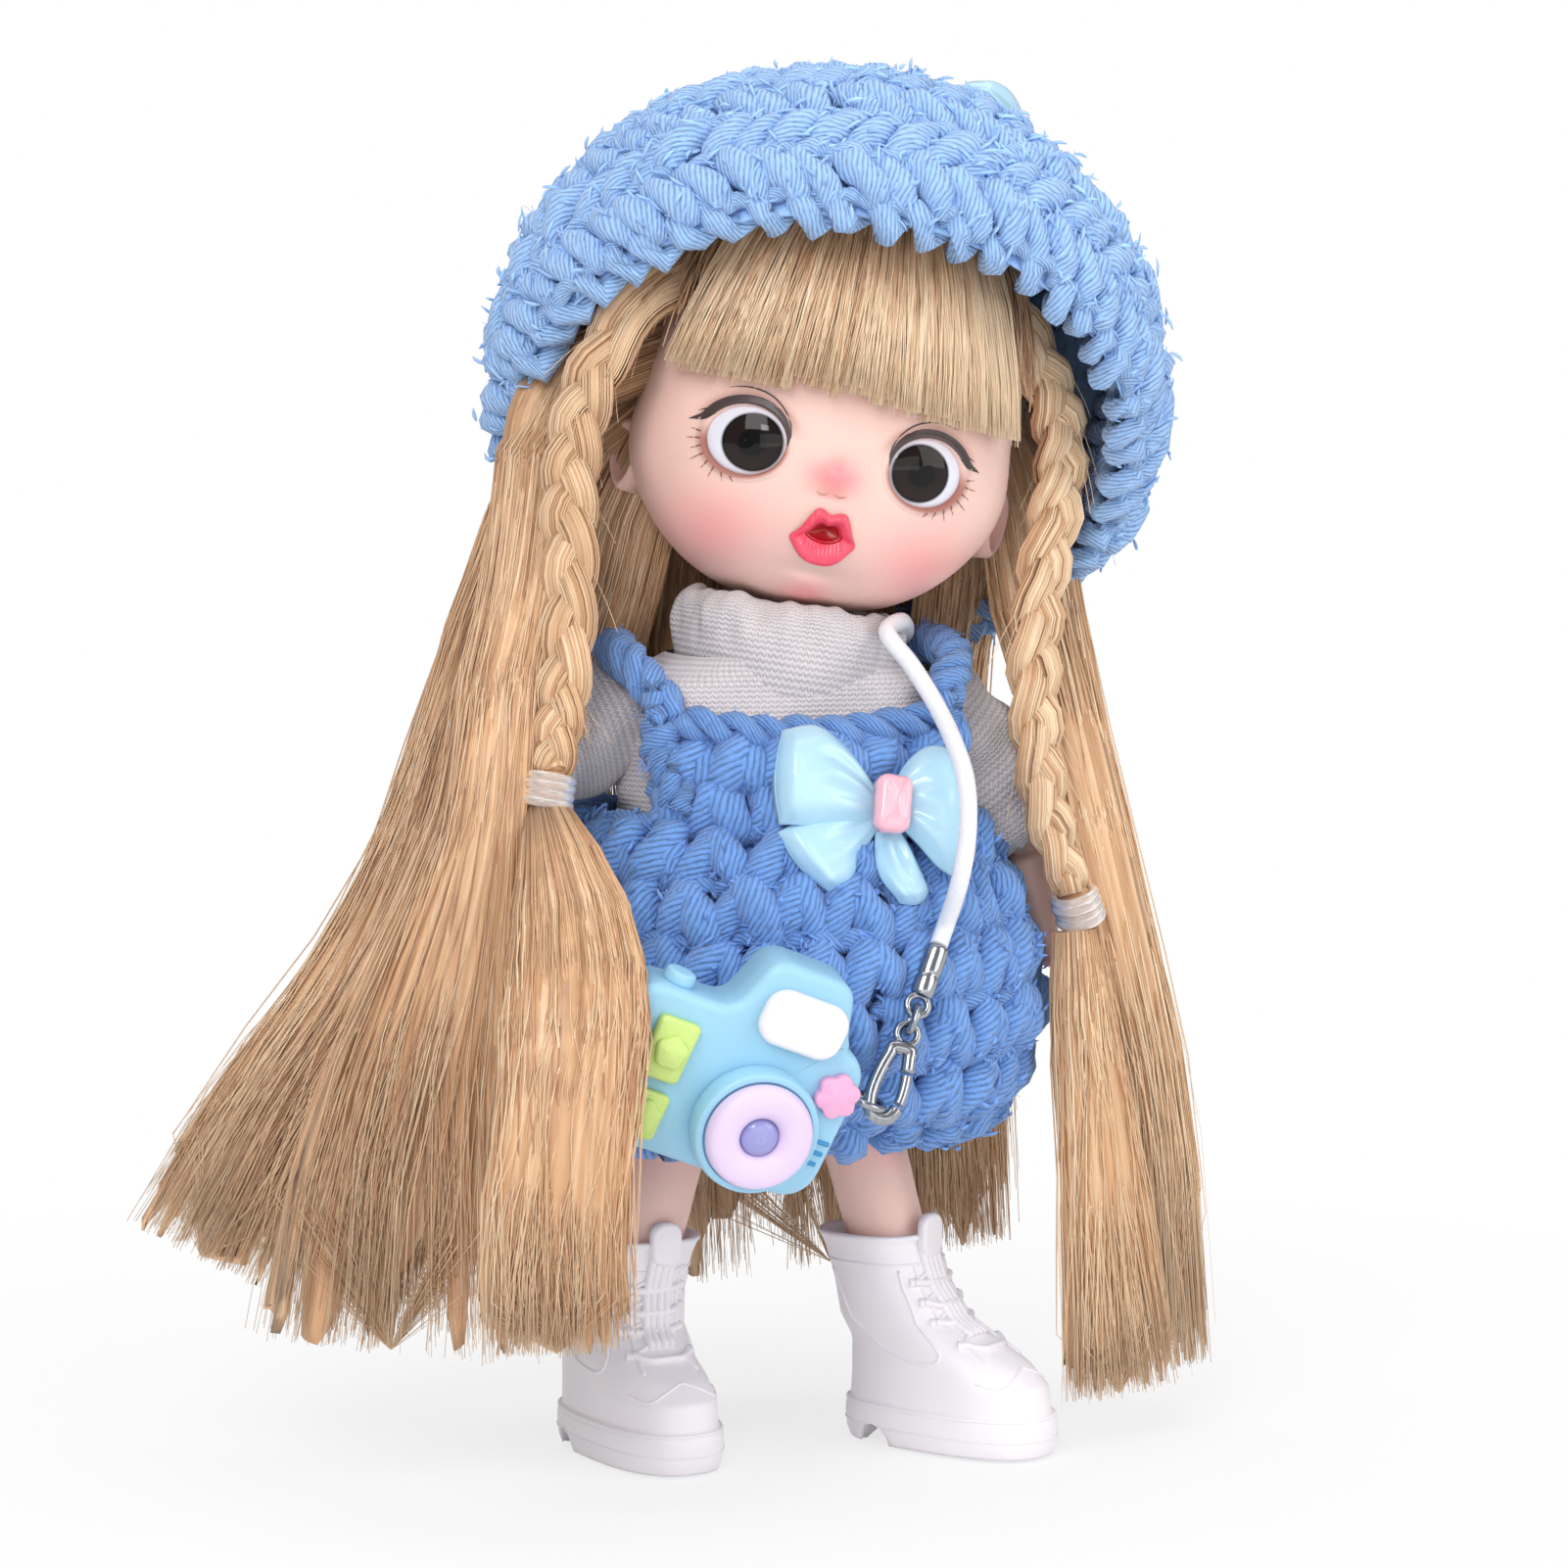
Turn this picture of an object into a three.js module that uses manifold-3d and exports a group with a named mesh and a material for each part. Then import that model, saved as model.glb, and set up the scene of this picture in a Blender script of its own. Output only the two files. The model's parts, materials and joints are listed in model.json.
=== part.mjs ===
// A jointed plastic doll, about 170 mm tall, in a crocheted hat and dress, with a toy camera on a cord.
// Millimetres, +Z up. The doll faces -Y, so its right side is at -X. Right and left are the doll's own.
import * as THREE from "three";
import { mergeVertices } from "three/addons/utils/BufferGeometryUtils.js";
import Module from "manifold-3d";

const wasm = await Module();
wasm.setup();

const { Vector3 } = THREE;
const radians = THREE.MathUtils.degToRad;

// Clearances
const CLEARANCE = 0.35;
const SOFT_CLEARANCE = 0.5;
const WALL = 1.6;
const PIN_CLEARANCE = 0.25;

// Legs and boots
const HIP_SPACING = 18.6;
const THIGH_LENGTH = 17;
const SHIN_LENGTH = 26;
const ANKLE_HEIGHT = 12;
const RIGHT_LEG_SPLAY = 13.5;
const LEFT_LEG_SPLAY = 7;
const RIGHT_LEG_BACK = 9;
const LEFT_LEG_BACK = 2;
const RIGHT_TOE_TURN = 15;
const LEFT_TOE_TURN = 38;
const HIP_RADIUS = 6.2;
const KNEE_RADIUS = 5.2;
const SHIN_RADIUS = 4.5;
const ANKLE_RADIUS = 3.9;
const FOOT_LENGTH = 17;
const BOOT_HEIGHT = 26;
const BOOT_LENGTH = 29;
const BOOT_WIDTH = 15;
const SOLE_THICKNESS = 4.5;
const SHAFT_RADIUS = 6.8;
const ARCH_HEIGHT = 2.6;
const ARCH_LENGTH = 4.5;
const PULL_TAB_HEIGHT = 2;
const TAB_WIDTH = 4.2;
const TAB_THICKNESS = 1.4;

// Torso
const PELVIS_HALF_WIDTH = 2.6;
const PELVIS_DEPTH = 13;
const TORSO_HEIGHT = 42.5;
const SHOULDER_ABOVE_HIP = 36.5;
const SHOULDER_HALF_WIDTH = 15.5;
const CHEST_HALF_DEPTH = 8.6;
const WAIST_HALF_WIDTH = 11.5;
const NECK_BASE_HALF_WIDTH = 8.4;
const NECK_BASE_HALF_DEPTH = 6.8;
const HIP_AXLE_RADIUS = 1.6;

// Neck and head
const NECK_OFFSET = 1;
const NECK_LENGTH = 16;
const NECK_RADIUS = 3.8;
const NECK_BALL_RADIUS = 6.4;
const HEAD_ROLL = 9.5;
const HEAD_YAW = -9.5;
const HEAD_ABOVE_BALL = 13.5;
const HEAD_FORWARD = 1;
const HEAD_HALF_WIDTH = 21.6;
const FACE_DEPTH = 21;
const FACE_FLATNESS = 0.85;
const BACK_DEPTH = 26;
const CROWN_HEIGHT = 33;
const CHIN_DEPTH = 23;
const CHEEK_FULLNESS = 0.06;
const HEAD_WALL = 1.8;
const EYE_RADIUS = 6;
const EYE_SPACING = 22;
const EYE_DROP = 4.5;
const EYE_PROUD = 1;
const EAR_HEIGHT = 9.6;
const EAR_DROP = 8.3;
const EAR_BACK = 2.5;
const EAR_HALF_WIDTH = 2;
const EAR_HALF_DEPTH = 3;
const EAR_TURN = 25;
const NOSE_DROP = 6.8;
const LIPS_DROP = 14;
const HAIR_THICKNESS = 3.2;
const BANGS_THICKNESS = 3.4;
const BANGS_HEIGHT = 3.5;
const BANGS_SLOPE = 0.09;
const HAIRLINE = 4;
const HAIRLINE_TILT = 46;

// Hat
const HAT_RADIUS = 42.1;
const HAT_THICKNESS = 5.5;
const HAT_CROWN_THICKNESS = 6.5;
const HAT_BRIM_DROP = 11.4;
const HAT_TILT = 45;
const HAT_BACK = 5;
const HAT_UP = 4.5;
const HAT_BOW_WIDTH = 20;
const HAT_BOW_PLACE = [15, -17];

// Arms
const SHOULDER_PIVOT = 19.5;
const UPPER_ARM_LENGTH = 20.5;
const FOREARM_LENGTH = 10.5;
const ARM_RADIUS = 3.3;
const FOREARM_RADIUS = 2.9;
const WRIST_RADIUS = 2.5;
const HAND_LENGTH = 8.5;
const HAND_WIDTH = 5.4;
const HAND_THICKNESS = 3.4;
const RIGHT_ARM_SWING = -8;
const RIGHT_ARM_RAISE = 70;
const RIGHT_ELBOW_BEND = 56;
const LEFT_ARM_SWING = 6;
const LEFT_ARM_RAISE = 38;
const LEFT_ELBOW_BEND = 22;
const JOINT_TONGUE = 2;
const JOINT_DISC_RADIUS = 2.2;
const TONGUE_WIDTH = 3.8;
const JOINT_PIN_RADIUS = 0.9;
const PEG_RADIUS = 1.9;
const PEG_FLANGE_RADIUS = 3;

// Jumper
const SLEEVE_RADIUS = 7.8;
const SLEEVE_MOUTH_RADIUS = 7;
const SLEEVE_WALL = 1.2;
const SWEATER_HALF_WIDTH = 19.6;
const SWEATER_HALF_DEPTH = 14.4;
const SWEATER_WALL = 1.3;
const ARMHOLE_RADIUS = 6.6;
const COLLAR_RADIUS = 12.6;
const COLLAR_WALL = 2.6;
const COLLAR_HEIGHT = 7.5;

// Dress
const YARN_THICKNESS = 4.4;
const STRAP_WIDTH = 5;
const WAIST_ABOVE_HIP = 24;
const SKIRT_LENGTH = 36;
const SKIRT_HALF_WIDTH = 32.5;
const SKIRT_HALF_DEPTH = 26;
const HEM_HALF_WIDTH = 28;
const HEM_HALF_DEPTH = 22;
const BIB_HALF_WIDTH = 14.5;
const BIB_HEIGHT = 10;
const BACK_STRAP_X = 8;
const CHEST_BOW_WIDTH = 23;
const CHEST_BOW_X = 7.5;
const CHEST_BOW_RISE = 2.7;
const CHEST_BOW_PITCH = 14;
const CHEST_BOW_ROLL = -8;
const BOW_THICKNESS = 3.2;
const KNOT_SIZE = 5;
const KNOT_THICKNESS = 2.2;

// Toy camera and its cord
const CAMERA_WIDTH = 31.5;
const CAMERA_HEIGHT = 19.5;
const CAMERA_THICKNESS = 7;
const CAMERA_CORNER = 4;
const CAMERA_BEVEL = 1;
const CAMERA_PLACE = [-14.9, -33.5, 54.2];
const CAMERA_ROLL = 22;
const CAMERA_PITCH = 14;
const PRISM_WIDTH = 15;
const PRISM_HEIGHT = 7.4;
const PRISM_SLOPE = 1.6;
const PRISM_CORNER = 2.4;
const PRISM_X = 4.6;
const LENS_X = 4.8;
const LENS_DROP = 2.3;
const BARREL_RADIUS = 7.6;
const BARREL_LENGTH = 3.6;
const LENS_RING_RADIUS = 6.4;
const LENS_RING_LENGTH = 2;
const LENS_HOLE_RADIUS = 2.3;
const BUTTON_HEIGHT = 1.4;
const BUTTON_WIDTH = 5.2;
const GREEN_BUTTONS = [
  { name: "upper_green_button", x: -8.6, z: 3, height: 7.6 },
  { name: "lower_green_button", x: -8.4, z: -5.2, height: 5.8 },
];
const STAR_RADIUS = 1.5;
const FLOWER_RADIUS = 2.4;
const FLOWER_PLACE = [13, 4.4];
const WINDOW_WIDTH = 10.6;
const WINDOW_HEIGHT = 6.8;
const WINDOW_THICKNESS = 2;
const WINDOW_PLACE = [PRISM_X + 0.6, CAMERA_HEIGHT / 2 + 1.4];
const SHUTTER_RADIUS = 1.9;
const SHUTTER_HEIGHT = 1.6;
const SHUTTER_X = -9.6;
const RING_RADIUS = 2;
const RING_WIRE = 0.45;
const LUG_HEIGHT = 4;
const LUG_REACH = 0.9;
const LUG_SIZE = 2;
const EYE_RADIUS_OF_ENDS = 1.3;
const JUMP_RING_RADIUS = 1.7;
const LINK_PLAY = 0.2;
const GATE_LENGTH = 4.6;
const CLASP_LEAN = [-19.5, 25, 0];
const PLAIN_END_LEAN = [-18, 26, 0];
const CORD_DIAMETER = 2.2;
const CRIMP_LENGTH = 6.5;
const CRIMP_DIAMETER = 2.9;
const CLASP_LENGTH = 12;
const CLASP_WIDTH = 5.2;
const CLASP_THICKNESS = 1.5;
const CLASP_WALL = 1.2;

// Hair lengths are set by these lowest points above the floor
const RIGHT_HAIR_END = 22;
const LEFT_HAIR_END = 6;
const BACK_HAIR_END = 16;
const TIE_HEIGHT = 4;
const TIE_RADIUS = 3.4;

// Heights that follow
const legDrop = (THIGH_LENGTH + SHIN_LENGTH) * Math.cos(radians(LEFT_LEG_SPLAY));
const hipZ = ANKLE_HEIGHT + legDrop;
const shoulderZ = hipZ + SHOULDER_ABOVE_HIP;
const torsoTop = hipZ + TORSO_HEIGHT;
const waistZ = hipZ + WAIST_ABOVE_HIP;
const hemZ = waistZ - SKIRT_LENGTH;

// Colours
const skin = 0xf0cdc2;
const hair = 0xc79b74;
const crochetBlue = 0x6d9bd6;
const hatBlue = 0x8fb9ee;
const knitWhite = 0xdcd7e1;
const paleBlue = 0xb4dff2;
const pink = 0xf7cad6;
const bootWhite = 0xf1edf0;
const green = 0xcde38a;
const lilac = 0xeadff5;
const lensBlue = 0xabaed5;
const steel = 0xc4c6cb;
const brown = 0x2f1e1e;

// A closed geometry as a solid whose faces point out.
function solid(geometry) {
  const bare = geometry.clone();
  bare.deleteAttribute("normal");
  bare.deleteAttribute("uv");
  const merged = mergeVertices(bare, 1e-4);
  const kept = [];
  const index = merged.index.array;
  for (let i = 0; i < index.length; i += 3) {
    const [a, b, c] = index.slice(i, i + 3);
    if (a !== b && b !== c && a !== c) kept.push(a, b, c);
  }
  const make = (triVerts) =>
    new wasm.Manifold(
      new wasm.Mesh({ numProp: 3, vertProperties: merged.attributes.position.array, triVerts }),
    );
  const made = make(new Uint32Array(kept));
  return made.volume() > 0 ? made : make(new Uint32Array(kept.reverse()));
}

// A solid as a geometry for a mesh.
function geometryOf(shape) {
  const mesh = shape.getMesh();
  const geometry = new THREE.BufferGeometry();
  geometry.setAttribute("position", new THREE.BufferAttribute(mesh.vertProperties, mesh.numProp));
  geometry.setIndex(new THREE.BufferAttribute(mesh.triVerts, 1));
  geometry.computeVertexNormals();
  return geometry;
}

// The largest body of a solid that a cut may have split.
const largest = (shape) =>
  shape.decompose().reduce((best, body) => (body.volume() > best.volume() ? body : best));

const joined = (...shapes) => shapes.reduce((sum, shape) => sum.add(shape));

// A closed skin over rings that have the same number of points, with a fan on each end.
function skinOver(rings) {
  const count = rings[0].length;
  const middle = (ring) =>
    ring.reduce((sum, point) => sum.add(point), new Vector3()).divideScalar(count);
  const points = [...rings.flat(), middle(rings[0]), middle(rings.at(-1))];
  const start = rings.length * count;
  const last = start - count;
  const faces = [];
  for (let k = 0; k < count; k++) {
    const next = (k + 1) % count;
    for (let r = 0; r < last; r += count)
      faces.push(r + k, r + next, r + k + count, r + next, r + next + count, r + k + count);
    faces.push(start, next, k, start + 1, last + k, last + next);
  }
  return solid(new THREE.BufferGeometry().setFromPoints(points).setIndex(faces));
}

// A stack of level ovals, each given as [height, half width, half depth, x, y].
function tower(sections, { grow = 0, sides = 16, squareness = 1 } = {}) {
  const bulge = (value) => Math.sign(value) * Math.abs(value) ** squareness;
  const rings = sections.map(([z, halfWidth, halfDepth, x = 0, y = 0], i) => {
    const lift = i === 0 ? -grow : i === sections.length - 1 ? grow : 0;
    return Array.from({ length: sides }, (_, k) => {
      const angle = (2 * Math.PI * k) / sides;
      return new Vector3(
        x + (halfWidth + grow) * bulge(Math.cos(angle)),
        y + (halfDepth + grow) * bulge(Math.sin(angle)),
        z + lift,
      );
    });
  });
  return skinOver(rings);
}

// A value read along a list, from its first at 0 to its last at 1.
function along(list, share) {
  const place = share * (list.length - 1);
  const low = Math.min(Math.floor(place), list.length - 2);
  return THREE.MathUtils.lerp(list[low], list[low + 1], place - low);
}

// A lock: an oval section carried along a path, flat towards the given direction.
function lock({ path, facing, widths, depths, steps = 10, sides = 10 }, grow = 0) {
  const curve = new THREE.CatmullRomCurve3(path.map((point) => new Vector3(...point)));
  const front = new Vector3(...facing);
  const rings = Array.from({ length: steps + 1 }, (_, i) => {
    const share = i / steps;
    const middle = curve.getPoint(share);
    const ahead = curve.getTangent(share);
    const side = new Vector3().crossVectors(ahead, front).normalize();
    const out = new Vector3().crossVectors(side, ahead);
    return Array.from({ length: sides }, (_, k) => {
      const angle = (2 * Math.PI * k) / sides;
      return middle
        .clone()
        .addScaledVector(side, (along(widths, share) + grow) * Math.cos(angle))
        .addScaledVector(out, (along(depths, share) + grow) * Math.sin(angle));
    });
  });
  return skinOver(rings);
}

// A limb with round ends between two points.
function limb(from, to, startRadius, endRadius, { grow = 0, sides = 10 } = {}) {
  const axis = to.clone().sub(from).normalize();
  const side = new Vector3().crossVectors(axis, new Vector3(0, 1, 0)).normalize();
  const out = new Vector3().crossVectors(axis, side);
  const rings = [];
  const ring = (centre, radius) =>
    rings.push(
      Array.from({ length: sides }, (_, k) => {
        const angle = (2 * Math.PI * k) / sides;
        return centre
          .clone()
          .addScaledVector(side, radius * Math.cos(angle))
          .addScaledVector(out, radius * Math.sin(angle));
      }),
    );
  for (const [end, size, sign] of [[from, startRadius, -1], [to, endRadius, 1]]) {
    const tilts = sign < 0 ? [75, 40, 0] : [0, 40, 75];
    for (const tilt of tilts) {
      const radius = size + grow;
      const centre = end.clone().addScaledVector(axis, sign * radius * Math.sin(radians(tilt)));
      ring(centre, radius * Math.cos(radians(tilt)));
    }
  }
  return skinOver(rings);
}

// A round bar along an axis ("x", "y" or "z") between two coordinates on it.
function bar(axis, radius, from, to, sides = 12) {
  const geometry = new THREE.CylinderGeometry(radius, radius, Math.abs(to - from), sides);
  if (axis === "x") geometry.rotateZ(Math.PI / 2);
  if (axis === "z") geometry.rotateX(Math.PI / 2);
  const shift = new Vector3();
  shift[axis] = (from + to) / 2;
  geometry.translate(...shift);
  return solid(geometry);
}

const block = (width, depth, height) => solid(new THREE.BoxGeometry(width, depth, height));

function ball(halfWidth, halfDepth, halfHeight, across = 12, up = 8) {
  const geometry = new THREE.SphereGeometry(1, across, up).rotateX(Math.PI / 2);
  return solid(geometry.scale(halfWidth, halfDepth, halfHeight));
}

// A wire ring round the Y axis.
const ringOf = (radius, wire) => solid(new THREE.TorusGeometry(radius, wire, 5, 12).rotateX(Math.PI / 2));

// A flat outline in X and Z, with its front at y = 0 and its thickness behind that.
function plate(outline, thickness, bevel = 0, curveSegments = 6) {
  const geometry = new THREE.ExtrudeGeometry(outline, {
    depth: thickness - 2 * bevel,
    bevelEnabled: bevel > 0,
    bevelThickness: bevel,
    bevelSize: bevel,
    bevelOffset: -bevel,
    bevelSegments: 1,
    curveSegments,
  });
  geometry.translate(0, 0, bevel - thickness).rotateX(Math.PI / 2);
  return solid(geometry);
}

function roundedRectangle(width, height, corner, path = new THREE.Shape()) {
  const x = width / 2;
  const y = height / 2;
  path.moveTo(-x + corner, -y);
  path.lineTo(x - corner, -y);
  path.absarc(x - corner, -y + corner, corner, -Math.PI / 2, 0);
  path.lineTo(x, y - corner);
  path.absarc(x - corner, y - corner, corner, 0, Math.PI / 2);
  path.lineTo(-x + corner, y);
  path.absarc(-x + corner, y - corner, corner, Math.PI / 2, Math.PI);
  path.lineTo(-x, -y + corner);
  path.absarc(-x + corner, -y + corner, corner, Math.PI, 1.5 * Math.PI);
  return path;
}

// The half space in front of a plane through a point, as a large block.
function halfSpace(point, normal) {
  const size = 400;
  const turn = new THREE.Quaternion().setFromUnitVectors(new Vector3(0, 0, 1), normal.clone().normalize());
  const geometry = new THREE.BoxGeometry(size, size, size).translate(0, 0, size / 2);
  return solid(geometry.applyQuaternion(turn).translate(point.x, point.y, point.z));
}

const doll = new THREE.Group();

// A joint's frame: a group placed in its parent.
function frameIn(parent, name, [x, y, z], [turnX, turnY, turnZ] = [0, 0, 0]) {
  const group = new THREE.Group();
  group.name = name;
  group.position.set(x, y, z);
  group.rotation.set(radians(turnX), radians(turnY), radians(turnZ));
  parent.add(group);
  doll.updateMatrixWorld(true);
  return group;
}

// A solid of a group's own frame, put into the doll's frame.
const inDoll = (shape, group) => shape.transform(group.matrixWorld.elements);

// A solid of the doll's frame, put into a group's own frame.
const inGroup = (shape, group) => shape.transform(group.matrixWorld.clone().invert().elements);

function addPiece(group, name, shape, color, roughness = 0.5, metalness = 0) {
  const material = new THREE.MeshStandardMaterial({ color, roughness, metalness });
  const mesh = new THREE.Mesh(geometryOf(shape), material);
  mesh.name = name;
  group.add(mesh);
}

// Legs
const SIDES = [
  { side: "right", sign: -1, splay: RIGHT_LEG_SPLAY, back: RIGHT_LEG_BACK, turn: RIGHT_TOE_TURN },
  { side: "left", sign: 1, splay: LEFT_LEG_SPLAY, back: LEFT_LEG_BACK, turn: LEFT_TOE_TURN },
];

function legPoints({ sign, splay, back }) {
  const hip = new Vector3((sign * HIP_SPACING) / 2, 0, hipZ);
  const down = new Vector3(sign * Math.tan(radians(splay)), Math.tan(radians(back)), -1).normalize();
  const knee = hip.clone().addScaledVector(down, THIGH_LENGTH);
  const ankle = knee.clone().addScaledVector(down, SHIN_LENGTH);
  return { hip, knee, ankle, down };
}

function thighShape(leg, grow = 0) {
  const { hip, knee } = legPoints(leg);
  return limb(hip, knee, HIP_RADIUS, KNEE_RADIUS, { grow });
}

function footShape({ ankle }, { turn }, grow = 0) {
  const foot = ball(ANKLE_RADIUS + grow, FOOT_LENGTH / 2 + grow, ANKLE_RADIUS + grow, 8, 6);
  return foot
    .translate([0, -FOOT_LENGTH / 4, -(ANKLE_HEIGHT - SOLE_THICKNESS) / 2 + CLEARANCE])
    .rotate([0, 0, turn])
    .translate([ankle.x, ankle.y, ankle.z]);
}

function shinShape(leg, grow = 0) {
  const points = legPoints(leg);
  const { knee, ankle } = points;
  const start = knee.clone().lerp(ankle, (KNEE_RADIUS + CLEARANCE + SHIN_RADIUS) / SHIN_LENGTH);
  const shaft = limb(start, ankle, SHIN_RADIUS, ANKLE_RADIUS, { grow });
  return joined(shaft, footShape(points, leg, grow));
}

// A forked joint: the upper piece keeps two cheeks and a pin, the lower one has a tongue on the pin.
function forkSlot(centre, away, radius) {
  const reach = 3 * radius;
  const slot = block(reach, JOINT_TONGUE + 2 * PIN_CLEARANCE, reach + JOINT_DISC_RADIUS);
  const drop = (away * (reach - JOINT_DISC_RADIUS)) / 2 - away * 2 * PIN_CLEARANCE;
  return slot.translate([centre.x, centre.y, centre.z + drop]);
}

function forkPin(centre, radius) {
  const half = JOINT_TONGUE / 2 + PIN_CLEARANCE + radius / 4;
  return bar("y", JOINT_PIN_RADIUS, -half, half, 10).translate([centre.x, centre.y, centre.z]);
}

function tongue(centre, length, away) {
  const disc = bar("y", JOINT_DISC_RADIUS, -JOINT_TONGUE / 2, JOINT_TONGUE / 2);
  const neck = block(TONGUE_WIDTH, JOINT_TONGUE, length).translate([0, 0, (away * length) / 2]);
  const hole = bar("y", JOINT_PIN_RADIUS + PIN_CLEARANCE, -JOINT_TONGUE, JOINT_TONGUE, 10);
  return disc.add(neck).subtract(hole).translate([centre.x, centre.y, centre.z]);
}

function makeLeg(leg) {
  const { side, sign, turn } = leg;
  const { hip, knee, ankle, down } = legPoints(leg);
  const axleBore = bar("x", HIP_AXLE_RADIUS + PIN_CLEARANCE, -HIP_SPACING / 2 - 3, HIP_SPACING / 2 + 3)
    .translate([0, hip.y, hip.z]);
  const inner = halfSpace(
    new Vector3(sign * (PELVIS_HALF_WIDTH + CLEARANCE), 0, 0),
    new Vector3(sign, 0, 0),
  );
  const kneeFrame = frameIn(doll, `${side}_knee_bend`, knee.toArray());
  kneeFrame.quaternion.setFromUnitVectors(new Vector3(0, 0, -1), down);
  kneeFrame.rotateZ(radians(turn));
  doll.updateMatrixWorld(true);
  const sidePin = (shape) => inDoll(shape.rotate([0, 0, 90]), kneeFrame);
  const origin = new Vector3();
  const kneeSlot = sidePin(forkSlot(origin, -1, KNEE_RADIUS));
  const kneePin = sidePin(forkPin(origin, KNEE_RADIUS));
  const thigh = thighShape(leg).intersect(inner).subtract(axleBore).subtract(kneeSlot).add(kneePin);
  addPiece(doll, `${side}_thigh`, largest(thigh), skin, 0.45);

  const kneeTongue = sidePin(tongue(origin, KNEE_RADIUS + CLEARANCE + SHIN_RADIUS, -1));
  const kneeRoom = limb(knee, knee.clone().add(new Vector3(0, 0, 0.01)), KNEE_RADIUS, KNEE_RADIUS, {
    grow: CLEARANCE,
    sides: 20,
  });
  const shin = shinShape(leg).subtract(kneeRoom).add(kneeTongue);
  addPiece(doll, `${side}_shin`, largest(shin), skin, 0.45);

  const middle = -BOOT_LENGTH / 2 + SHAFT_RADIUS + 2;
  const half = BOOT_LENGTH / 2;
  const wide = BOOT_WIDTH / 2;
  const shaftLean = down.clone().divideScalar(down.z).applyAxisAngle(new Vector3(0, 0, 1), -radians(turn));
  const leanAt = (z) => shaftLean.clone().multiplyScalar(Math.max(0, z - ankle.z));
  const upper = tower(
    [
      [0, wide - 0.4, half - 0.4, middle],
      [SOLE_THICKNESS, wide, half, middle],
      [SOLE_THICKNESS + 4, wide - 0.4, half - 0.8, middle],
      [SOLE_THICKNESS + 7.5, wide - 0.8, half - 3.6, middle + 2.6],
      [SOLE_THICKNESS + 11, wide - 1, SHAFT_RADIUS + 1.4, 0.4],
      [BOOT_HEIGHT - 6, SHAFT_RADIUS - 0.5, SHAFT_RADIUS, 1],
      [BOOT_HEIGHT, SHAFT_RADIUS, SHAFT_RADIUS, 1],
    ].map(([z, width, depth, y]) => [z, width, depth, leanAt(z).x, y + leanAt(z).y]),
    { sides: 16, squareness: 0.8 },
  );
  const rim = leanAt(BOOT_HEIGHT);
  const arch = bar("x", 1, -BOOT_WIDTH, BOOT_WIDTH)
    .scale([1, ARCH_LENGTH / 2, ARCH_HEIGHT])
    .translate([0, 1.5, 0]);
  const tab = block(TAB_WIDTH, TAB_THICKNESS, 3 * PULL_TAB_HEIGHT).translate([
    rim.x,
    rim.y + TAB_THICKNESS - SHAFT_RADIUS,
    BOOT_HEIGHT - PULL_TAB_HEIGHT / 2,
  ]);
  const boot = joined(upper, tab).subtract(arch).rotate([0, 0, turn]).translate([ankle.x, ankle.y, 0]);
  const mouth = limb(
    ankle.clone().lerp(knee, 0.45),
    ankle.clone().lerp(knee, 0.9),
    SHIN_RADIUS,
    SHIN_RADIUS + 0.8,
    { grow: CLEARANCE },
  );
  const hollowBoot = boot.subtract(shinShape(leg, CLEARANCE)).subtract(mouth);
  addPiece(doll, `${side}_boot`, largest(hollowBoot), bootWhite, 0.5);
}
SIDES.forEach(makeLeg);

// Torso: two hollow halves on a narrow pelvis between the thighs
const torsoSections = [
  [hipZ + HIP_RADIUS + 1, WAIST_HALF_WIDTH + 1, CHEST_HALF_DEPTH - 0.6],
  [hipZ + 15, WAIST_HALF_WIDTH, CHEST_HALF_DEPTH - 0.6],
  [hipZ + 25, WAIST_HALF_WIDTH + 1.5, CHEST_HALF_DEPTH],
  [shoulderZ - 3.5, SHOULDER_HALF_WIDTH - 0.5, CHEST_HALF_DEPTH],
  [shoulderZ + 1.5, SHOULDER_HALF_WIDTH, CHEST_HALF_DEPTH - 0.8],
  [torsoTop - 1.5, NECK_BASE_HALF_WIDTH + 4.2, NECK_BASE_HALF_DEPTH + 0.6],
  [torsoTop, NECK_BASE_HALF_WIDTH, NECK_BASE_HALF_DEPTH],
];
const torsoShape = (grow = 0) => tower(torsoSections, { grow, sides: 16 });
const pelvis = block(2 * PELVIS_HALF_WIDTH, PELVIS_DEPTH, 2 * HIP_RADIUS + 3).translate([0, 0, hipZ + 1.5]);

const neckFrame = frameIn(doll, "neck_turn", [NECK_OFFSET, 0, torsoTop], [0, HEAD_ROLL, 0]);
const neckHole = inDoll(bar("z", NECK_RADIUS + 2 * CLEARANCE, -8, 8), neckFrame);
const shoulderHoles = bar("x", PEG_RADIUS + CLEARANCE, -40, 40).translate([0, 0, shoulderZ]);
const hipBore = bar("x", HIP_AXLE_RADIUS + PIN_CLEARANCE, -20, 20).translate([0, 0, hipZ]);

function makeTorso() {
  const body = joined(torsoShape(), pelvis)
    .subtract(torsoShape(-WALL))
    .subtract(neckHole)
    .subtract(shoulderHoles)
    .subtract(hipBore);
  for (const [name, sign] of [["torso_front", -1], ["torso_back", 1]]) {
    const half = halfSpace(new Vector3(0, (sign * CLEARANCE) / 2, 0), new Vector3(0, sign, 0));
    addPiece(doll, name, largest(body.intersect(half)), skin, 0.5);
  }
  const axleEnd = HIP_SPACING / 2 + 3 - CLEARANCE;
  const axle = bar("x", HIP_AXLE_RADIUS, -axleEnd, axleEnd).translate([0, 0, hipZ]);
  addPiece(doll, "hip_axle", axle, steel, 0.4, 1);
}
makeTorso();

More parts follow.
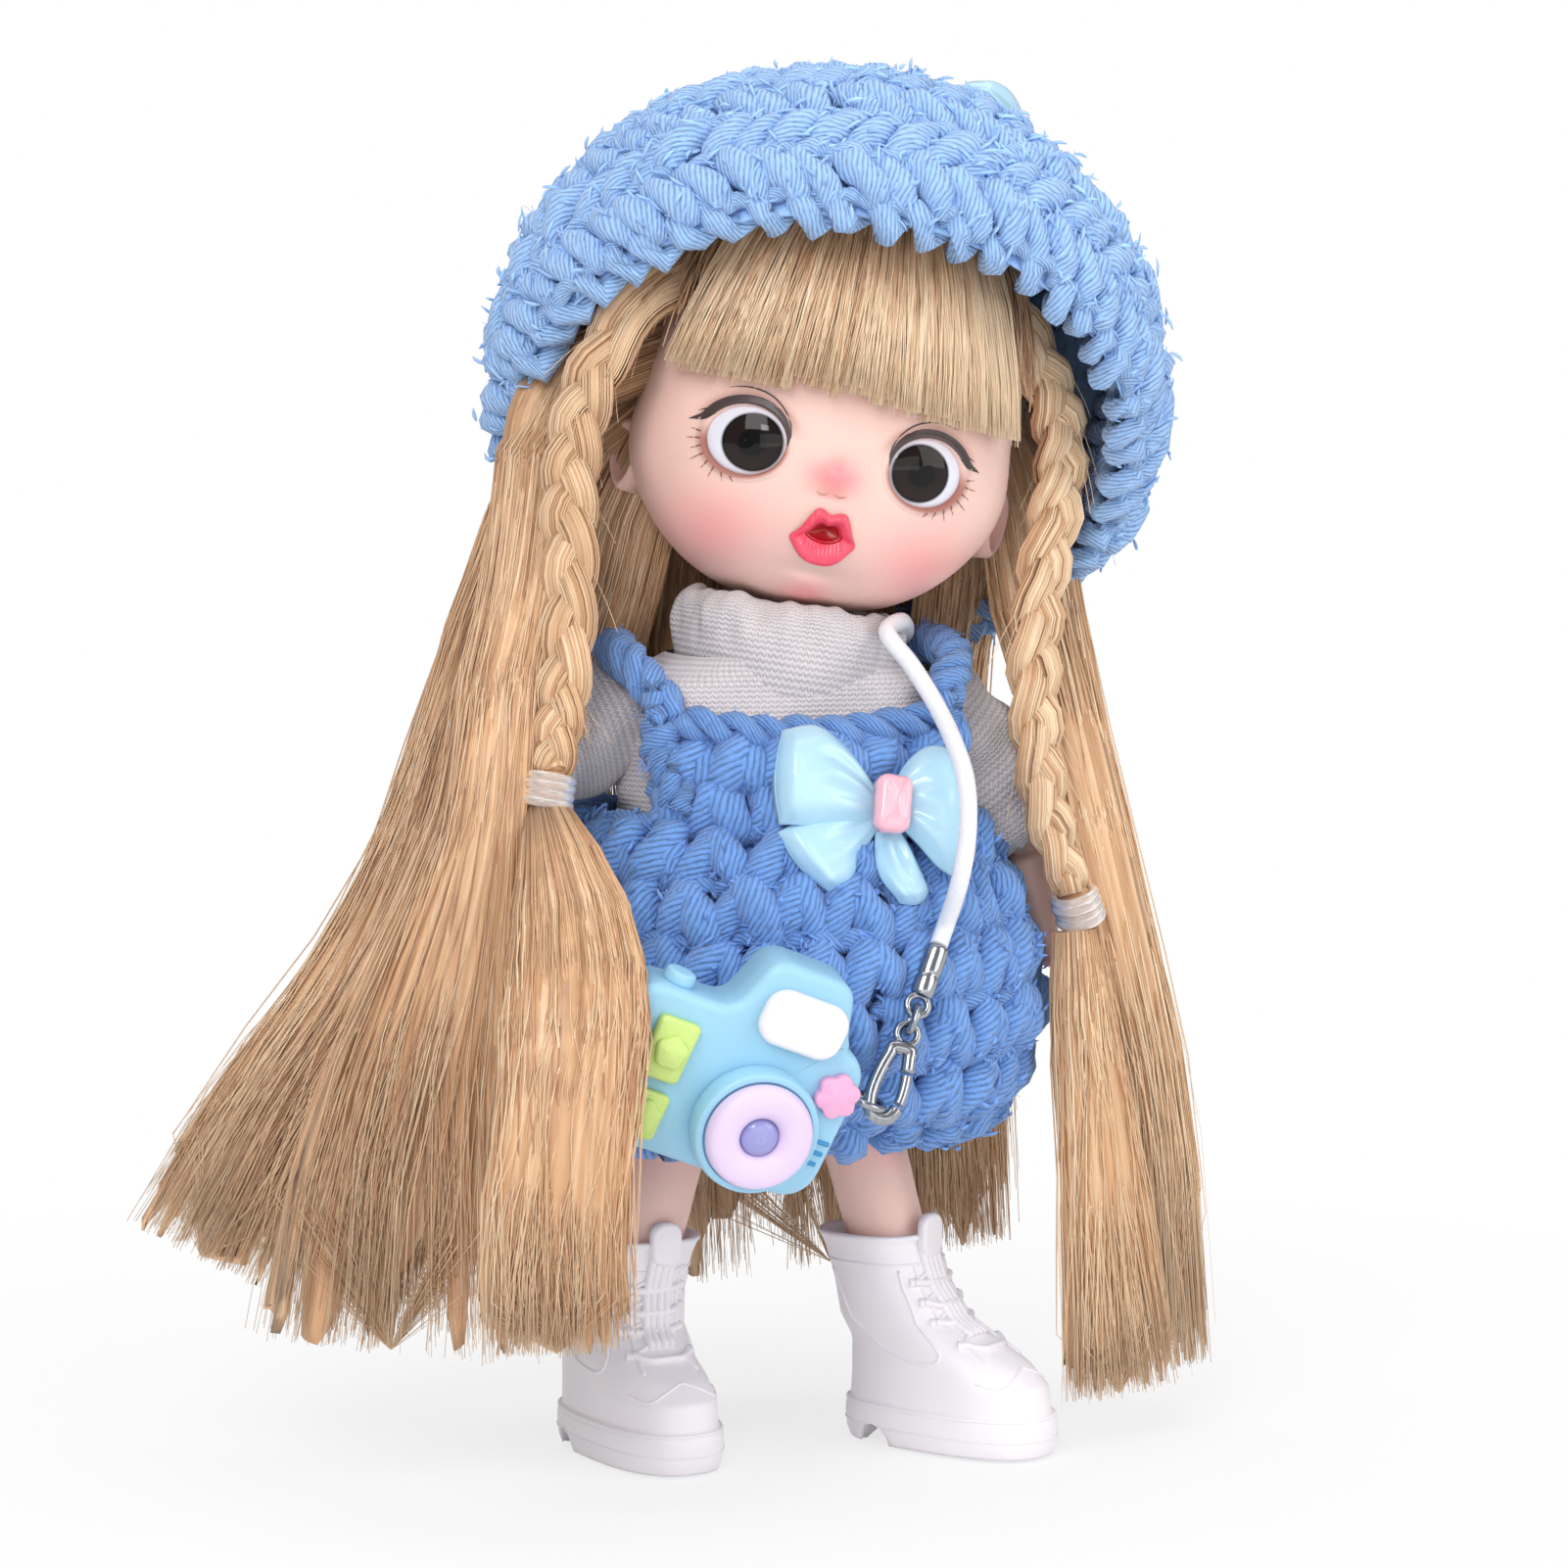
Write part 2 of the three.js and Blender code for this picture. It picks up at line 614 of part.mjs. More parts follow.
// Neck: a post with a flange held under the top of the torso and a ball inside the head
const headFrame = frameIn(neckFrame, "head_nod", [0, 0, NECK_LENGTH], [0, 0, HEAD_YAW]);
const skull = frameIn(headFrame, "skull", [0, -HEAD_FORWARD, HEAD_ABOVE_BALL]);
const neckRing = NECK_RADIUS + 2.2;
const neckPost = joined(
  bar("z", NECK_RADIUS, -WALL - 3, NECK_LENGTH),
  bar("z", neckRing, -WALL - 3.2, -WALL - 2.2),
  ball(NECK_BALL_RADIUS, NECK_BALL_RADIUS, NECK_BALL_RADIUS).translate([0, 0, NECK_LENGTH]),
);
addPiece(neckFrame, "neck_post", neckPost, skin, 0.5);

// Head: the skull frame has its origin at the middle of the head
function headGeometry(grow = 0, across = 18, up = 12) {
  const geometry = new THREE.SphereGeometry(1, across, up).rotateX(Math.PI / 2);
  const places = geometry.attributes.position;
  for (let i = 0; i < places.count; i++) {
    const x = places.getX(i);
    const y = places.getY(i);
    const z = places.getZ(i);
    const cheek = 1 + CHEEK_FULLNESS * Math.exp(-(((z + 0.35) / 0.35) ** 2));
    const depth = y < 0 ? -(FACE_DEPTH + grow) * (-y) ** FACE_FLATNESS : (BACK_DEPTH + grow) * y;
    places.setXYZ(
      i,
      x * (HEAD_HALF_WIDTH * cheek + grow),
      depth,
      z * ((z > 0 ? CROWN_HEIGHT : CHIN_DEPTH) + grow),
    );
  }
  return geometry;
}
const headShape = (...sizes) => solid(headGeometry(...sizes));

function faceDepth(x, z) {
  const level = z / (z > 0 ? CROWN_HEIGHT : CHIN_DEPTH);
  return FACE_DEPTH * Math.sqrt(1 - (x / HEAD_HALF_WIDTH) ** 2 - level ** 2) ** FACE_FLATNESS;
}
const eyeY = EYE_RADIUS - EYE_PROUD - faceDepth(EYE_SPACING / 2, -EYE_DROP);
const eyePlace = (sign) => [(sign * EYE_SPACING) / 2, eyeY, -EYE_DROP];
const earPlace = (sign) => [sign * (HEAD_HALF_WIDTH + 0.2), EAR_BACK, -EAR_DROP];
const earShape = (sign, grow = 0) =>
  ball(EAR_HALF_WIDTH + grow, EAR_HALF_DEPTH + grow, EAR_HEIGHT / 2 + grow, 8, 6)
    .rotate([0, 0, -sign * EAR_TURN])
    .translate(earPlace(sign));

function makeHead() {
  const nose = ball(2.2, 1.8, 1.8, 8, 6).translate([0, -faceDepth(0, -NOSE_DROP), -NOSE_DROP]);
  const lips = ball(3.6, 1.8, 2.8, 8, 6).translate([0, -faceDepth(0, -LIPS_DROP), -LIPS_DROP]);
  const outside = joined(headShape(), earShape(-1), earShape(1), nose, lips);
  const neckOpening = bar("z", NECK_RADIUS + 2, -CHIN_DEPTH - 4, -CHIN_DEPTH + 6);
  let shell = outside.subtract(headShape(-HEAD_WALL, 12, 8)).subtract(neckOpening);
  for (const sign of [-1, 1]) {
    const room = EYE_RADIUS + CLEARANCE;
    shell = shell.subtract(ball(room, room, room).translate(eyePlace(sign)));
  }
  addPiece(skull, "head_shell", largest(shell), skin, 0.45);
  for (const [side, sign] of [["right", -1], ["left", 1]]) {
    const dome = halfSpace(new Vector3(0, EYE_RADIUS / 3, 0), new Vector3(0, -1, 0));
    const eye = ball(EYE_RADIUS, EYE_RADIUS, EYE_RADIUS).intersect(dome).translate(eyePlace(sign));
    addPiece(skull, `${side}_eye`, eye, brown, 0.1);
  }
}
makeHead();

// Hair on the head: a cap behind the hairline plane and a fringe in front of it
const hairlineNormal = new Vector3(0, Math.cos(radians(HAIRLINE_TILT)), Math.sin(radians(HAIRLINE_TILT)));
const hairlinePoint = (offset) => hairlineNormal.clone().multiplyScalar(HAIRLINE + offset);
const capOutside = () => headShape(HAIR_THICKNESS);

function makeHairOnHead() {
  const under = joined(headShape(CLEARANCE), earShape(-1, CLEARANCE), earShape(1, CLEARANCE));
  const neckRoom = bar("z", NECK_BALL_RADIUS + 3, -CHIN_DEPTH - 9, 0);
  const cap = capOutside()
    .subtract(under)
    .intersect(halfSpace(hairlinePoint(0), hairlineNormal))
    .subtract(neckRoom);
  addPiece(skull, "hair_cap", largest(cap), hair, 0.55);
  const lowEdge = halfSpace(new Vector3(0, 0, BANGS_HEIGHT), new Vector3(BANGS_SLOPE, 0, 1));
  const bangs = headShape(BANGS_THICKNESS)
    .subtract(under)
    .intersect(halfSpace(hairlinePoint(-CLEARANCE), hairlineNormal.clone().negate()))
    .intersect(lowEdge);
  addPiece(skull, "bangs", largest(bangs), hair, 0.55);
}
makeHairOnHead();

// Hat: a deep dome turned back on the head, seated on the hair at its crown
const hatFrame = frameIn(skull, "hat_lift", [0, HAT_BACK, HAT_UP], [-HAT_TILT, 0, 0]);
const hatAxis = new Vector3(0, Math.sin(radians(HAT_TILT)), Math.cos(radians(HAT_TILT)));

function hatSeat(inside) {
  const places = headGeometry(HAIR_THICKNESS + CLEARANCE).attributes.position;
  let crown = 0;
  for (let i = 0; i < places.count; i++) {
    const point = new Vector3().fromBufferAttribute(places, i).sub(hatFrame.position);
    const height = point.dot(hatAxis);
    const away = Math.sqrt(point.lengthSq() - height ** 2);
    crown = Math.max(crown, height / Math.sqrt(1 - (away / inside) ** 2));
  }
  return crown + CLEARANCE;
}

function domeProfile(radius, crown, edge, count = 8) {
  const start = Math.asin(edge / radius);
  return Array.from({ length: count + 1 }, (_, i) => {
    const tilt = THREE.MathUtils.lerp(start, Math.PI / 2, i / count);
    const height = Math.sin(tilt) * (tilt > 0 ? crown : radius);
    return new THREE.Vector2(i === count ? 0 : radius * Math.cos(tilt), height);
  });
}
const hatInside = HAT_RADIUS - HAT_THICKNESS;
const hatCrown = hatSeat(hatInside);
const hatTop = hatCrown + HAT_CROWN_THICKNESS;

// The hat's wall, thickened on both faces by grow.
function hatShape(grow = 0) {
  const outside = domeProfile(HAT_RADIUS + grow, hatTop + grow, -HAT_BRIM_DROP - grow);
  const inside = domeProfile(hatInside - grow, hatCrown - grow, -HAT_BRIM_DROP - grow);
  return solid(new THREE.LatheGeometry([...outside.reverse(), ...inside], 24).rotateX(Math.PI / 2));
}
addPiece(hatFrame, "hat", hatShape(), hatBlue, 0.9);

// Bows: two loops and two tails cut from one outline
function bowOutline(width) {
  const w = width / 2;
  const shape = new THREE.Shape();
  shape.moveTo(0, 0.2 * w);
  for (const sign of [1, -1]) {
    const curve = (...points) => shape.bezierCurveTo(...points.map((p, i) => p * w * (i % 2 ? 1 : sign)));
    if (sign > 0) {
      curve(0.3, 0.55, 0.55, 0.85, 0.8, 0.62);
      curve(1.05, 0.4, 1, 0, 0.72, -0.12);
      curve(0.8, -0.3, 0.78, -0.55, 0.62, -0.78);
      curve(0.4, -0.7, 0.15, -0.45, 0, -0.2);
    } else {
      curve(0.15, -0.45, 0.4, -0.7, 0.62, -0.78);
      curve(0.78, -0.55, 0.8, -0.3, 0.72, -0.12);
      curve(1, 0, 1.05, 0.4, 0.8, 0.62);
      curve(0.55, 0.85, 0.3, 0.55, 0, 0.2);
    }
  }
  return shape;
}
const bowShape = (width) => plate(bowOutline(width), BOW_THICKNESS, 1, 4);

function makeHatBow() {
  const [x, y] = HAT_BOW_PLACE;
  const rise = hatTop * Math.sqrt(1 - (x ** 2 + y ** 2) / HAT_RADIUS ** 2);
  const normal = new Vector3(x / HAT_RADIUS ** 2, y / HAT_RADIUS ** 2, rise / hatTop ** 2).normalize();
  const place = frameIn(hatFrame, "hat_bow_place", [x, y, rise]);
  place.position.addScaledVector(normal, BOW_THICKNESS);
  place.quaternion.setFromUnitVectors(new Vector3(0, -1, 0), normal);
  doll.updateMatrixWorld(true);
  const dome = domeProfile(HAT_RADIUS + CLEARANCE, hatTop + CLEARANCE, 0).reverse();
  dome.push(new THREE.Vector2(0, 0));
  const hatRoom = solid(new THREE.LatheGeometry(dome, 32).rotateX(Math.PI / 2));
  const bow = bowShape(HAT_BOW_WIDTH).subtract(inGroup(inDoll(hatRoom, hatFrame), place));
  addPiece(place, "hat_bow", largest(bow), paleBlue, 0.15);
}
makeHatBow();

// Jumper body: loose below, close on the shoulders that carry it
const sweaterSections = [
  [waistZ - 9, SWEATER_HALF_WIDTH - 0.3, SWEATER_HALF_DEPTH - 0.2],
  [waistZ, SWEATER_HALF_WIDTH, SWEATER_HALF_DEPTH],
  [shoulderZ - 7, SWEATER_HALF_WIDTH + 0.4, SWEATER_HALF_DEPTH - 0.2],
  [shoulderZ, SWEATER_HALF_WIDTH + 1.2, SWEATER_HALF_DEPTH - 0.9],
  [shoulderZ + 4, SWEATER_HALF_WIDTH + 0.4, SWEATER_HALF_DEPTH - 2],
  [torsoTop, SWEATER_HALF_WIDTH - 4, SWEATER_HALF_DEPTH - 2.8],
  [torsoTop + 1.5, COLLAR_RADIUS, COLLAR_RADIUS - 1],
];
const sweaterShape = (grow = 0) => tower(sweaterSections, { grow });

const collarShape = (grow = 0) => {
  const inside = COLLAR_RADIUS - COLLAR_WALL - grow;
  const low = -2.5 - grow;
  const high = COLLAR_HEIGHT + grow;
  const roll = COLLAR_RADIUS + 0.5 + grow;
  const profile = [
    [inside, low],
    [COLLAR_RADIUS + grow, low],
    [COLLAR_RADIUS - 0.4 + grow, 2],
    [roll, high - 2.2],
    [roll - 0.5, high - 0.5],
    [roll - 1.3, high],
    [inside + 0.4, high - 0.4],
    [inside, low],
  ].map(([radius, height]) => new THREE.Vector2(radius, height));
  return solid(new THREE.LatheGeometry(profile, 18).rotateX(Math.PI / 2));
};

const shoulderFrames = {};
const armFrames = {};
const elbowFrames = {};
const ARMS = [
  { side: "right", sign: -1, swing: RIGHT_ARM_SWING, raise: RIGHT_ARM_RAISE, bend: RIGHT_ELBOW_BEND },
  { side: "left", sign: 1, swing: LEFT_ARM_SWING, raise: LEFT_ARM_RAISE, bend: LEFT_ELBOW_BEND },
];
for (const { side, sign, swing, raise, bend } of ARMS) {
  const shoulder = [sign * SHOULDER_PIVOT, 0, shoulderZ];
  const elbow = [0, 0, -UPPER_ARM_LENGTH];
  const swung = frameIn(doll, `${side}_shoulder_swing`, shoulder, [swing, 0, 0]);
  const raised = frameIn(swung, `${side}_shoulder_raise`, [0, 0, 0], [0, -sign * raise, 0]);
  shoulderFrames[side] = swung;
  armFrames[side] = raised;
  elbowFrames[side] = frameIn(raised, `${side}_elbow_bend`, elbow, [0, sign * bend, 0]);
}

const armRoom = (side) => {
  const room = ARM_RADIUS + 2 * CLEARANCE;
  return inDoll(ball(room, room, room).add(bar("z", room, 0, -UPPER_ARM_LENGTH)), armFrames[side]);
};

function makeSweater() {
  const loose = sweaterSections.slice(0, 3).map(([z, w, d]) => [z, w - SWEATER_WALL, d - SWEATER_WALL]);
  loose[0][0] -= 1;
  const close = torsoSections.slice(-3).map(([z, w, d]) => [z, w + CLEARANCE, d + CLEARANCE]);
  const hollow = tower([
    ...loose,
    [shoulderZ - 2, SHOULDER_HALF_WIDTH + 2, CHEST_HALF_DEPTH + 1.5],
    ...close,
    [torsoTop + 4, ...close.at(-1).slice(1)],
  ]);
  const armhole = (sign) =>
    bar("x", ARMHOLE_RADIUS, sign * SHOULDER_HALF_WIDTH, 2 * sign * SWEATER_HALF_WIDTH)
      .translate([0, 0, shoulderZ]);
  const body = sweaterShape()
    .subtract(hollow)
    .subtract(armhole(-1))
    .subtract(armhole(1))
    .subtract(shoulderHoles);
  addPiece(doll, "sweater_body", largest(body), knitWhite, 0.95);
  const collar = inDoll(collarShape(), neckFrame)
    .subtract(sweaterShape(CLEARANCE))
    .subtract(inDoll(headShape(CLEARANCE), skull));
  addPiece(doll, "sweater_collar", largest(collar), knitWhite, 0.95);
}
makeSweater();

// Arms: a peg in the torso's side, an upper arm forked at both ends and a forearm with a mitten hand
function upperArmShape(grow = 0) {
  return limb(new Vector3(), new Vector3(0, 0, -UPPER_ARM_LENGTH), ARM_RADIUS, ARM_RADIUS, { grow });
}

function forearmShape(sign, grow = 0) {
  const start = new Vector3(0, 0, -ARM_RADIUS - CLEARANCE - FOREARM_RADIUS);
  const wrist = new Vector3(0, 0, -FOREARM_LENGTH);
  const shaft = limb(start, wrist, FOREARM_RADIUS, WRIST_RADIUS, { grow });
  const hand = ball(HAND_THICKNESS / 2 + grow, HAND_WIDTH / 2 + grow, HAND_LENGTH / 2 + grow, 8, 6)
    .translate([0, 0, -FOREARM_LENGTH - HAND_LENGTH / 2 + 1]);
  const thumb = ball(1 + grow, 1.1 + grow, 2.3 + grow, 6, 5)
    .rotate([-30, 0, 0])
    .translate([-sign * 0.6, -HAND_WIDTH / 2, -FOREARM_LENGTH - 2.4]);
  return joined(shaft, hand, thumb);
}

function sleeveProfile(grow = 0) {
  return [
    [SLEEVE_RADIUS - 0.4 + grow, 3],
    [SLEEVE_RADIUS + grow, -UPPER_ARM_LENGTH * 0.4],
    [SLEEVE_RADIUS - 0.2 + grow, -UPPER_ARM_LENGTH * 0.75],
    [SLEEVE_MOUTH_RADIUS + grow, 0.5 - UPPER_ARM_LENGTH - grow],
  ].map(([radius, height]) => new THREE.Vector2(radius, height));
}

function sleeveShape() {
  const outside = sleeveProfile();
  const inside = sleeveProfile().map(({ x, y }) => new THREE.Vector2(x - SLEEVE_WALL, y));
  const profile = [...outside, ...inside.reverse(), outside[0]];
  return solid(new THREE.LatheGeometry(profile, 16).rotateX(Math.PI / 2));
}

function sleeveRoom(side, grow) {
  const edge = sleeveProfile(grow);
  const profile = [new THREE.Vector2(0, edge[0].y), ...edge, new THREE.Vector2(0, edge.at(-1).y)];
  return inDoll(solid(new THREE.LatheGeometry(profile, 16).rotateX(Math.PI / 2)), armFrames[side]);
}

// Dress: a thick crocheted skirt, and a bib whose straps go over the shoulders to the back
const skirtSections = (thinner = 0) => [
  [hemZ, HEM_HALF_WIDTH - thinner, HEM_HALF_DEPTH - thinner],
  [hemZ + 2, HEM_HALF_WIDTH + 1.5 - thinner, HEM_HALF_DEPTH + 1.5 - thinner],
  [hemZ + 8, SKIRT_HALF_WIDTH - 0.8 - thinner, SKIRT_HALF_DEPTH - 0.8 - thinner],
  [hemZ + 15, SKIRT_HALF_WIDTH - thinner, SKIRT_HALF_DEPTH - thinner],
  [hemZ + 24, SKIRT_HALF_WIDTH - 2.2 - thinner, SKIRT_HALF_DEPTH - 2 - thinner],
  [waistZ - 5, SWEATER_HALF_WIDTH + SOFT_CLEARANCE + YARN_THICKNESS + 2 - thinner,
    SWEATER_HALF_DEPTH + SOFT_CLEARANCE + YARN_THICKNESS + 2 - thinner],
  [waistZ, SWEATER_HALF_WIDTH + SOFT_CLEARANCE + YARN_THICKNESS - thinner,
    SWEATER_HALF_DEPTH + SOFT_CLEARANCE + YARN_THICKNESS - thinner],
];
const skirtShape = (grow = 0) => tower(skirtSections(), { grow, sides: 20 });
const bibRoom = (grow = 0) => sweaterShape(SOFT_CLEARANCE + YARN_THICKNESS + grow);

// The bib and straps seen from the front and the straps seen from the back, carried through the body.
function bibPrism(margin = 0) {
  const low = waistZ + CLEARANCE - margin;
  const high = torsoTop + 3;
  const outer = SWEATER_HALF_WIDTH + 3 + margin;
  const inner = SWEATER_HALF_WIDTH + 3 - STRAP_WIDTH - margin;
  const reach = 2 * SWEATER_HALF_DEPTH + 2 * YARN_THICKNESS;
  const bibHalf = BIB_HALF_WIDTH + margin;
  const edge = [
    [bibHalf, low],
    [bibHalf, waistZ + BIB_HEIGHT + 1 - margin],
    [outer, shoulderZ + 6 - margin],
    [outer, high],
    [inner, high],
    [inner, shoulderZ + 7.5 + margin],
    [bibHalf - STRAP_WIDTH, waistZ + BIB_HEIGHT + 2 + margin],
  ];
  const front = new THREE.Shape();
  const points = [...edge, [0, waistZ + BIB_HEIGHT + margin], ...edge.map(([x, z]) => [-x, z]).reverse()];
  points.forEach(([x, z], i) => (i === 0 ? front.moveTo(x, z) : front.lineTo(x, z)));
  const straps = [-1, 1].map((sign) => {
    const strap = new THREE.Shape();
    const corners = [
      [BACK_STRAP_X - margin, low],
      [BACK_STRAP_X + STRAP_WIDTH + margin, low],
      [outer, shoulderZ + 4 - margin],
      [outer, high],
      [inner, high],
      [inner, shoulderZ + 4 + margin],
    ];
    corners.forEach(([x, z], i) => (i === 0 ? strap.moveTo(sign * x, z) : strap.lineTo(sign * x, z)));
    return plate(strap, reach).translate([0, -0.1, 0]);
  });
  return joined(plate(front, reach).translate([0, -reach, 0]), ...straps);
}

function makeDress() {
  const inner = skirtSections(YARN_THICKNESS);
  inner[0][0] -= 1;
  inner.at(-1)[0] += 1;
  addPiece(doll, "dress_skirt", skirtShape().subtract(tower(inner, { sides: 20 })), crochetBlue, 0.9);

  const bib = bibRoom()
    .subtract(sweaterShape(SOFT_CLEARANCE))
    .intersect(bibPrism())
    .subtract(armRoom("right"))
    .subtract(armRoom("left"))
    .subtract(inDoll(collarShape(CLEARANCE), neckFrame))
    .subtract(inDoll(headShape(CLEARANCE), skull));
  addPiece(doll, "dress_bib", largest(bib), crochetBlue, 0.9);
}
makeDress();

function makeArm({ side, sign }) {
  const origin = new Vector3();
  const elbow = new Vector3(0, 0, -UPPER_ARM_LENGTH);
  const flangeFace = SHOULDER_HALF_WIDTH - WALL - 3.2 - SHOULDER_PIVOT;
  const tongueLength = 3;
  const peg = joined(
    bar("x", PEG_FLANGE_RADIUS, sign * (flangeFace - 1.2), sign * flangeFace),
    bar("x", PEG_RADIUS, sign * (flangeFace - 1.2), -sign * tongueLength),
    tongue(origin, tongueLength + 0.3, -1).rotate([0, sign * 90, 0]),
  );
  addPiece(shoulderFrames[side], `${side}_shoulder_peg`, peg, skin, 0.5);

  const arm = upperArmShape()
    .subtract(forkSlot(origin, 1, ARM_RADIUS))
    .subtract(forkSlot(elbow, -1, ARM_RADIUS))
    .add(forkPin(origin, ARM_RADIUS))
    .add(forkPin(elbow, ARM_RADIUS));
  addPiece(armFrames[side], `${side}_upper_arm`, largest(arm), skin, 0.45);

  const forearm = forearmShape(sign).add(tongue(origin, ARM_RADIUS + CLEARANCE + 1.5, -1));
  addPiece(elbowFrames[side], `${side}_forearm`, largest(forearm), skin, 0.45);

  const sleeve = inDoll(sleeveShape(), armFrames[side])
    .subtract(sweaterShape(SOFT_CLEARANCE))
    .subtract(bibRoom(SOFT_CLEARANCE).intersect(bibPrism(SOFT_CLEARANCE)))
    .subtract(skirtShape(SOFT_CLEARANCE));
  addPiece(armFrames[side], `${side}_sleeve`, inGroup(largest(sleeve), armFrames[side]), knitWhite, 0.95);
}
ARMS.forEach(makeArm);

// Bow on the chest, leaning out over the skirt, with its own knot
function makeChestBow() {
  const front = SWEATER_HALF_DEPTH + SOFT_CLEARANCE + YARN_THICKNESS;
  const place = frameIn(
    doll,
    "chest_bow_place",
    [CHEST_BOW_X, -front - BOW_THICKNESS - 1, waistZ + CHEST_BOW_RISE],
    [-CHEST_BOW_PITCH, -CHEST_BOW_ROLL, 0],
  );
  const dress = joined(bibRoom(CLEARANCE), skirtShape(CLEARANCE));
  const bow = bowShape(CHEST_BOW_WIDTH).subtract(inGroup(dress, place));
  addPiece(place, "chest_bow", largest(bow), paleBlue, 0.15);
  const knot = plate(roundedRectangle(KNOT_SIZE, KNOT_SIZE + 0.6, 1.2), KNOT_THICKNESS, 0.5, 2);
  addPiece(place, "chest_bow_knot", knot.translate([0, -KNOT_THICKNESS - CLEARANCE, 0]), pink, 0.15);
}
makeChestBow();

// Toy camera: its frame has its origin on the line through the two lug rings
const cameraFrame = frameIn(doll, "camera_swing", CAMERA_PLACE, [CAMERA_PITCH, CAMERA_ROLL, 0]);
const lugX = CAMERA_WIDTH / 2 + LUG_REACH;
const ringX = lugX + RING_RADIUS;
const hookX = ringX + RING_RADIUS;

function cameraOutline() {
  const shape = new THREE.Shape();
  const right = CAMERA_WIDTH / 2;
  const top = CAMERA_HEIGHT / 2;
  const c = CAMERA_CORNER;
  const peak = top + PRISM_HEIGHT;
  const foot = PRISM_WIDTH / 2;
  shape.moveTo(-right + c, -top);
  shape.lineTo(right - c, -top);
  shape.absarc(right - c, -top + c, c, -Math.PI / 2, 0);
  shape.lineTo(right, top - c);
  shape.absarc(right - c, top - c, c, 0, Math.PI / 2);
  shape.lineTo(PRISM_X + foot, top);
  shape.lineTo(PRISM_X + foot - PRISM_SLOPE, peak - PRISM_CORNER);
  shape.lineTo(PRISM_X + foot - PRISM_SLOPE - PRISM_CORNER, peak);
  shape.lineTo(PRISM_X - foot + PRISM_SLOPE + PRISM_CORNER, peak);
  shape.lineTo(PRISM_X - foot + PRISM_SLOPE, peak - PRISM_CORNER);
  shape.lineTo(PRISM_X - foot, top);
  shape.lineTo(-right + c, top);
  shape.absarc(-right + c, top - c, c, Math.PI / 2, Math.PI);
  shape.lineTo(-right, -top + c);
  shape.absarc(-right + c, -top + c, c, Math.PI, 1.5 * Math.PI);
  return shape;
}

function lugShape(sign) {
  const middle = sign * (lugX - LUG_REACH + 0.2);
  const eye = block(2 * LUG_REACH + 1, LUG_SIZE, LUG_SIZE).translate([middle, 0, 0]);
  return eye.subtract(bar("y", RING_WIRE + PIN_CLEARANCE, -3, 3, 10).translate([sign * lugX, 0, 0]));
}

function petals(radius, depth, count) {
  const shape = new THREE.Shape();
  const steps = count * 2;
  for (let i = 0; i < steps; i++) {
    const angle = (2 * Math.PI * i) / steps;
    const r = radius * (1 + depth * Math.cos(count * angle));
    const [x, y] = [r * Math.cos(angle), r * Math.sin(angle)];
    if (i === 0) shape.moveTo(x, y);
    else shape.lineTo(x, y);
  }
  return shape;
}

const cameraFront = -CAMERA_THICKNESS / 2;

function cameraShape() {
  const body = plate(cameraOutline(), CAMERA_THICKNESS, CAMERA_BEVEL, 3)
    .translate([0, cameraFront, -LUG_HEIGHT]);
  const barrel = bar("y", BARREL_RADIUS, cameraFront - BARREL_LENGTH, 0)
    .translate([LENS_X, 0, -LENS_DROP - LUG_HEIGHT]);
  return joined(body, barrel, lugShape(-1), lugShape(1));
}

// The room that the camera and its rings take up, as one box.
function cameraRoom(grow) {
  const width = 2 * (hookX + RING_WIRE + grow);
  return block(width, CAMERA_THICKNESS + 2 * grow, CAMERA_HEIGHT + 2 * grow).translate([0, 0, -LUG_HEIGHT]);
}

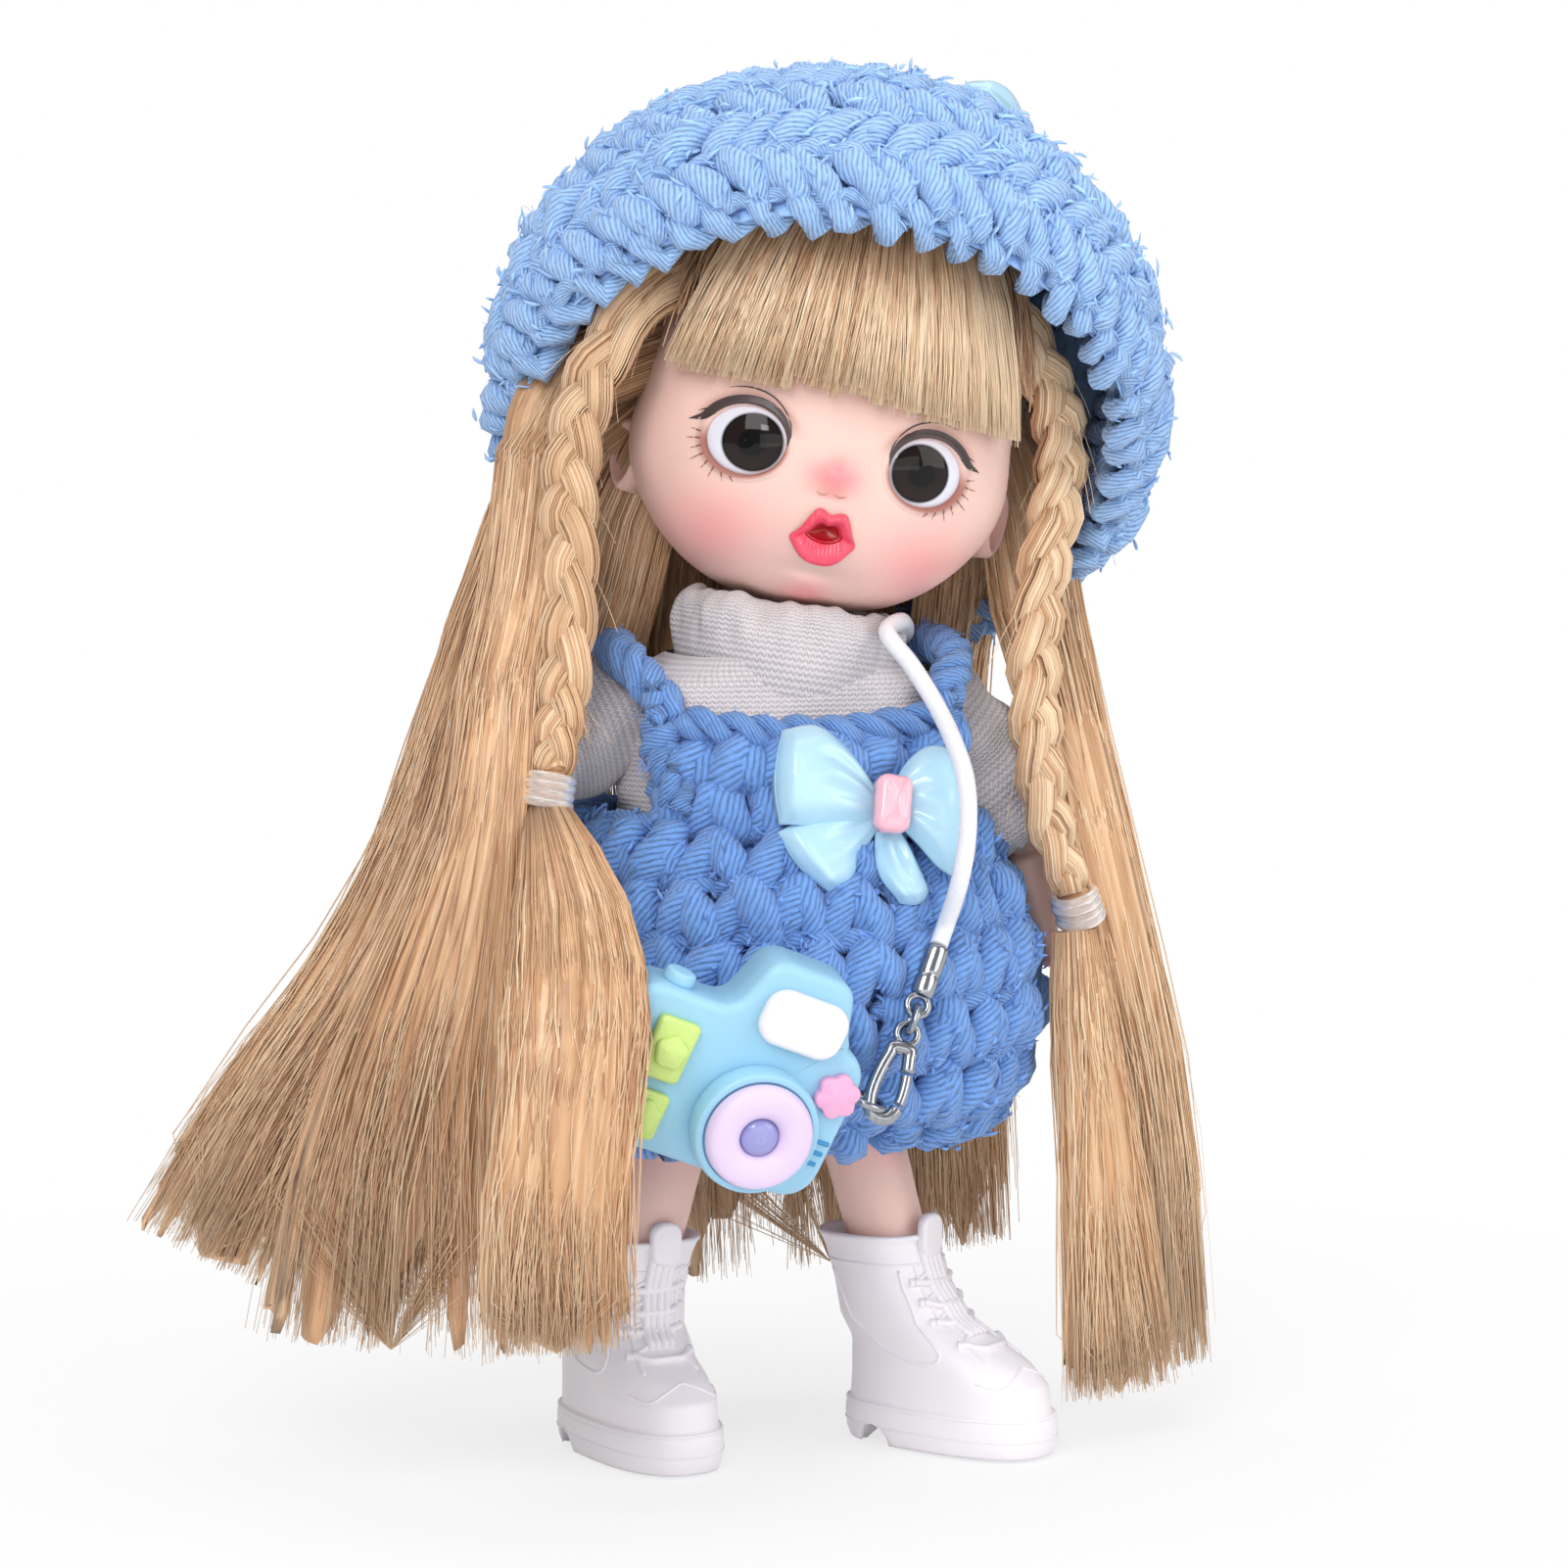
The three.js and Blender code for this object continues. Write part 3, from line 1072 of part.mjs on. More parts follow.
function makeCamera() {
  const at = (x, z, shape) => shape.translate([x, cameraFront - CLEARANCE, z - LUG_HEIGHT]);
  addPiece(cameraFrame, "camera_body", cameraShape(), paleBlue, 0.2);

  const ringFront = BARREL_LENGTH + CLEARANCE + LENS_RING_LENGTH;
  const ringProfile = [
    [LENS_HOLE_RADIUS + PIN_CLEARANCE, 0],
    [LENS_RING_RADIUS, 0],
    [LENS_RING_RADIUS, LENS_RING_LENGTH - 0.6],
    [LENS_RING_RADIUS - 0.8, LENS_RING_LENGTH],
    [LENS_HOLE_RADIUS + 0.9, LENS_RING_LENGTH],
    [LENS_HOLE_RADIUS + PIN_CLEARANCE, LENS_RING_LENGTH - 0.6],
    [LENS_HOLE_RADIUS + PIN_CLEARANCE, 0],
  ].map(([radius, height]) => new THREE.Vector2(radius, height));
  const lensRing = solid(new THREE.LatheGeometry(ringProfile, 16).rotateX(Math.PI))
    .translate([LENS_X, cameraFront - BARREL_LENGTH - CLEARANCE, -LENS_DROP - LUG_HEIGHT]);
  addPiece(cameraFrame, "lens_ring", lensRing, lilac, 0.2);
  const ringBack = BARREL_LENGTH + CLEARANCE;
  const glass = bar("y", LENS_HOLE_RADIUS, cameraFront - ringFront + 1, cameraFront - ringBack, 14)
    .translate([LENS_X, 0, -LENS_DROP - LUG_HEIGHT]);
  addPiece(cameraFrame, "lens_glass", glass, lensBlue, 0.15);

  const star = plate(petals(STAR_RADIUS, 0.22, 5), 0.9, 0, 1).translate([0, -BUTTON_HEIGHT - 0.6, 0]);
  for (const { name, x, z, height } of GREEN_BUTTONS) {
    const button = plate(roundedRectangle(BUTTON_WIDTH, height, 0.9), BUTTON_HEIGHT, 0.35, 2)
      .translate([0, -BUTTON_HEIGHT, 0]);
    addPiece(cameraFrame, name, at(x, z, button.add(star)), green, 0.2);
  }
  const flower = plate(petals(FLOWER_RADIUS, 0.15, 5), BUTTON_HEIGHT, 0.3, 1)
    .translate([0, -BUTTON_HEIGHT, 0]);
  addPiece(cameraFrame, "flower_button", at(...FLOWER_PLACE, flower), pink, 0.2);
  const window = plate(roundedRectangle(WINDOW_WIDTH, WINDOW_HEIGHT, 2.4), WINDOW_THICKNESS, 0.6, 3)
    .translate([0, -WINDOW_THICKNESS, 0]);
  addPiece(cameraFrame, "flash_window", at(...WINDOW_PLACE, window), bootWhite, 0.2);
  const shutter = bar("z", SHUTTER_RADIUS, 0, SHUTTER_HEIGHT, 14)
    .translate([SHUTTER_X, 0, CAMERA_HEIGHT / 2 + CLEARANCE - LUG_HEIGHT]);
  addPiece(cameraFrame, "shutter_button", shutter, paleBlue, 0.2);
  for (const [side, sign] of [["right", -1], ["left", 1]]) {
    const ring = ringOf(RING_RADIUS, RING_WIRE).rotate([90, 0, 0]).translate([sign * ringX, 0, 0]);
    addPiece(cameraFrame, `${side}_lug_ring`, ring, steel, 0.25, 1);
  }
}
makeCamera();

// Cord ends: a steel tube with an eye, and on the left a lobster clasp and a jump ring below it
const linkStep = 2 * RING_WIRE + LINK_PLAY;
const hookPoint = (sign) => cameraFrame.localToWorld(new Vector3(sign * hookX, 0, 0)).toArray();
const claspFrame = frameIn(doll, "clasp_place", hookPoint(1), CLASP_LEAN);
const plainFrame = frameIn(doll, "plain_end_place", hookPoint(-1), PLAIN_END_LEAN);

// A steel tube whose eye has its lowest wire at the given height, and how high its open end is.
function cordEnd(low) {
  const eye = ringOf(EYE_RADIUS_OF_ENDS, RING_WIRE).translate([0, 0, low + EYE_RADIUS_OF_ENDS]);
  const start = low + 2 * EYE_RADIUS_OF_ENDS - RING_WIRE / 2;
  const tube = bar("z", CRIMP_DIAMETER / 2, start, start + CRIMP_LENGTH, 14);
  return { shape: eye.add(tube), top: start + CRIMP_LENGTH };
}

function claspOutline(grow) {
  const half = CLASP_WIDTH / 2 + grow;
  const shape = new THREE.Shape();
  const low = -RING_WIRE - 3 * LINK_PLAY - CLASP_WALL - grow;
  const high = CLASP_LENGTH - 2 * EYE_RADIUS_OF_ENDS - linkStep + grow;
  shape.moveTo(0, low);
  shape.bezierCurveTo(half * 1.3, low, half, high * 0.45, half * 0.45, high);
  shape.lineTo(-half * 0.45, high);
  shape.bezierCurveTo(-half, high * 0.45, -half * 1.3, low, 0, low);
  return shape;
}

function makeCordEnds() {
  const half = CLASP_THICKNESS / 2;
  const loop = plate(claspOutline(0), CLASP_THICKNESS, 0, 8).translate([0, -half, 0]);
  const hole = plate(claspOutline(-CLASP_WALL), CLASP_THICKNESS + 2, 0, 8).translate([0, -half - 1, 0]);
  const gateOf = (length) =>
    block(CLASP_WIDTH, 4, length).translate([CLASP_WIDTH / 2 + 0.4, 0, GATE_LENGTH / 2 + 0.5]);
  const claw = loop.subtract(hole);
  const eyeLow = CLASP_LENGTH - 2 * EYE_RADIUS_OF_ENDS - linkStep - 0.3;
  const eye = ringOf(EYE_RADIUS_OF_ENDS, RING_WIRE).translate([0, 0, eyeLow + EYE_RADIUS_OF_ENDS]);
  addPiece(claspFrame, "clasp_body", largest(claw.subtract(gateOf(GATE_LENGTH)).add(eye)), steel, 0.25, 1);
  const lever = largest(claw.intersect(gateOf(GATE_LENGTH - 2 * CLEARANCE)));
  addPiece(claspFrame, "clasp_lever", lever, steel, 0.25, 1);

  const jumpLow = eyeLow + 2 * EYE_RADIUS_OF_ENDS - linkStep;
  const jump = ringOf(JUMP_RING_RADIUS, RING_WIRE)
    .rotate([0, 0, 90])
    .translate([0, 0, jumpLow + JUMP_RING_RADIUS]);
  addPiece(claspFrame, "clasp_jump_ring", jump, steel, 0.25, 1);
  const upper = cordEnd(jumpLow + 2 * JUMP_RING_RADIUS - linkStep);
  addPiece(claspFrame, "clasp_cord_end", upper.shape, steel, 0.25, 1);
  const plain = cordEnd(-linkStep);
  addPiece(plainFrame, "plain_cord_end", plain.shape, steel, 0.25, 1);
  return [
    claspFrame.localToWorld(new Vector3(0, 0, upper.top + CLEARANCE)),
    claspFrame.localToWorld(new Vector3(0, 0, upper.top + 3)),
    plainFrame.localToWorld(new Vector3(0, 0, plain.top + 3)),
    plainFrame.localToWorld(new Vector3(0, 0, plain.top + CLEARANCE)),
  ];
}
const [cordStart, cordRise, cordFall, cordFinish] = makeCordEnds();

// The cord runs up the front, over the left shoulder, across the back and round the right hip.
const CORD_ROUTE = [
  [14.9, -28, 72.6],
  [15.6, -28.7, 78.4],
  [15.6, -28.2, 84.2],
  [15.3, -24.5, 88.6],
  [14.3, -20.4, 92.9],
  [12, -18, 97.5],
  [9.6, -15.6, 101.4],
  [13.2, -9.6, 102.4],
  [16.1, -1, 100.2],
  [15.2, 7, 98.4],
  [11.5, 13.4, 95.4],
  [5, 18, 91],
  [-4, 20.8, 87.6],
  [-13, 19.8, 84.4],
  [-21.5, 14.5, 80.6],
  [-27.5, 6, 76.6],
  [-30.2, -4, 74.8],
  [-30.4, -14, 74.2],
].map((point) => new Vector3(...point));
const cordCurve = new THREE.CatmullRomCurve3([cordStart, cordRise, ...CORD_ROUTE, cordFall, cordFinish]);

function cordShape(grow = 0) {
  const sides = 8;
  const round = new THREE.Shape(
    Array.from({ length: sides }, (_, k) => {
      const angle = (2 * Math.PI * k) / sides;
      const radius = CORD_DIAMETER / 2 + grow;
      return new THREE.Vector2(radius * Math.cos(angle), radius * Math.sin(angle));
    }),
  );
  return solid(
    new THREE.ExtrudeGeometry(round, { steps: 40, bevelEnabled: false, extrudePath: cordCurve }),
  );
}
addPiece(doll, "camera_strap", cordShape(), bootWhite, 0.4);

// Loose hair: locks that hang from the head and keep clear of what they pass
const LOCKS = [
  {
    name: "right_braid",
    path: [[-14, -12, 140], [-20.5, -9, 133], [-25.8, -9, 120], [-27.6, -11, 110], [-29.4, -14, 100],
      [-31, -16.4, 92], [-32.2, -17.4, 85.8]],
    facing: [-0.5, -1, 0],
    widths: [3, 3, 3.2, 2.5, 3.2, 2.5, 3.2, 2.5, 3.2, 2.5, 3.2, 2.5, 2.6],
    depths: [2.2, 2.4],
    steps: 24,
    sides: 6,
  },
  {
    name: "left_braid",
    path: [[20, -12, 139], [27.5, -8, 131], [30.2, -8, 118], [30.8, -9.5, 104], [32, -10, 92],
      [34, -10.4, 79], [35, -10.6, 69]],
    facing: [0.4, -1, 0],
    widths: [3, 3, 3.2, 2.5, 3.2, 2.5, 3.2, 2.5, 3.2, 2.5, 3.2, 2.5, 2.6],
    depths: [2.2, 2.4],
    steps: 24,
    sides: 6,
  },
  {
    name: "right_braid_tail",
    path: [[-32.9, -18.2, 80.8], [-35.2, -26.5, 71], [-36.6, -37, 61], [-37.4, -42, 49], [-38, -43.4, 36],
      [-38, -43.4, RIGHT_HAIR_END]],
    facing: [-0.2, -1, 0],
    widths: [2.8, 4, 5.6, 7, 8.6, 9.8],
    depths: [2.4, 2.6, 2.6, 2.6, 2.6, 2.4],
  },
  {
    name: "left_braid_tail",
    path: [[35.3, -10.8, 64], [36, -11.6, 54], [38.2, -12, 35], [41, -12, LEFT_HAIR_END]],
    facing: [0.1, -1, 0],
    widths: [2.8, 4, 6, 8.6],
    depths: [2.4, 2.8, 2.8, 2.6],
  },
  {
    name: "right_side_hair",
    path: [[-13, -6, 140], [-23.5, -3.5, 130], [-31, -7, 113], [-37.6, -14, 96], [-41, -16.5, 78],
      [-46, -17.5, 59], [-50, -18, 40], [-52, -18, RIGHT_HAIR_END]],
    facing: [-0.45, -1, 0],
    widths: [5, 5, 4.6, 5.4, 7.5, 11, 15, 18],
    depths: [2.4, 2.4, 2.4, 2.4, 2.6, 3, 3.4, 3],
    steps: 14,
  },
  {
    name: "right_outer_hair",
    path: [[-12, 8, 134], [-25, 10, 122], [-33, 12, 104], [-39, 13, 88], [-46, 11, 73], [-56, 7, 57],
      [-65, 5, 42], [-71, 4, 29]],
    facing: [-0.5, -1, 0.2],
    widths: [5, 5, 4.6, 5, 6, 7.5, 9.4, 11],
    depths: [2.6, 2.6, 2.4, 2.4, 2.6, 2.6, 2.6, 2.4],
    steps: 14,
  },
  {
    name: "left_side_hair",
    path: [[24, 5, 137], [29.5, 4, 122], [31, 3, 110], [35.4, 6.5, 98], [41.5, 10, 83], [46.5, 8, 66],
      [49.6, 5, 50], [51, 2, 34], [52, 1, LEFT_HAIR_END + 2]],
    facing: [0.4, -1, 0],
    widths: [4.6, 4.6, 4.6, 5, 5.4, 6, 6.6, 7.4, 8],
    depths: [2.6, 2.6, 2.6, 2.6, 2.6, 2.8, 2.8, 2.8, 2.4],
    steps: 14,
  },
  {
    name: "right_inner_hair",
    path: [[-13, 6, 124], [-17, 9.5, 112], [-18, 12.5, 103], [-20, 18.5, 94.5], [-21.5, 25, 82],
      [-19, 30, 64], [-13, 32, 42], [-9, 31.5, BACK_HAIR_END + 3]],
    facing: [-0.3, -1, 0],
    widths: [5, 6, 5.5, 6, 7, 8, 9, 9.5],
    depths: [2.4, 2.4],
    steps: 14,
  },
  {
    name: "left_inner_hair",
    path: [[24, 4, 126], [28, 7.5, 113], [28.5, 10.5, 103.5], [28.5, 17, 95], [29, 25, 82], [31, 30.5, 64],
      [33.5, 32, 42], [34.5, 31.5, BACK_HAIR_END + 1]],
    facing: [0.3, -1, 0],
    widths: [4, 4.5, 4.5, 5.5, 7, 8, 8.5, 8.5],
    depths: [2.4, 2.4],
    steps: 14,
  },
  {
    name: "back_hair",
    path: [[6, 18, 128], [5, 20.4, 110], [4.6, 21.4, 98], [6, 25, 86], [9.6, 31.4, 66], [13.4, 32, 44],
      [16, 31, BACK_HAIR_END]],
    facing: [0, -1, 0],
    widths: [15, 15, 14, 16, 20, 24, 26],
    depths: [3, 2.6, 2.2, 2.6, 3, 3, 2.4],
    steps: 10,
    sides: 12,
  },
];

function hairRooms() {
  const grow = SOFT_CLEARANCE;
  const onHead = joined(headShape(BANGS_THICKNESS + grow), earShape(-1, grow), earShape(1, grow));
  const rooms = [
    inDoll(onHead, skull),
    inDoll(hatShape(grow), hatFrame),
    inDoll(collarShape(grow), neckFrame),
    bibRoom(grow),
    skirtShape(grow),
    cordShape(grow),
    inDoll(cameraRoom(grow), cameraFrame),
    inDoll(bar("z", CRIMP_DIAMETER / 2 + grow, -2 * EYE_RADIUS_OF_ENDS, CRIMP_LENGTH + 6), plainFrame),
  ];
  for (const { side, sign } of ARMS) {
    rooms.push(sleeveRoom(side, grow));
    rooms.push(inDoll(upperArmShape(grow), armFrames[side]));
    rooms.push(inDoll(forearmShape(sign, grow), elbowFrames[side]));
  }
  return joined(...rooms);
}

function makeLocks() {
  let room = hairRooms();
  for (const one of LOCKS) {
    addPiece(doll, one.name, largest(lock(one).subtract(room)), hair, 0.55);
    room = room.add(lock(one, SOFT_CLEARANCE));
  }
  const pathOf = (name) => LOCKS.find((one) => one.name === name).path;
  for (const side of ["right", "left"]) {
    const braidEnd = new Vector3(...pathOf(`${side}_braid`).at(-1));
    const tailStart = new Vector3(...pathOf(`${side}_braid_tail`)[0]);
    const tie = bar("z", TIE_RADIUS, -TIE_HEIGHT / 2, TIE_HEIGHT / 2, 14)
      .translate(braidEnd.lerp(tailStart, 0.5).toArray());
    addPiece(doll, `${side}_braid_tie`, largest(tie.subtract(room)), bootWhite, 0.2);
  }
}
makeLocks();

// The doll stands with the middle of its box, measured without the cord, over the origin.
const CORD_PIECES = [
  "camera_strap",
  "clasp_cord_end",
  "plain_cord_end",
  "clasp_jump_ring",
  "clasp_body",
  "clasp_lever",
];
const extent = new THREE.Box3();
doll.traverse((piece) => {
  if (piece.isMesh && !CORD_PIECES.includes(piece.name)) extent.expandByObject(piece, true);
});
const middle = extent.getCenter(new Vector3());
doll.position.set(-middle.x, -middle.y, -extent.min.z);
doll.updateMatrixWorld(true);

export default doll;
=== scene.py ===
"""The visible surfaces of a jointed doll in crocheted clothes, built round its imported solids.

Lengths are millimetres in the row frame until a piece is made.
The doll faces -Y, +Z is up and its right is at -X.
"""
import json
import math

import bpy
import numpy as np
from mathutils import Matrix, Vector


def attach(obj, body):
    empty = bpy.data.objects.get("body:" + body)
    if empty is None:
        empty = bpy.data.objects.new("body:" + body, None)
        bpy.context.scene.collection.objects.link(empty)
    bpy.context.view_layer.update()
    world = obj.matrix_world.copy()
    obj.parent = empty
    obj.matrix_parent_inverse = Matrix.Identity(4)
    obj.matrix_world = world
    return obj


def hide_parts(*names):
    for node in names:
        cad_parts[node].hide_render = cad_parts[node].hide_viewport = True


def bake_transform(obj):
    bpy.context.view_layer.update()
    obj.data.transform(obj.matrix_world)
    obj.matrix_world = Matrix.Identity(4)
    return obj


bl_info = {
    "name": "Doll in crochet clothes",
    "version": (1, 0, 0),
    "blender": (4, 5, 0),
    "location": "3D View > Sidebar > Doll",
    "description": "Builds the doll's skin, hair, yarn, resin and steel surfaces round the packed solids",
    "category": "Object",
}

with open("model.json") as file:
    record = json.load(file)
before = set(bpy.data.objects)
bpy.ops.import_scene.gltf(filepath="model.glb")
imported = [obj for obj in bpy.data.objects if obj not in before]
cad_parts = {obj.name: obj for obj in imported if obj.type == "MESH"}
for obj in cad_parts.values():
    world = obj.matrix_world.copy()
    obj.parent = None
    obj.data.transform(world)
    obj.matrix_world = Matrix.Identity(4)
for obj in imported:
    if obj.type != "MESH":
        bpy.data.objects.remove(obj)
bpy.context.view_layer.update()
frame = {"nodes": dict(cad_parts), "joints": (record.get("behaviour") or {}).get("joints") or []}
MM = 0.001
TURN = 2 * math.pi
SIDES = {"right": -1, "left": 1}


# Values shared with the solids

IMAGE_SIZE = 1601
CAMERA_AZIMUTH = -15.5
CAMERA_ELEVATION = 5
CAMERA_DISTANCE = 600
PIXELS_PER_MM = 8.3
AXIS_PIXEL = (792, 776)
TARGET_HEIGHT = 85

HEAD_FORWARD = 1
HEAD_ASIDE = 0.25
HEAD_RAISE = 0.3
HEAD_ABOVE_BALL = 13.5
HEAD_HALF_WIDTH = 21.6
FACE_DEPTH = 21
FACE_FLATNESS = 0.85
BACK_DEPTH = 26
CROWN_HEIGHT = 33
CHIN_DEPTH = 23
CHEEK_FULLNESS = 0.06
CHEEK_SWELL = 0.8
JAW_SQUARE = 2.4
HEAD_ROLL = 1.4
EYE_X = 11
EYE_DROP = 4.5
EAR_DROP = 8.3
EAR_BACK = 2.5
EAR_HEIGHT = 9.6
NOSE_DROP = 6.8
LIPS_DROP = 14
BANGS_HEIGHT = 3.5
BANGS_SLOPE = 0.09
HAIR_THICKNESS = 3.2

HAT_RADIUS = 42.1
HAT_THICKNESS = 5.5
HAT_BRIM_DROP = 11.4
HAT_BACK = 5
HAT_UP = 4.5
HAT_BOW_WIDTH = 20
HAT_BOW_PLACE = (10.5, -15.5)

ANKLE_HEIGHT = 12
HIP_RADIUS = 6.2
KNEE_RADIUS = 5.2
ANKLE_RADIUS = 3.9
BOOT_HEIGHT = 26
ARCH_HEIGHT = 2.6
ARCH_LENGTH = 4.5
ARCH_Y = 1.5
TOE_TURN = {"right": 15, "left": 38}

FOREARM_RADIUS = 2.9
WRIST_RADIUS = 2.5
FOREARM_LENGTH = 10.5
SLEEVE_RADIUS = 7.8
SLEEVE_MOUTH_RADIUS = 7
SLEEVE_WALL = 1.2
SWEATER_HALF_WIDTH = 19.6
SWEATER_HALF_DEPTH = 14.4
COLLAR_RADIUS = 12.6
SHOULDER_ABOVE_HIP = 36.5
TORSO_HEIGHT = 42.5
WAIST_ABOVE_HIP = 24
SKIRT_LENGTH = 36
YARN_THICKNESS = 4.4
SOFT_CLEARANCE = 0.5
BIB_HALF_WIDTH = 14.5
BIB_HEIGHT = 10
BACK_STRAP_X = 8

CHEST_BOW_WIDTH = 23
CHEST_BOW_X = 7.5
CHEST_BOW_RISE = 2.7
CHEST_BOW_PITCH = 14
CHEST_BOW_ROLL = -8
BOW_THICKNESS = 3.2

CAMERA_WIDTH = 31.5
CAMERA_HEIGHT = 19.5
CAMERA_THICKNESS = 7
CAMERA_CORNER = 4
PRISM_WIDTH = 15
PRISM_HEIGHT = 7.4
PRISM_SLOPE = 1.6
PRISM_CORNER = 2.4
PRISM_X = 4.6
LENS_X = 4.8
LENS_DROP = 2.3
BARREL_RADIUS = 7.6
BARREL_LENGTH = 3.6
LENS_RING_RADIUS = 6.4
LENS_RING_LENGTH = 2
LENS_HOLE_RADIUS = 2.3
LUG_HEIGHT = 4
LUG_REACH = 0.9
BUTTON_HEIGHT = 1.4
RING_RADIUS = 2
RING_WIRE = 0.45
CORD_DIAMETER = 2.2


def unit(vectors):
    """Vectors scaled to length one."""
    return vectors / np.maximum(np.linalg.norm(vectors, axis=-1, keepdims=True), 1e-9)


def matched(*values):
    """Values as arrays of numbers that share one shape."""
    return np.broadcast_arrays(*(np.asarray(value, float) for value in values))


def even_angles(count):
    """Angles spaced evenly round a circle."""
    return TURN * np.arange(count) / count


def hill(values, middle, spread):
    """A smooth hill of height one at a middle, which falls off over a spread."""
    return np.exp(-(((values - middle) / spread) ** 2))


def gaps_along(path):
    """The distances between a path's points."""
    return np.linalg.norm(np.diff(path, axis=0), axis=1)


def run_along(path):
    """The distance along a path from its start to each of its points."""
    return np.concatenate([[0], np.cumsum(gaps_along(path))])


class Axes:
    """A frame: an origin in millimetres and three unit axes, given in the row frame."""

    def __init__(self, origin, x, z):
        self.origin = np.asarray(origin, float)
        x = unit(np.asarray(x, float))
        z = unit(np.asarray(z, float))
        self.turn = np.array([x, np.cross(z, x), z])

    def out(self, local):
        """Points of this frame, in the row frame."""
        return self.origin + np.asarray(local, float) @ self.turn

    def into(self, points):
        """Points of the row frame, in this frame."""
        return (np.asarray(points, float) - self.origin) @ self.turn.T

    def moved(self, local):
        """The same axes at another origin, given in this frame."""
        return Axes(self.out(local), self.turn[0], self.turn[2])

    def tipped(self, axis, degrees):
        """The same origin, turned about one of this frame's own axes."""
        angle = math.radians(degrees)
        a, b = [(1, 2), (2, 0), (0, 1)][axis]
        turn = self.turn.copy()
        turn[a] = math.cos(angle) * self.turn[a] + math.sin(angle) * self.turn[b]
        turn[b] = math.cos(angle) * self.turn[b] - math.sin(angle) * self.turn[a]
        return Axes(self.origin, turn[0], turn[2])


JOINTS = {joint["name"]: joint for joint in frame["joints"]}


def pivot(name):
    """Where a joint's axis is, in millimetres."""
    return np.array(JOINTS[name]["pos_m"]) / MM


def axis(name):
    """The way a joint's axis points."""
    return np.array(JOINTS[name]["axis"])


def node_points(name):
    """A CAD node's points, in millimetres."""
    mesh = frame["nodes"][name].data
    places = np.zeros(3 * len(mesh.vertices))
    mesh.vertices.foreach_get("co", places)
    return places.reshape(-1, 3) / MM


HIPS = (pivot("right_hip_swing") + pivot("left_hip_swing")) / 2
DOLL = Axes([HIPS[0], HIPS[1], 0], [1, 0, 0], [0, 0, 1])
HIP_Z = HIPS[2]
SHOULDER_Z = HIP_Z + SHOULDER_ABOVE_HIP
TORSO_TOP = HIP_Z + TORSO_HEIGHT
WAIST_Z = HIP_Z + WAIST_ABOVE_HIP
HEM_Z = WAIST_Z - SKIRT_LENGTH
NECK = Axes(pivot("neck_turn"), np.cross([0, 1, 0], axis("neck_turn")), axis("neck_turn"))
NOD = Axes(pivot("head_nod"), axis("head_nod"), axis("neck_turn"))
SKULL = NOD.moved([HEAD_ASIDE, -HEAD_FORWARD, HEAD_ABOVE_BALL + HEAD_RAISE]).tipped(1, HEAD_ROLL)
HAT = Axes(SKULL.out([0, HAT_BACK, HAT_UP]), axis("head_nod"), axis("hat_lift"))
HAT_TOP = HAT.into(node_points("hat"))[:, 2].max()
CAMERA_PITCH = 14
CAMERA_ROLL = 22
TOY = Axes(pivot("camera_swing"), [1, 0, 0], [0, 0, 1]).tipped(0, CAMERA_PITCH).tipped(1, CAMERA_ROLL)


# Sizes and colours that a user may change

def srgb(red, green, blue):
    """A colour of 0 to 255 per channel, as linear light."""
    shares = np.array([red, green, blue]) / 255
    return tuple(np.where(shares <= 0.04045, shares / 12.92, ((shares + 0.055) / 1.055) ** 2.4))


def length_property(name, description, default):
    """A length in millimetres that a user can change."""
    return bpy.props.FloatProperty(name=name, description=description, default=default, min=0.01)


def colour_property(name, description, default):
    """A colour that a user can change, given as 0 to 255 per channel."""
    return bpy.props.FloatVectorProperty(
        name=name, description=description, default=srgb(*default), subtype="COLOR", size=3, min=0, max=1
    )


class DollSizes(bpy.types.PropertyGroup):
    """Sizes of the yarn, the hair and the knit, in millimetres."""

    strand: length_property("Hair strand", "Radius of one strand of hair", 0.115)
    hat_row: length_property("Hat row", "Height of one row of the hat's stitches", 6.6)
    hat_stitch: length_property("Hat stitch", "Width of one of the hat's stitches", 4.3)
    hat_yarn: length_property("Hat yarn", "Radius of the hat's yarn", 1.95)
    dress_row: length_property("Dress row", "Height of one row of the skirt's stitches", 7.6)
    dress_stitch: length_property("Dress stitch", "Width of one of the skirt's stitches", 5.8)
    dress_yarn: length_property("Dress yarn", "Radius of the dress's yarn", 2.15)
    knit_stitch: length_property("Knit stitch", "Width of one stitch of the jumper", 0.72)
    hair_density: bpy.props.FloatProperty(
        name="Hair density", description="How many strands there are, as a share of the full count",
        default=1.35
    )


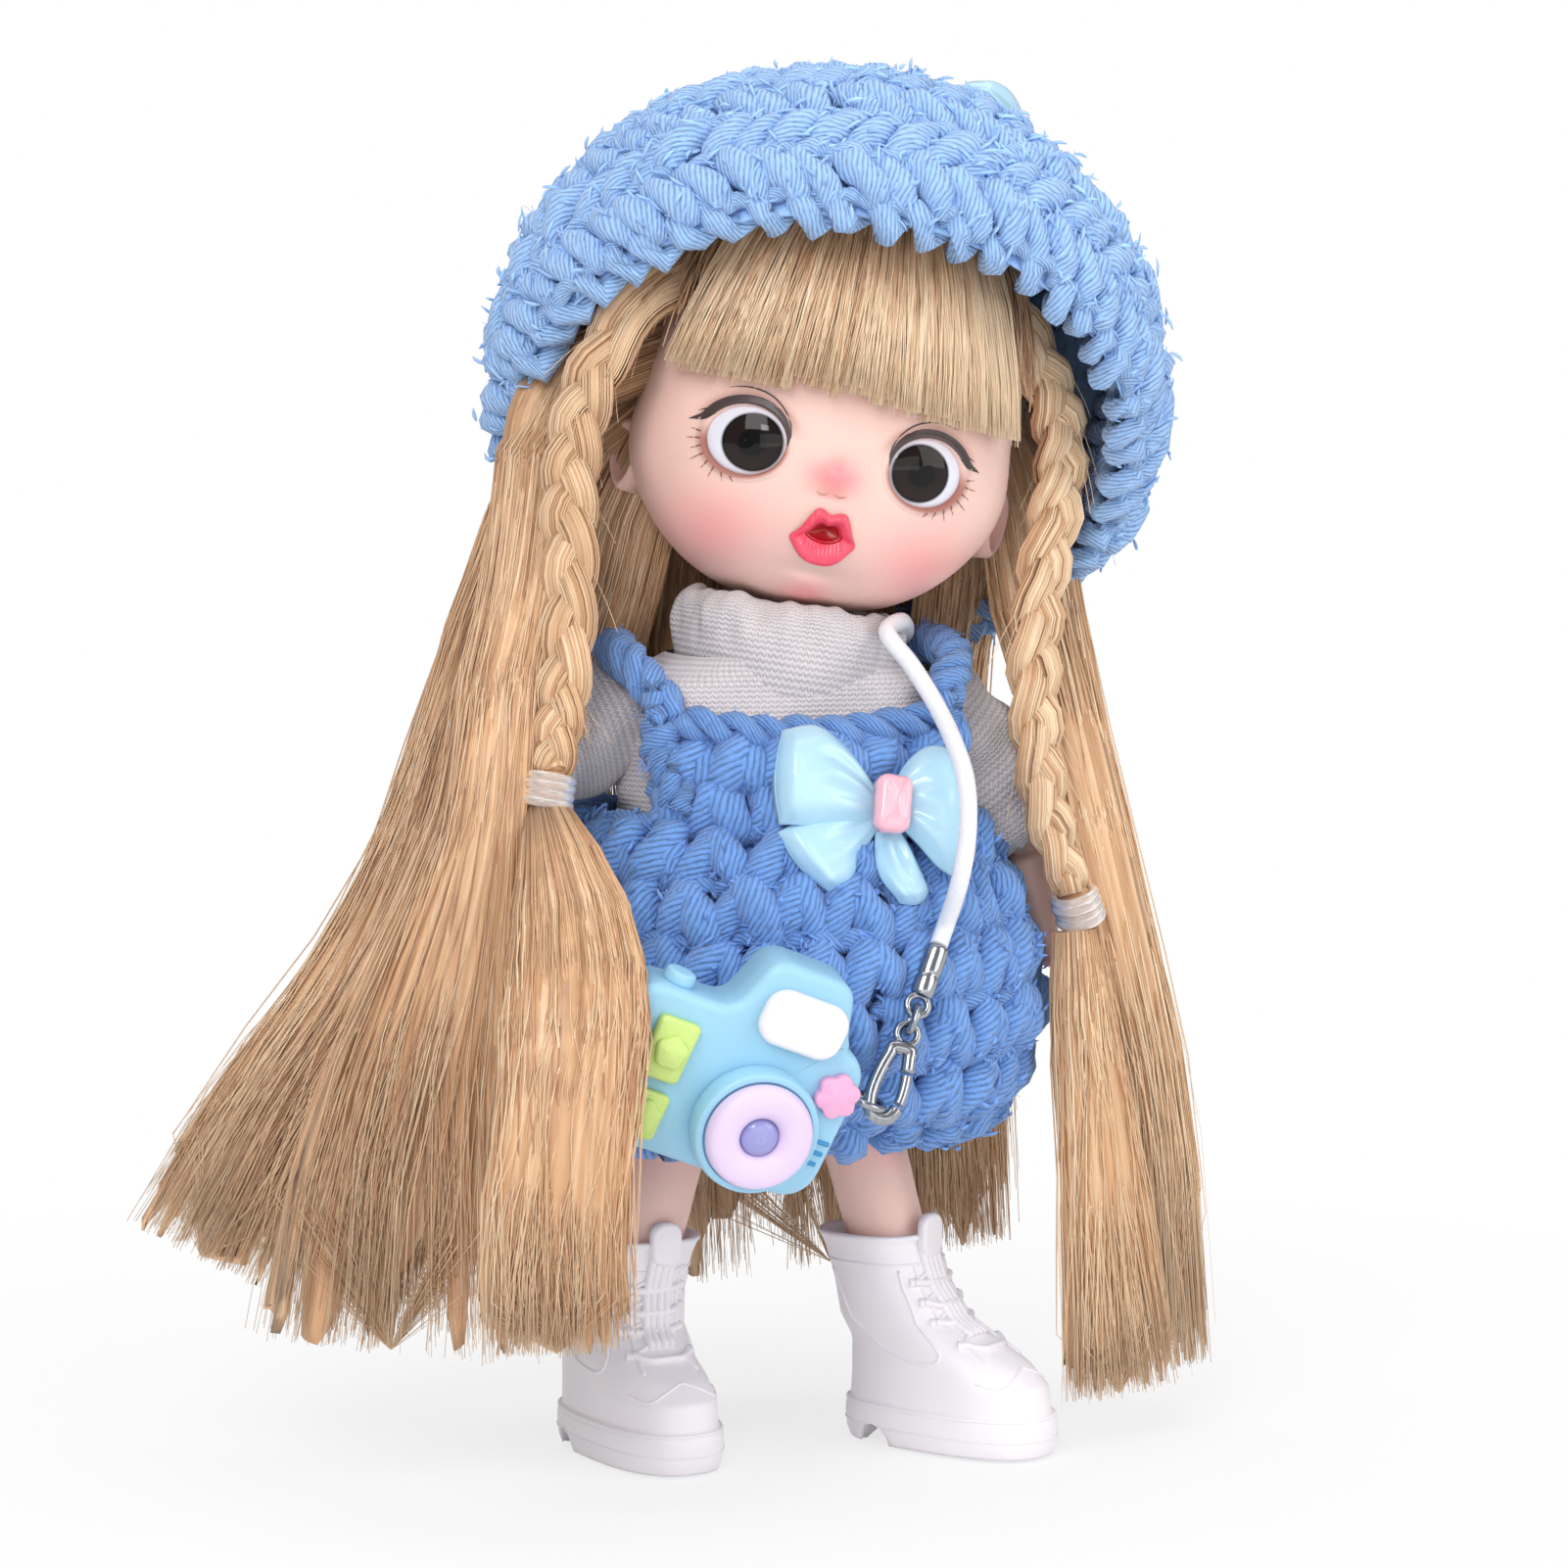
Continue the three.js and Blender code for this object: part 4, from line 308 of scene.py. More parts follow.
class DollColours(bpy.types.PropertyGroup):
    """Colours of the doll's materials."""

    skin: colour_property("Skin", "The doll's vinyl", (240, 202, 190))
    blush: colour_property("Blush", "Cheeks, nose and chin", (252, 138, 146))
    lips: colour_property("Lips", "Painted lips", (238, 76, 102))
    mouth: colour_property("Mouth", "Inside of the mouth", (168, 8, 18))
    liner: colour_property("Eye liner", "Painted lid lines", (66, 50, 50))
    lash: colour_property("Lower lashes", "Painted lower lashes", (150, 84, 66))
    rim: colour_property("Lid", "Shading round the eyes", (146, 70, 52))
    nostril: colour_property("Nostril", "The line under the nose", (206, 148, 134))
    iris: colour_property("Iris", "Eyes", (31, 19, 18))
    eye_white: colour_property("Eye white", "White of the eyes", (226, 227, 238))
    # The hair's colours also carry painted light: the mark tone picks hair_dark for painted shade under the
    # hat and behind locks, and hair_light for painted light on their fronts.
    hair_dark: colour_property("Dark hair", "Hair in its shadows", (122, 78, 48))
    hair_middle: colour_property("Hair", "Most of the hair", (214, 167, 124))
    hair_light: colour_property("Light hair", "The palest strands", (250, 224, 188))
    hat_yarn: colour_property("Hat yarn", "The hat", (156, 195, 248))
    dress_yarn: colour_property("Dress yarn", "The dress", (110, 155, 220))
    knit: colour_property("Knit", "The jumper", (236, 228, 231))
    boot: colour_property("Boots", "The boots", (244, 239, 243))
    bow: colour_property("Bow", "The resin bows", (182, 222, 242))
    knot: colour_property("Knot", "The bow's knot", (250, 188, 201))
    toy_blue: colour_property("Camera blue", "The toy camera's body", (158, 208, 234))
    toy_green: colour_property("Camera green", "Its square buttons", (204, 228, 132))
    toy_lilac: colour_property("Camera lilac", "Its lens ring", (228, 208, 241))
    toy_lens: colour_property("Camera lens", "Its lens", (150, 152, 208))
    toy_pink: colour_property("Camera pink", "Its flower", (250, 176, 212))
    toy_white: colour_property("Camera white", "Its window", (240, 239, 243))
    toy_line: colour_property("Camera line", "Its painted lines", (62, 150, 206))
    cord: colour_property("Cord", "The camera's cord", (236, 236, 241))
    steel: colour_property("Steel", "Clasp, rings and cord ends", (172, 174, 180))
    elastic: colour_property("Elastic", "Clear bands on the braids", (236, 226, 220))


def sizes():
    """The sizes that the scene holds."""
    return bpy.context.scene.doll_sizes


def colours():
    """The colours that the scene holds."""
    return bpy.context.scene.doll_colours


def colour_of(name):
    """One of the scene's colours, by name."""
    return tuple(getattr(colours(), name))


# Shapes as arrays

OUTLINE_POINTS = 260
RING_STEPS = 32
RING_SIDES = 10


class Shape:
    """Points in millimetres, faces in arrays of one width each, their corners' UV places, and point marks."""

    def __init__(self, points, faces, corners, marks=None):
        self.points = np.asarray(points, float).reshape(-1, 3)
        self.faces = faces
        self.corners = corners
        self.marks = marks or {}

    def placed(self, axes):
        """The same shape, its points read in a frame."""
        return Shape(axes.out(self.points), self.faces, self.corners, self.marks)


def joined(*shapes):
    """Several shapes as one; a mark that a shape lacks is 0 there."""
    starts = np.cumsum([0] + [len(shape.points) for shape in shapes])
    names = sorted({name for shape in shapes for name in shape.marks})
    marks = {
        name: np.concatenate([shape.marks.get(name, np.zeros(len(shape.points))) for shape in shapes])
        for name in names
    }
    faces = [face + start for shape, start in zip(shapes, starts) for face in shape.faces]
    corners = [corner for shape in shapes for corner in shape.corners]
    return Shape(np.vstack([shape.points for shape in shapes]), faces, corners, marks)


def grid_faces(rows, columns, span):
    """The row, the column and the four corners of each face of a grid, where the last column joins the
    first."""
    i, j = (part.ravel() for part in np.meshgrid(np.arange(rows - 1), np.arange(span), indexing="ij"))
    low, high = i * columns, (i + 1) * columns
    after = (j + 1) % columns
    return i, j, np.stack([low + j, low + after, high + after, high + j], 1)


def surface(grid, wrap=True, caps=(False, False), uv=(1, 1), marks=None):
    """A grid of points as a surface: wrap joins the last column to the first, caps close the end rows."""
    grid = np.asarray(grid, float)
    rows, columns = grid.shape[:2]
    span = columns if wrap else columns - 1
    i, j, quads = grid_faces(rows, columns, span)
    faces = [quads]
    u, v = j / span, i / (rows - 1)
    du, dv = 1 / span, 1 / (rows - 1)
    corner = np.stack([u, v, u + du, v, u + du, v + dv, u, v + dv], 1).reshape(-1, 4, 2)
    corners = [corner * np.asarray(uv, float)]
    points = [grid.reshape(-1, 3)]
    marks = {
        name: [np.broadcast_to(values, (rows, columns)).ravel()] for name, values in (marks or {}).items()
    }
    count = rows * columns
    for row, closed in zip((0, rows - 1), caps):
        if not closed:
            continue
        ring = np.arange(columns) + row * columns
        following = np.roll(ring, -1)
        middle = np.full(columns, count)
        faces.append(np.stack([middle, ring, following] if row else [middle, following, ring], 1))
        corners.append(np.zeros((columns, 3, 2)))
        points.append(grid[row].mean(0)[None])
        for name, values in marks.items():
            values.append([values[0][ring].mean()])
        count += 1
    flat = {name: np.concatenate(values) for name, values in marks.items()}
    return Shape(np.vstack(points), faces, corners, flat)


def tubes(paths, radii, sides=3, reference=(0, 1, 0.01), lobes=0, lobe_depth=0, twist=0, marks=None):
    """Tubes along paths of shape (tubes, steps, 3): a ring of points square to each step, with a flat face on
    each end. A ring with lobes is a yarn of as many plies, which turn by twist radians for each
    millimetre."""
    paths = np.asarray(paths, float)
    count, steps = paths.shape[:2]
    ahead = unit(np.gradient(paths, axis=1))
    side = unit(np.cross(ahead, np.asarray(reference, float)))
    up = np.cross(ahead, side)
    gaps = np.linalg.norm(np.diff(paths, axis=1), axis=-1)
    run = np.concatenate([np.zeros((count, 1)), np.cumsum(gaps, 1)], 1)
    angle = even_angles(sides)
    radius = np.broadcast_to(radii, (count, steps))[..., None]
    radius = radius * (1 + lobe_depth * np.cos(lobes * angle - twist * run[..., None]))
    ring = np.cos(angle)[:, None] * side[:, :, None] + np.sin(angle)[:, None] * up[:, :, None]
    points = paths[:, :, None] + radius[..., None] * ring

    i, j, one = grid_faces(steps, sides, sides)
    starts = np.arange(count)[:, None, None] * steps * sides
    ends = np.stack([np.arange(sides)[::-1], (steps - 1) * sides + np.arange(sides)])
    quads = (one[None] + starts).reshape(-1, 4)
    caps = (ends[None] + starts).reshape(-1, sides)
    u = np.stack([j, j + 1, j + 1, j], 1) / sides
    v = run[:, np.stack([i, i, i + 1, i + 1], 1)]
    corners = np.stack([np.broadcast_to(u, v.shape), v], -1).reshape(-1, 4, 2)
    flat = {
        name: np.repeat(np.broadcast_to(values, (count, steps)).ravel(), sides)
        for name, values in (marks or {}).items()
    }
    return Shape(points, [quads, caps], [corners, np.zeros(caps.shape + (2,))], flat)


def spline(points, shares):
    """A Catmull-Rom curve through points, read at shares from 0 to 1."""
    points = np.asarray(points, float)
    ends = np.vstack([2 * points[0] - points[1], points, 2 * points[-1] - points[-2]])
    place = np.clip(shares, 0, 1) * (len(points) - 1)
    k = np.minimum(place.astype(int), len(points) - 2)
    t = (place - k)[..., None]
    a, b, c, d = ends[k], ends[k + 1], ends[k + 2], ends[k + 3]
    return 0.5 * (2 * b + (c - a) * t + (2 * a - 5 * b + 4 * c - d) * t**2 + (3 * b - a - 3 * c + d) * t**3)


def read(values, shares):
    """A list of values read at shares from 0 to 1."""
    return np.interp(shares, np.linspace(0, 1, len(values)), values)


def lathe(profile, sides=48):
    """A profile of (radius, height) pairs spun round the third axis, from its foot up, with closed ends."""
    profile = np.asarray(profile, float)
    angle = even_angles(sides)
    ring = np.stack([np.cos(angle), np.sin(angle), np.zeros(sides)], 1)
    grid = profile[:, 0, None, None] * ring + profile[:, 1, None, None] * np.array([0, 0, 1.0])
    return surface(grid, caps=(True, True))


def rounded(profile, steps=6):
    """A profile with round corners: curves join the middles of its sides, bent towards its corners."""
    profile = np.asarray(profile, float)
    middles = (profile[1:] + profile[:-1]) / 2
    t = np.linspace(0, 1, steps, endpoint=False)[:, None]
    curves = [
        (1 - t) ** 2 * a + 2 * t * (1 - t) * corner + t**2 * b
        for a, corner, b in zip(middles[:-1], profile[1:-1], middles[1:])
    ]
    return np.vstack([profile[:1], *curves, middles[-1:], profile[-1:]])


def pillow(outline, thickness, edge, rows=7, crown=0, middle=None):
    """A flat outline of (x, z) points as a slab that faces -Y, with a round edge and a front that rises by
    crown. Every point of the outline has to be in sight of its middle."""
    outline = np.asarray(outline, float)
    middle = outline.mean(0) if middle is None else np.asarray(middle, float)
    along = np.roll(outline, -1, 0) - np.roll(outline, 1, 0)
    inward = unit(np.stack([-along[:, 1], along[:, 0]], 1))
    arc = np.linspace(0, math.pi / 2, rows)
    inset = edge * (1 - np.cos(arc))
    lift = edge * np.sin(arc)
    grid = [np.insert(outline + inward * edge * 0.5, 1, 0, 1), np.insert(outline, 1, -0.35 * edge, 1)]
    for back, rise in zip(inset, lift):
        ring = outline + inward * back
        grid.append(np.insert(ring, 1, -(thickness - edge + rise), 1))
    last = outline + inward * edge
    for share in (0.8, 0.55, 0.3, 0.12):
        ring = middle + (last - middle) * share
        grid.append(np.insert(ring, 1, -(thickness + crown * (1 - share**2)), 1))
    return surface(np.array(grid), caps=(True, True))


def round_outline(width, height, corner, steps=8):
    """A rectangle with round corners, as points anticlockwise from its lower right."""
    angle = np.linspace(0, math.pi / 2, steps)
    turns = np.arange(4) - 1
    centres = np.array([[1, -1], [1, 1], [-1, 1], [-1, -1]]) * [width / 2 - corner, height / 2 - corner]
    arcs = []
    for centre, turn in zip(centres, turns):
        bend = angle + turn * math.pi / 2
        arcs.append(centre + corner * np.stack([np.cos(bend), np.sin(bend)], 1))
    return np.vstack(arcs)


def softened(outline, reach):
    """A closed outline as even points, each the mean of the outline for a reach to both sides."""
    ring = np.vstack([outline, outline[:1]])
    run = run_along(ring)
    even = np.linspace(0, run[-1], OUTLINE_POINTS, endpoint=False)
    points = np.stack([np.interp(even, run, ring[:, k]) for k in (0, 1)], 1)
    half = max(1, round(reach * OUTLINE_POINTS / run[-1]))
    return np.mean([np.roll(points, shift, 0) for shift in range(-half, half + 1)], 0)


def petal_outline(radius, depth, count, steps=60):
    """A flower: a circle scalloped into count petals."""
    angle = even_angles(steps)
    r = radius * (1 - depth * (1 - np.abs(np.cos(count / 2 * (angle - math.pi / 2)))))
    return np.stack([r * np.cos(angle), r * np.sin(angle)], 1)


def ring_shape(radius, wire, axes, normal):
    """A wire ring round a normal of the given frame."""
    normal = unit(np.asarray(normal, float))
    first = unit(np.cross(normal, [0.31, 0.2, 0.93]))
    second = np.cross(normal, first)
    around = even_angles(RING_STEPS)
    about = even_angles(RING_SIDES)
    spoke = np.cos(around)[:, None] * first + np.sin(around)[:, None] * second
    reach = (radius + wire * np.cos(about))[:, None]
    ring = reach * spoke[:, None] + (wire * np.sin(about))[:, None] * normal
    closed = np.concatenate([ring, ring[:1]])
    return surface(axes.out(closed))


# Pieces and materials

def put(name, data, place=(0, 0, 0)):
    """A new object in the scene, at a place in metres."""
    thing = bpy.data.objects.new(name, data)
    thing.location = place
    bpy.context.scene.collection.objects.link(thing)
    return thing


def add_piece(name, shape, material, rides, replaces=()):
    """A mesh object that rides on a body when rides is its name; when rides is (a, b, start, end) the piece
    stays where it is made.
    """
    loops = np.concatenate([face.ravel() for face in shape.faces])
    widths = np.concatenate([np.full(len(face), face.shape[1]) for face in shape.faces])
    mesh = bpy.data.meshes.new(name)
    mesh.vertices.add(len(shape.points))
    mesh.vertices.foreach_set("co", (shape.points * MM).ravel())
    mesh.loops.add(len(loops))
    mesh.loops.foreach_set("vertex_index", loops)
    mesh.polygons.add(len(widths))
    mesh.polygons.foreach_set("loop_start", np.cumsum(widths) - widths)
    mesh.polygons.foreach_set("use_smooth", np.ones(len(widths), bool))
    corners = np.concatenate([corner.reshape(-1, 2) for corner in shape.corners])
    mesh.uv_layers.new(name="UVMap").data.foreach_set("uv", corners.ravel())
    for mark, values in shape.marks.items():
        mesh.attributes.new(mark, "FLOAT", "POINT").data.foreach_set("value", values.astype(np.float32))
    mesh.update(calc_edges=True)
    mesh.materials.append(material)
    piece = put(name, mesh)
    if isinstance(rides, str):
        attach(piece, rides)
    else:
        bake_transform(piece)
    if replaces:
        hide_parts(*replaces)
    return piece


class Nodes:
    """A tree of shader nodes that are added to it one at a time."""

    def __init__(self, tree):
        self.tree = tree

    def node(self, kind, inputs=None, **settings):
        """A node with its inputs set to values or linked to other nodes' outputs."""
        made = self.tree.nodes.new("ShaderNode" + kind)
        for key, value in settings.items():
            setattr(made, key, value)
        for key, value in (inputs or {}).items():
            if isinstance(value, bpy.types.NodeSocket):
                self.tree.links.new(value, made.inputs[key])
            else:
                made.inputs[key].default_value = value
        return made

    def math(self, operation, first, second=0.0, third=0.0):
        """One sum of up to three values."""
        return self.node("Math", {0: first, 1: second, 2: third}, operation=operation).outputs[0]


class Finish(Nodes):
    """A Principled material, with the nodes that colour it and raise its surface."""

    def __init__(self, name, colour, roughness, **sockets):
        self.base = tuple(colour)
        self.material = bpy.data.materials.new(name)
        self.material.use_nodes = True
        super().__init__(self.material.node_tree)
        self.surface = self.tree.nodes["Principled BSDF"]
        self.surface.inputs["Base Color"].default_value = (*colour, 1)
        self.surface.inputs["Roughness"].default_value = roughness
        for socket, value in sockets.items():
            self.surface.inputs[socket.replace("_", " ")].default_value = value

    def noise(self, scale, detail=3, stretch=(1, 1, 1)):
        """Noise on the piece's own coordinates, in spots per metre, stretched along each axis."""
        place = self.node("TexCoord").outputs["Object"]
        mapped = self.node("Mapping", {"Vector": place, "Scale": stretch}).outputs[0]
        return self.node("TexNoise", {"Vector": mapped, "Scale": scale, "Detail": detail}).outputs["Fac"]

    def mark(self, name):
        """A mark on the piece's points."""
        return self.node("Attribute", attribute_name=name).outputs["Fac"]

    def ramp(self, factor, stops):
        """A colour ramp of (place, colour) stops."""
        made = self.node("ValToRGB", {"Fac": factor})
        elements = made.color_ramp.elements
        while len(elements) < len(stops):
            elements.new(0.5)
        for element, (place, colour) in zip(elements, stops):
            element.position = place
            element.color = (*colour, 1)
        return made.outputs["Color"]

    def mix(self, factor, first, second):
        """Two colours mixed by a factor."""
        made = self.node("Mix", data_type="RGBA")
        for key, value in ((0, factor), (6, first), (7, second)):
            if isinstance(value, bpy.types.NodeSocket):
                self.tree.links.new(value, made.inputs[key])
            else:
                made.inputs[key].default_value = value if key == 0 else (*value, 1)
        return made.outputs[2]

    def shades(self, factor, *stops):
        """The base colour, darker or lighter at each (place, strength) stop of a factor."""
        self.colour(self.ramp(factor, [(place, shade(self.base, strength)) for place, strength in stops]))

    def drift(self, factor, dark, light):
        """The base colour, which drifts between two strengths with a factor."""
        self.shades(factor, (0.3, dark), (0.7, light))

    def colour(self, socket):
        """Links a socket to the base colour."""
        self.tree.links.new(socket, self.surface.inputs["Base Color"])

    def roughness(self, socket):
        """Links a socket to the roughness."""
        self.tree.links.new(socket, self.surface.inputs["Roughness"])

    def bump(self, height, distance, strength=1.0):
        """A bump of so many millimetres."""
        made = self.node("Bump", {"Height": height, "Distance": distance * MM, "Strength": strength})
        self.tree.links.new(made.outputs[0], self.surface.inputs["Normal"])


def shade(colour, factor):
    """A colour made darker or lighter by a factor."""
    return tuple(min(1.0, channel * factor) for channel in colour)


FINISHES = {}


def finish(make):
    """A material that is made once and then kept."""
    def kept(*arguments):
        key = (make.__name__, *arguments)
        if key not in FINISHES:
            FINISHES[key] = make(*arguments).material
        return FINISHES[key]
    return kept


@finish
def skin_finish():
    """Soft vinyl: faint mottling, a pink blush where the mark says so, and a satin skin."""
    c = colours()
    made = Finish("skin_vinyl", c.skin, 0.42, Subsurface_Weight=0.12, Subsurface_Scale=0.0012)
    mottle = made.noise(120, 4)
    plain = made.ramp(mottle, [(0.3, shade(c.skin, 0.95)), (0.7, shade(c.skin, 1.02))])
    pink = made.mix(made.mark("blush"), plain, tuple(c.blush))
    made.colour(made.mix(made.mark("rim"), pink, tuple(c.rim)))
    grain = made.noise(4200, 2)
    made.roughness(made.math("MULTIPLY_ADD", grain, 0.16, 0.34))
    made.bump(grain, 0.012, 0.5)
    return made


@finish
def paint_finish(name, roughness):
    """Painted lines and lips: one colour that drifts a little, under a thin clear coat."""
    made = Finish(f"{name}_paint", colour_of(name), roughness, Coat_Weight=0.25, Coat_Roughness=0.2)
    made.drift(made.noise(700, 3), 0.9, 1.08)
    made.bump(made.noise(3000, 2), 0.01, 0.4)
    return made


@finish
def eye_finish():
    """Glass eye: the mark gaze is 0 at the pupil's middle and 1 at the iris's edge, under a smooth gloss."""
    c = colours()
    made = Finish("eye_glass", c.iris, 0.06, Specular_IOR_Level=0.3)
    white = tuple(c.eye_white)
    iris = tuple(c.iris)
    stops = [
        (0.0, (0.001, 0.001, 0.001)), (0.2, (0.001, 0.001, 0.001)), (0.25, shade(iris, 0.75)),
        (0.42, shade(iris, 0.8)), (0.485, shade(iris, 0.3)), (0.505, shade(white, 0.55)), (0.53, white),
    ]
    ring = made.ramp(made.math("MULTIPLY", made.mark("gaze"), 0.5), stops)
    # Painted reflection: the mark low lightens the lower half of the iris towards twice its colour.
    low = made.mark("low")
    eye_with_reflection = made.mix(made.math("MULTIPLY", low, 0.6), ring, shade(iris, 2.0))
    made.colour(eye_with_reflection)
    made.bump(made.noise(400, 2), 0.002, 0.2)
    return made


@finish
def hair_finish():
    """Nylon hair: each strand's mark tone runs from dark to light, the hair's own random tone together with
    painted shade and painted light, with fine streaks along it.
    """
    c = colours()
    made = Finish("nylon_hair", c.hair_middle, 0.34, Specular_IOR_Level=0.55, Sheen_Weight=0.1)
    tone = made.mark("tone")
    streak = made.noise(900, 2, (1, 1, 0.04))
    shifted = made.math("MULTIPLY_ADD", streak, 0.25, -0.125)
    total = made.math("ADD", tone, shifted)
    made.colour(made.ramp(total, [
        (0.0, tuple(c.hair_dark)), (0.5, tuple(c.hair_middle)), (1.0, tuple(c.hair_light)),
    ]))
    made.bump(streak, 0.02, 0.3)
    return made


PLY_COUNT = 14
PLY_TURN = 4.2


@finish
def yarn_finish(name):
    """Fluffy plied yarn: plies wind along the yarn's UV map and wander, with fibres along them; painted shade
    darkens the grooves and a painted highlight lightens the crests.
    """
    made = Finish(name, colour_of(name), 0.92, Sheen_Weight=0.25, Sheen_Roughness=0.5)
    place = made.node("SeparateXYZ", {"Vector": made.node("TexCoord").outputs["UV"]})
    wander = made.math("MULTIPLY_ADD", made.noise(330, 3), 3.2, -1.6)
    turn = made.math("MULTIPLY_ADD", place.outputs["Y"], -PLY_TURN, wander)
    turn = made.math("MULTIPLY_ADD", place.outputs["X"], math.pi * PLY_COUNT, turn)
    ply = made.math("ABSOLUTE", made.math("SINE", turn))
    along = made.node("CombineXYZ", {"X": made.math("MULTIPLY", turn, 1.1),
                                     "Y": made.math("MULTIPLY", place.outputs["Y"], 1.2)})
    fibre = made.node("TexNoise", {"Vector": along.outputs[0], "Scale": 1.0, "Detail": 4.0}).outputs["Fac"]
    tuft = made.noise(1500, 4)
    relief = made.math("MULTIPLY_ADD", fibre, 0.5, made.math("MULTIPLY", ply, 0.42))
    relief = made.math("MULTIPLY_ADD", tuft, 0.36, relief)
    # Painted shade and highlight: the relief darkens the grooves between plies and fibres to 0.42 of the
    # colour and lightens their crests to 1.3.
    made.shades(relief, (0.3, 0.42), (0.5, 0.8), (0.72, 1.06), (1.0, 1.3))
    made.bump(relief, 0.55, 0.9)
    return made


@finish
def tuft_finish(name):
    """Loose pile: the mark tone runs from the yarn's own colour to a paler one."""
    made = Finish(f"{name}_pile", colour_of(name), 0.95, Sheen_Weight=0.3, Sheen_Roughness=0.5)
    drift = made.math("MULTIPLY_ADD", made.noise(260, 2), 0.5, -0.25)
    made.shades(made.math("ADD", made.mark("tone"), drift), (0.0, 0.85), (0.5, 1.12), (1.0, 1.4))
    return made


@finish
def knit_finish():
    """Fine knit: the UV map counts stitches; each is a pair of slanted legs, with painted shade that darkens
    the hole between rows.
    """
    made = Finish("fine_knit", colour_of("knit"), 0.95, Sheen_Weight=0.4, Sheen_Roughness=0.6)
    place = made.node("TexCoord").outputs["UV"]
    split = made.node("SeparateXYZ", {"Vector": place})
    across = made.math("PINGPONG", split.outputs["X"], 0.5)
    row = made.math("ADD", split.outputs["Y"], across)
    wave = made.math("SINE", made.math("MULTIPLY", row, TURN))
    leg = made.math("SINE", made.math("MULTIPLY", across, TURN))
    height = made.math("MULTIPLY", made.math("MULTIPLY_ADD", wave, 0.5), made.math("ABSOLUTE", leg))
    fuzz = made.noise(2400, 4)
    relief = made.math("ADD", height, made.math("MULTIPLY", fuzz, 0.6))
    # Painted shade: the low parts of the relief, between the legs and in the holes between rows, are darkened
    # to 0.66 of the colour.
    made.shades(relief, (0.0, 0.66), (0.35, 0.94), (0.8, 1.06))
    made.bump(relief, 0.35, 0.75)
    return made


@finish
def plastic_finish(name):
    """Moulded satin plastic: a faint drift of colour and a fine grain."""
    made = Finish(f"{name}_plastic", colour_of(name), 0.4)
    made.drift(made.noise(90, 3), 0.97, 1.02)
    grain = made.noise(3500, 2)
    made.roughness(made.math("MULTIPLY_ADD", grain, 0.2, 0.3))
    made.bump(grain, 0.01, 0.4)
    return made


@finish
def resin_finish(name):
    """Poured resin: a glossy coat over a colour that pales where it pools."""
    made = Finish(
        f"{name}_resin", colour_of(name), 0.22, Coat_Weight=0.6, Coat_Roughness=0.06, Subsurface_Weight=0.1,
        Subsurface_Scale=0.001,
    )
    made.drift(made.noise(160, 2), 0.95, 1.04)
    made.bump(made.noise(500, 2), 0.03, 0.35)
    return made


@finish
def steel_finish():
    """Bright plating with faint rub marks."""
    made = Finish("plated_steel", colour_of("steel"), 0.16, Metallic=1.0)
    rub = made.noise(2200, 3, (1, 1, 0.2))
    made.drift(rub, 0.85, 1.05)
    made.roughness(made.math("MULTIPLY_ADD", rub, 0.16, 0.08))
    return made


@finish
def cord_finish():
    """Smooth coated cord with a faint grain along it."""
    made = Finish("coated_cord", colour_of("cord"), 0.34, Coat_Weight=0.15)
    grain = made.noise(1500, 3)
    made.drift(grain, 0.95, 1.03)
    made.bump(grain, 0.015, 0.4)
    return made


@finish
def elastic_finish():
    """Clear stretched elastic."""
    made = Finish("clear_elastic", colour_of("elastic"), 0.18, Transmission_Weight=0.55, IOR=1.45)
    drift = made.noise(900, 2)
    made.drift(drift, 0.92, 1.05)
    made.bump(drift, 0.03, 0.4)
    return made


# The head's surface

def ring_of(level):
    """The head's share of its width at a level, -1 at the chin to 1 at the crown: squarer below."""
    power = np.where(level > 0, 2.0, JAW_SQUARE)
    return np.clip(1 - np.abs(level) ** power, 0, 1) ** (1 / power)


def head_point(across, down, grow=0.0):
    """The head at an angle across from the face's middle and down from the crown, grown outwards.
    A ball whose face is flattened, whose back is deeper and whose cheeks are wider below the middle."""
    z = np.cos(down)
    ring = ring_of(z)
    x = ring * np.sin(across)
    y = -ring * np.cos(across)
    cheek = 1 + CHEEK_FULLNESS * hill(z, -0.35, 0.35)
    front = -(FACE_DEPTH + grow) * np.maximum(-y, 0) ** FACE_FLATNESS
    depth = np.where(y < 0, front, (BACK_DEPTH + grow) * y)
    height = z * (np.where(z > 0, CROWN_HEIGHT, CHIN_DEPTH) + grow)
    width = (HEAD_HALF_WIDTH + CHEEK_SWELL) * cheek + grow
    return np.stack(np.broadcast_arrays(x * width, depth, height), -1)


def bump_at(x, z, place, spread):
    """A round hill of height one at a place on the face."""
    return np.exp(-(((x - place[0]) / spread[0]) ** 2) - ((z - place[1]) / spread[1]) ** 2)


def face_depth(x, z):
    """How far the face stands out at a place given by x and z, with its nose and chin."""
    level = z / np.where(z > 0, CROWN_HEIGHT, CHIN_DEPTH)
    cheek = 1 + CHEEK_FULLNESS * hill(level, -0.35, 0.35)
    rest = np.maximum(ring_of(level) ** 2 - (x / ((HEAD_HALF_WIDTH + CHEEK_SWELL) * cheek)) ** 2, 0.0)
    return FACE_DEPTH * np.sqrt(rest) ** FACE_FLATNESS + face_relief(x, z)


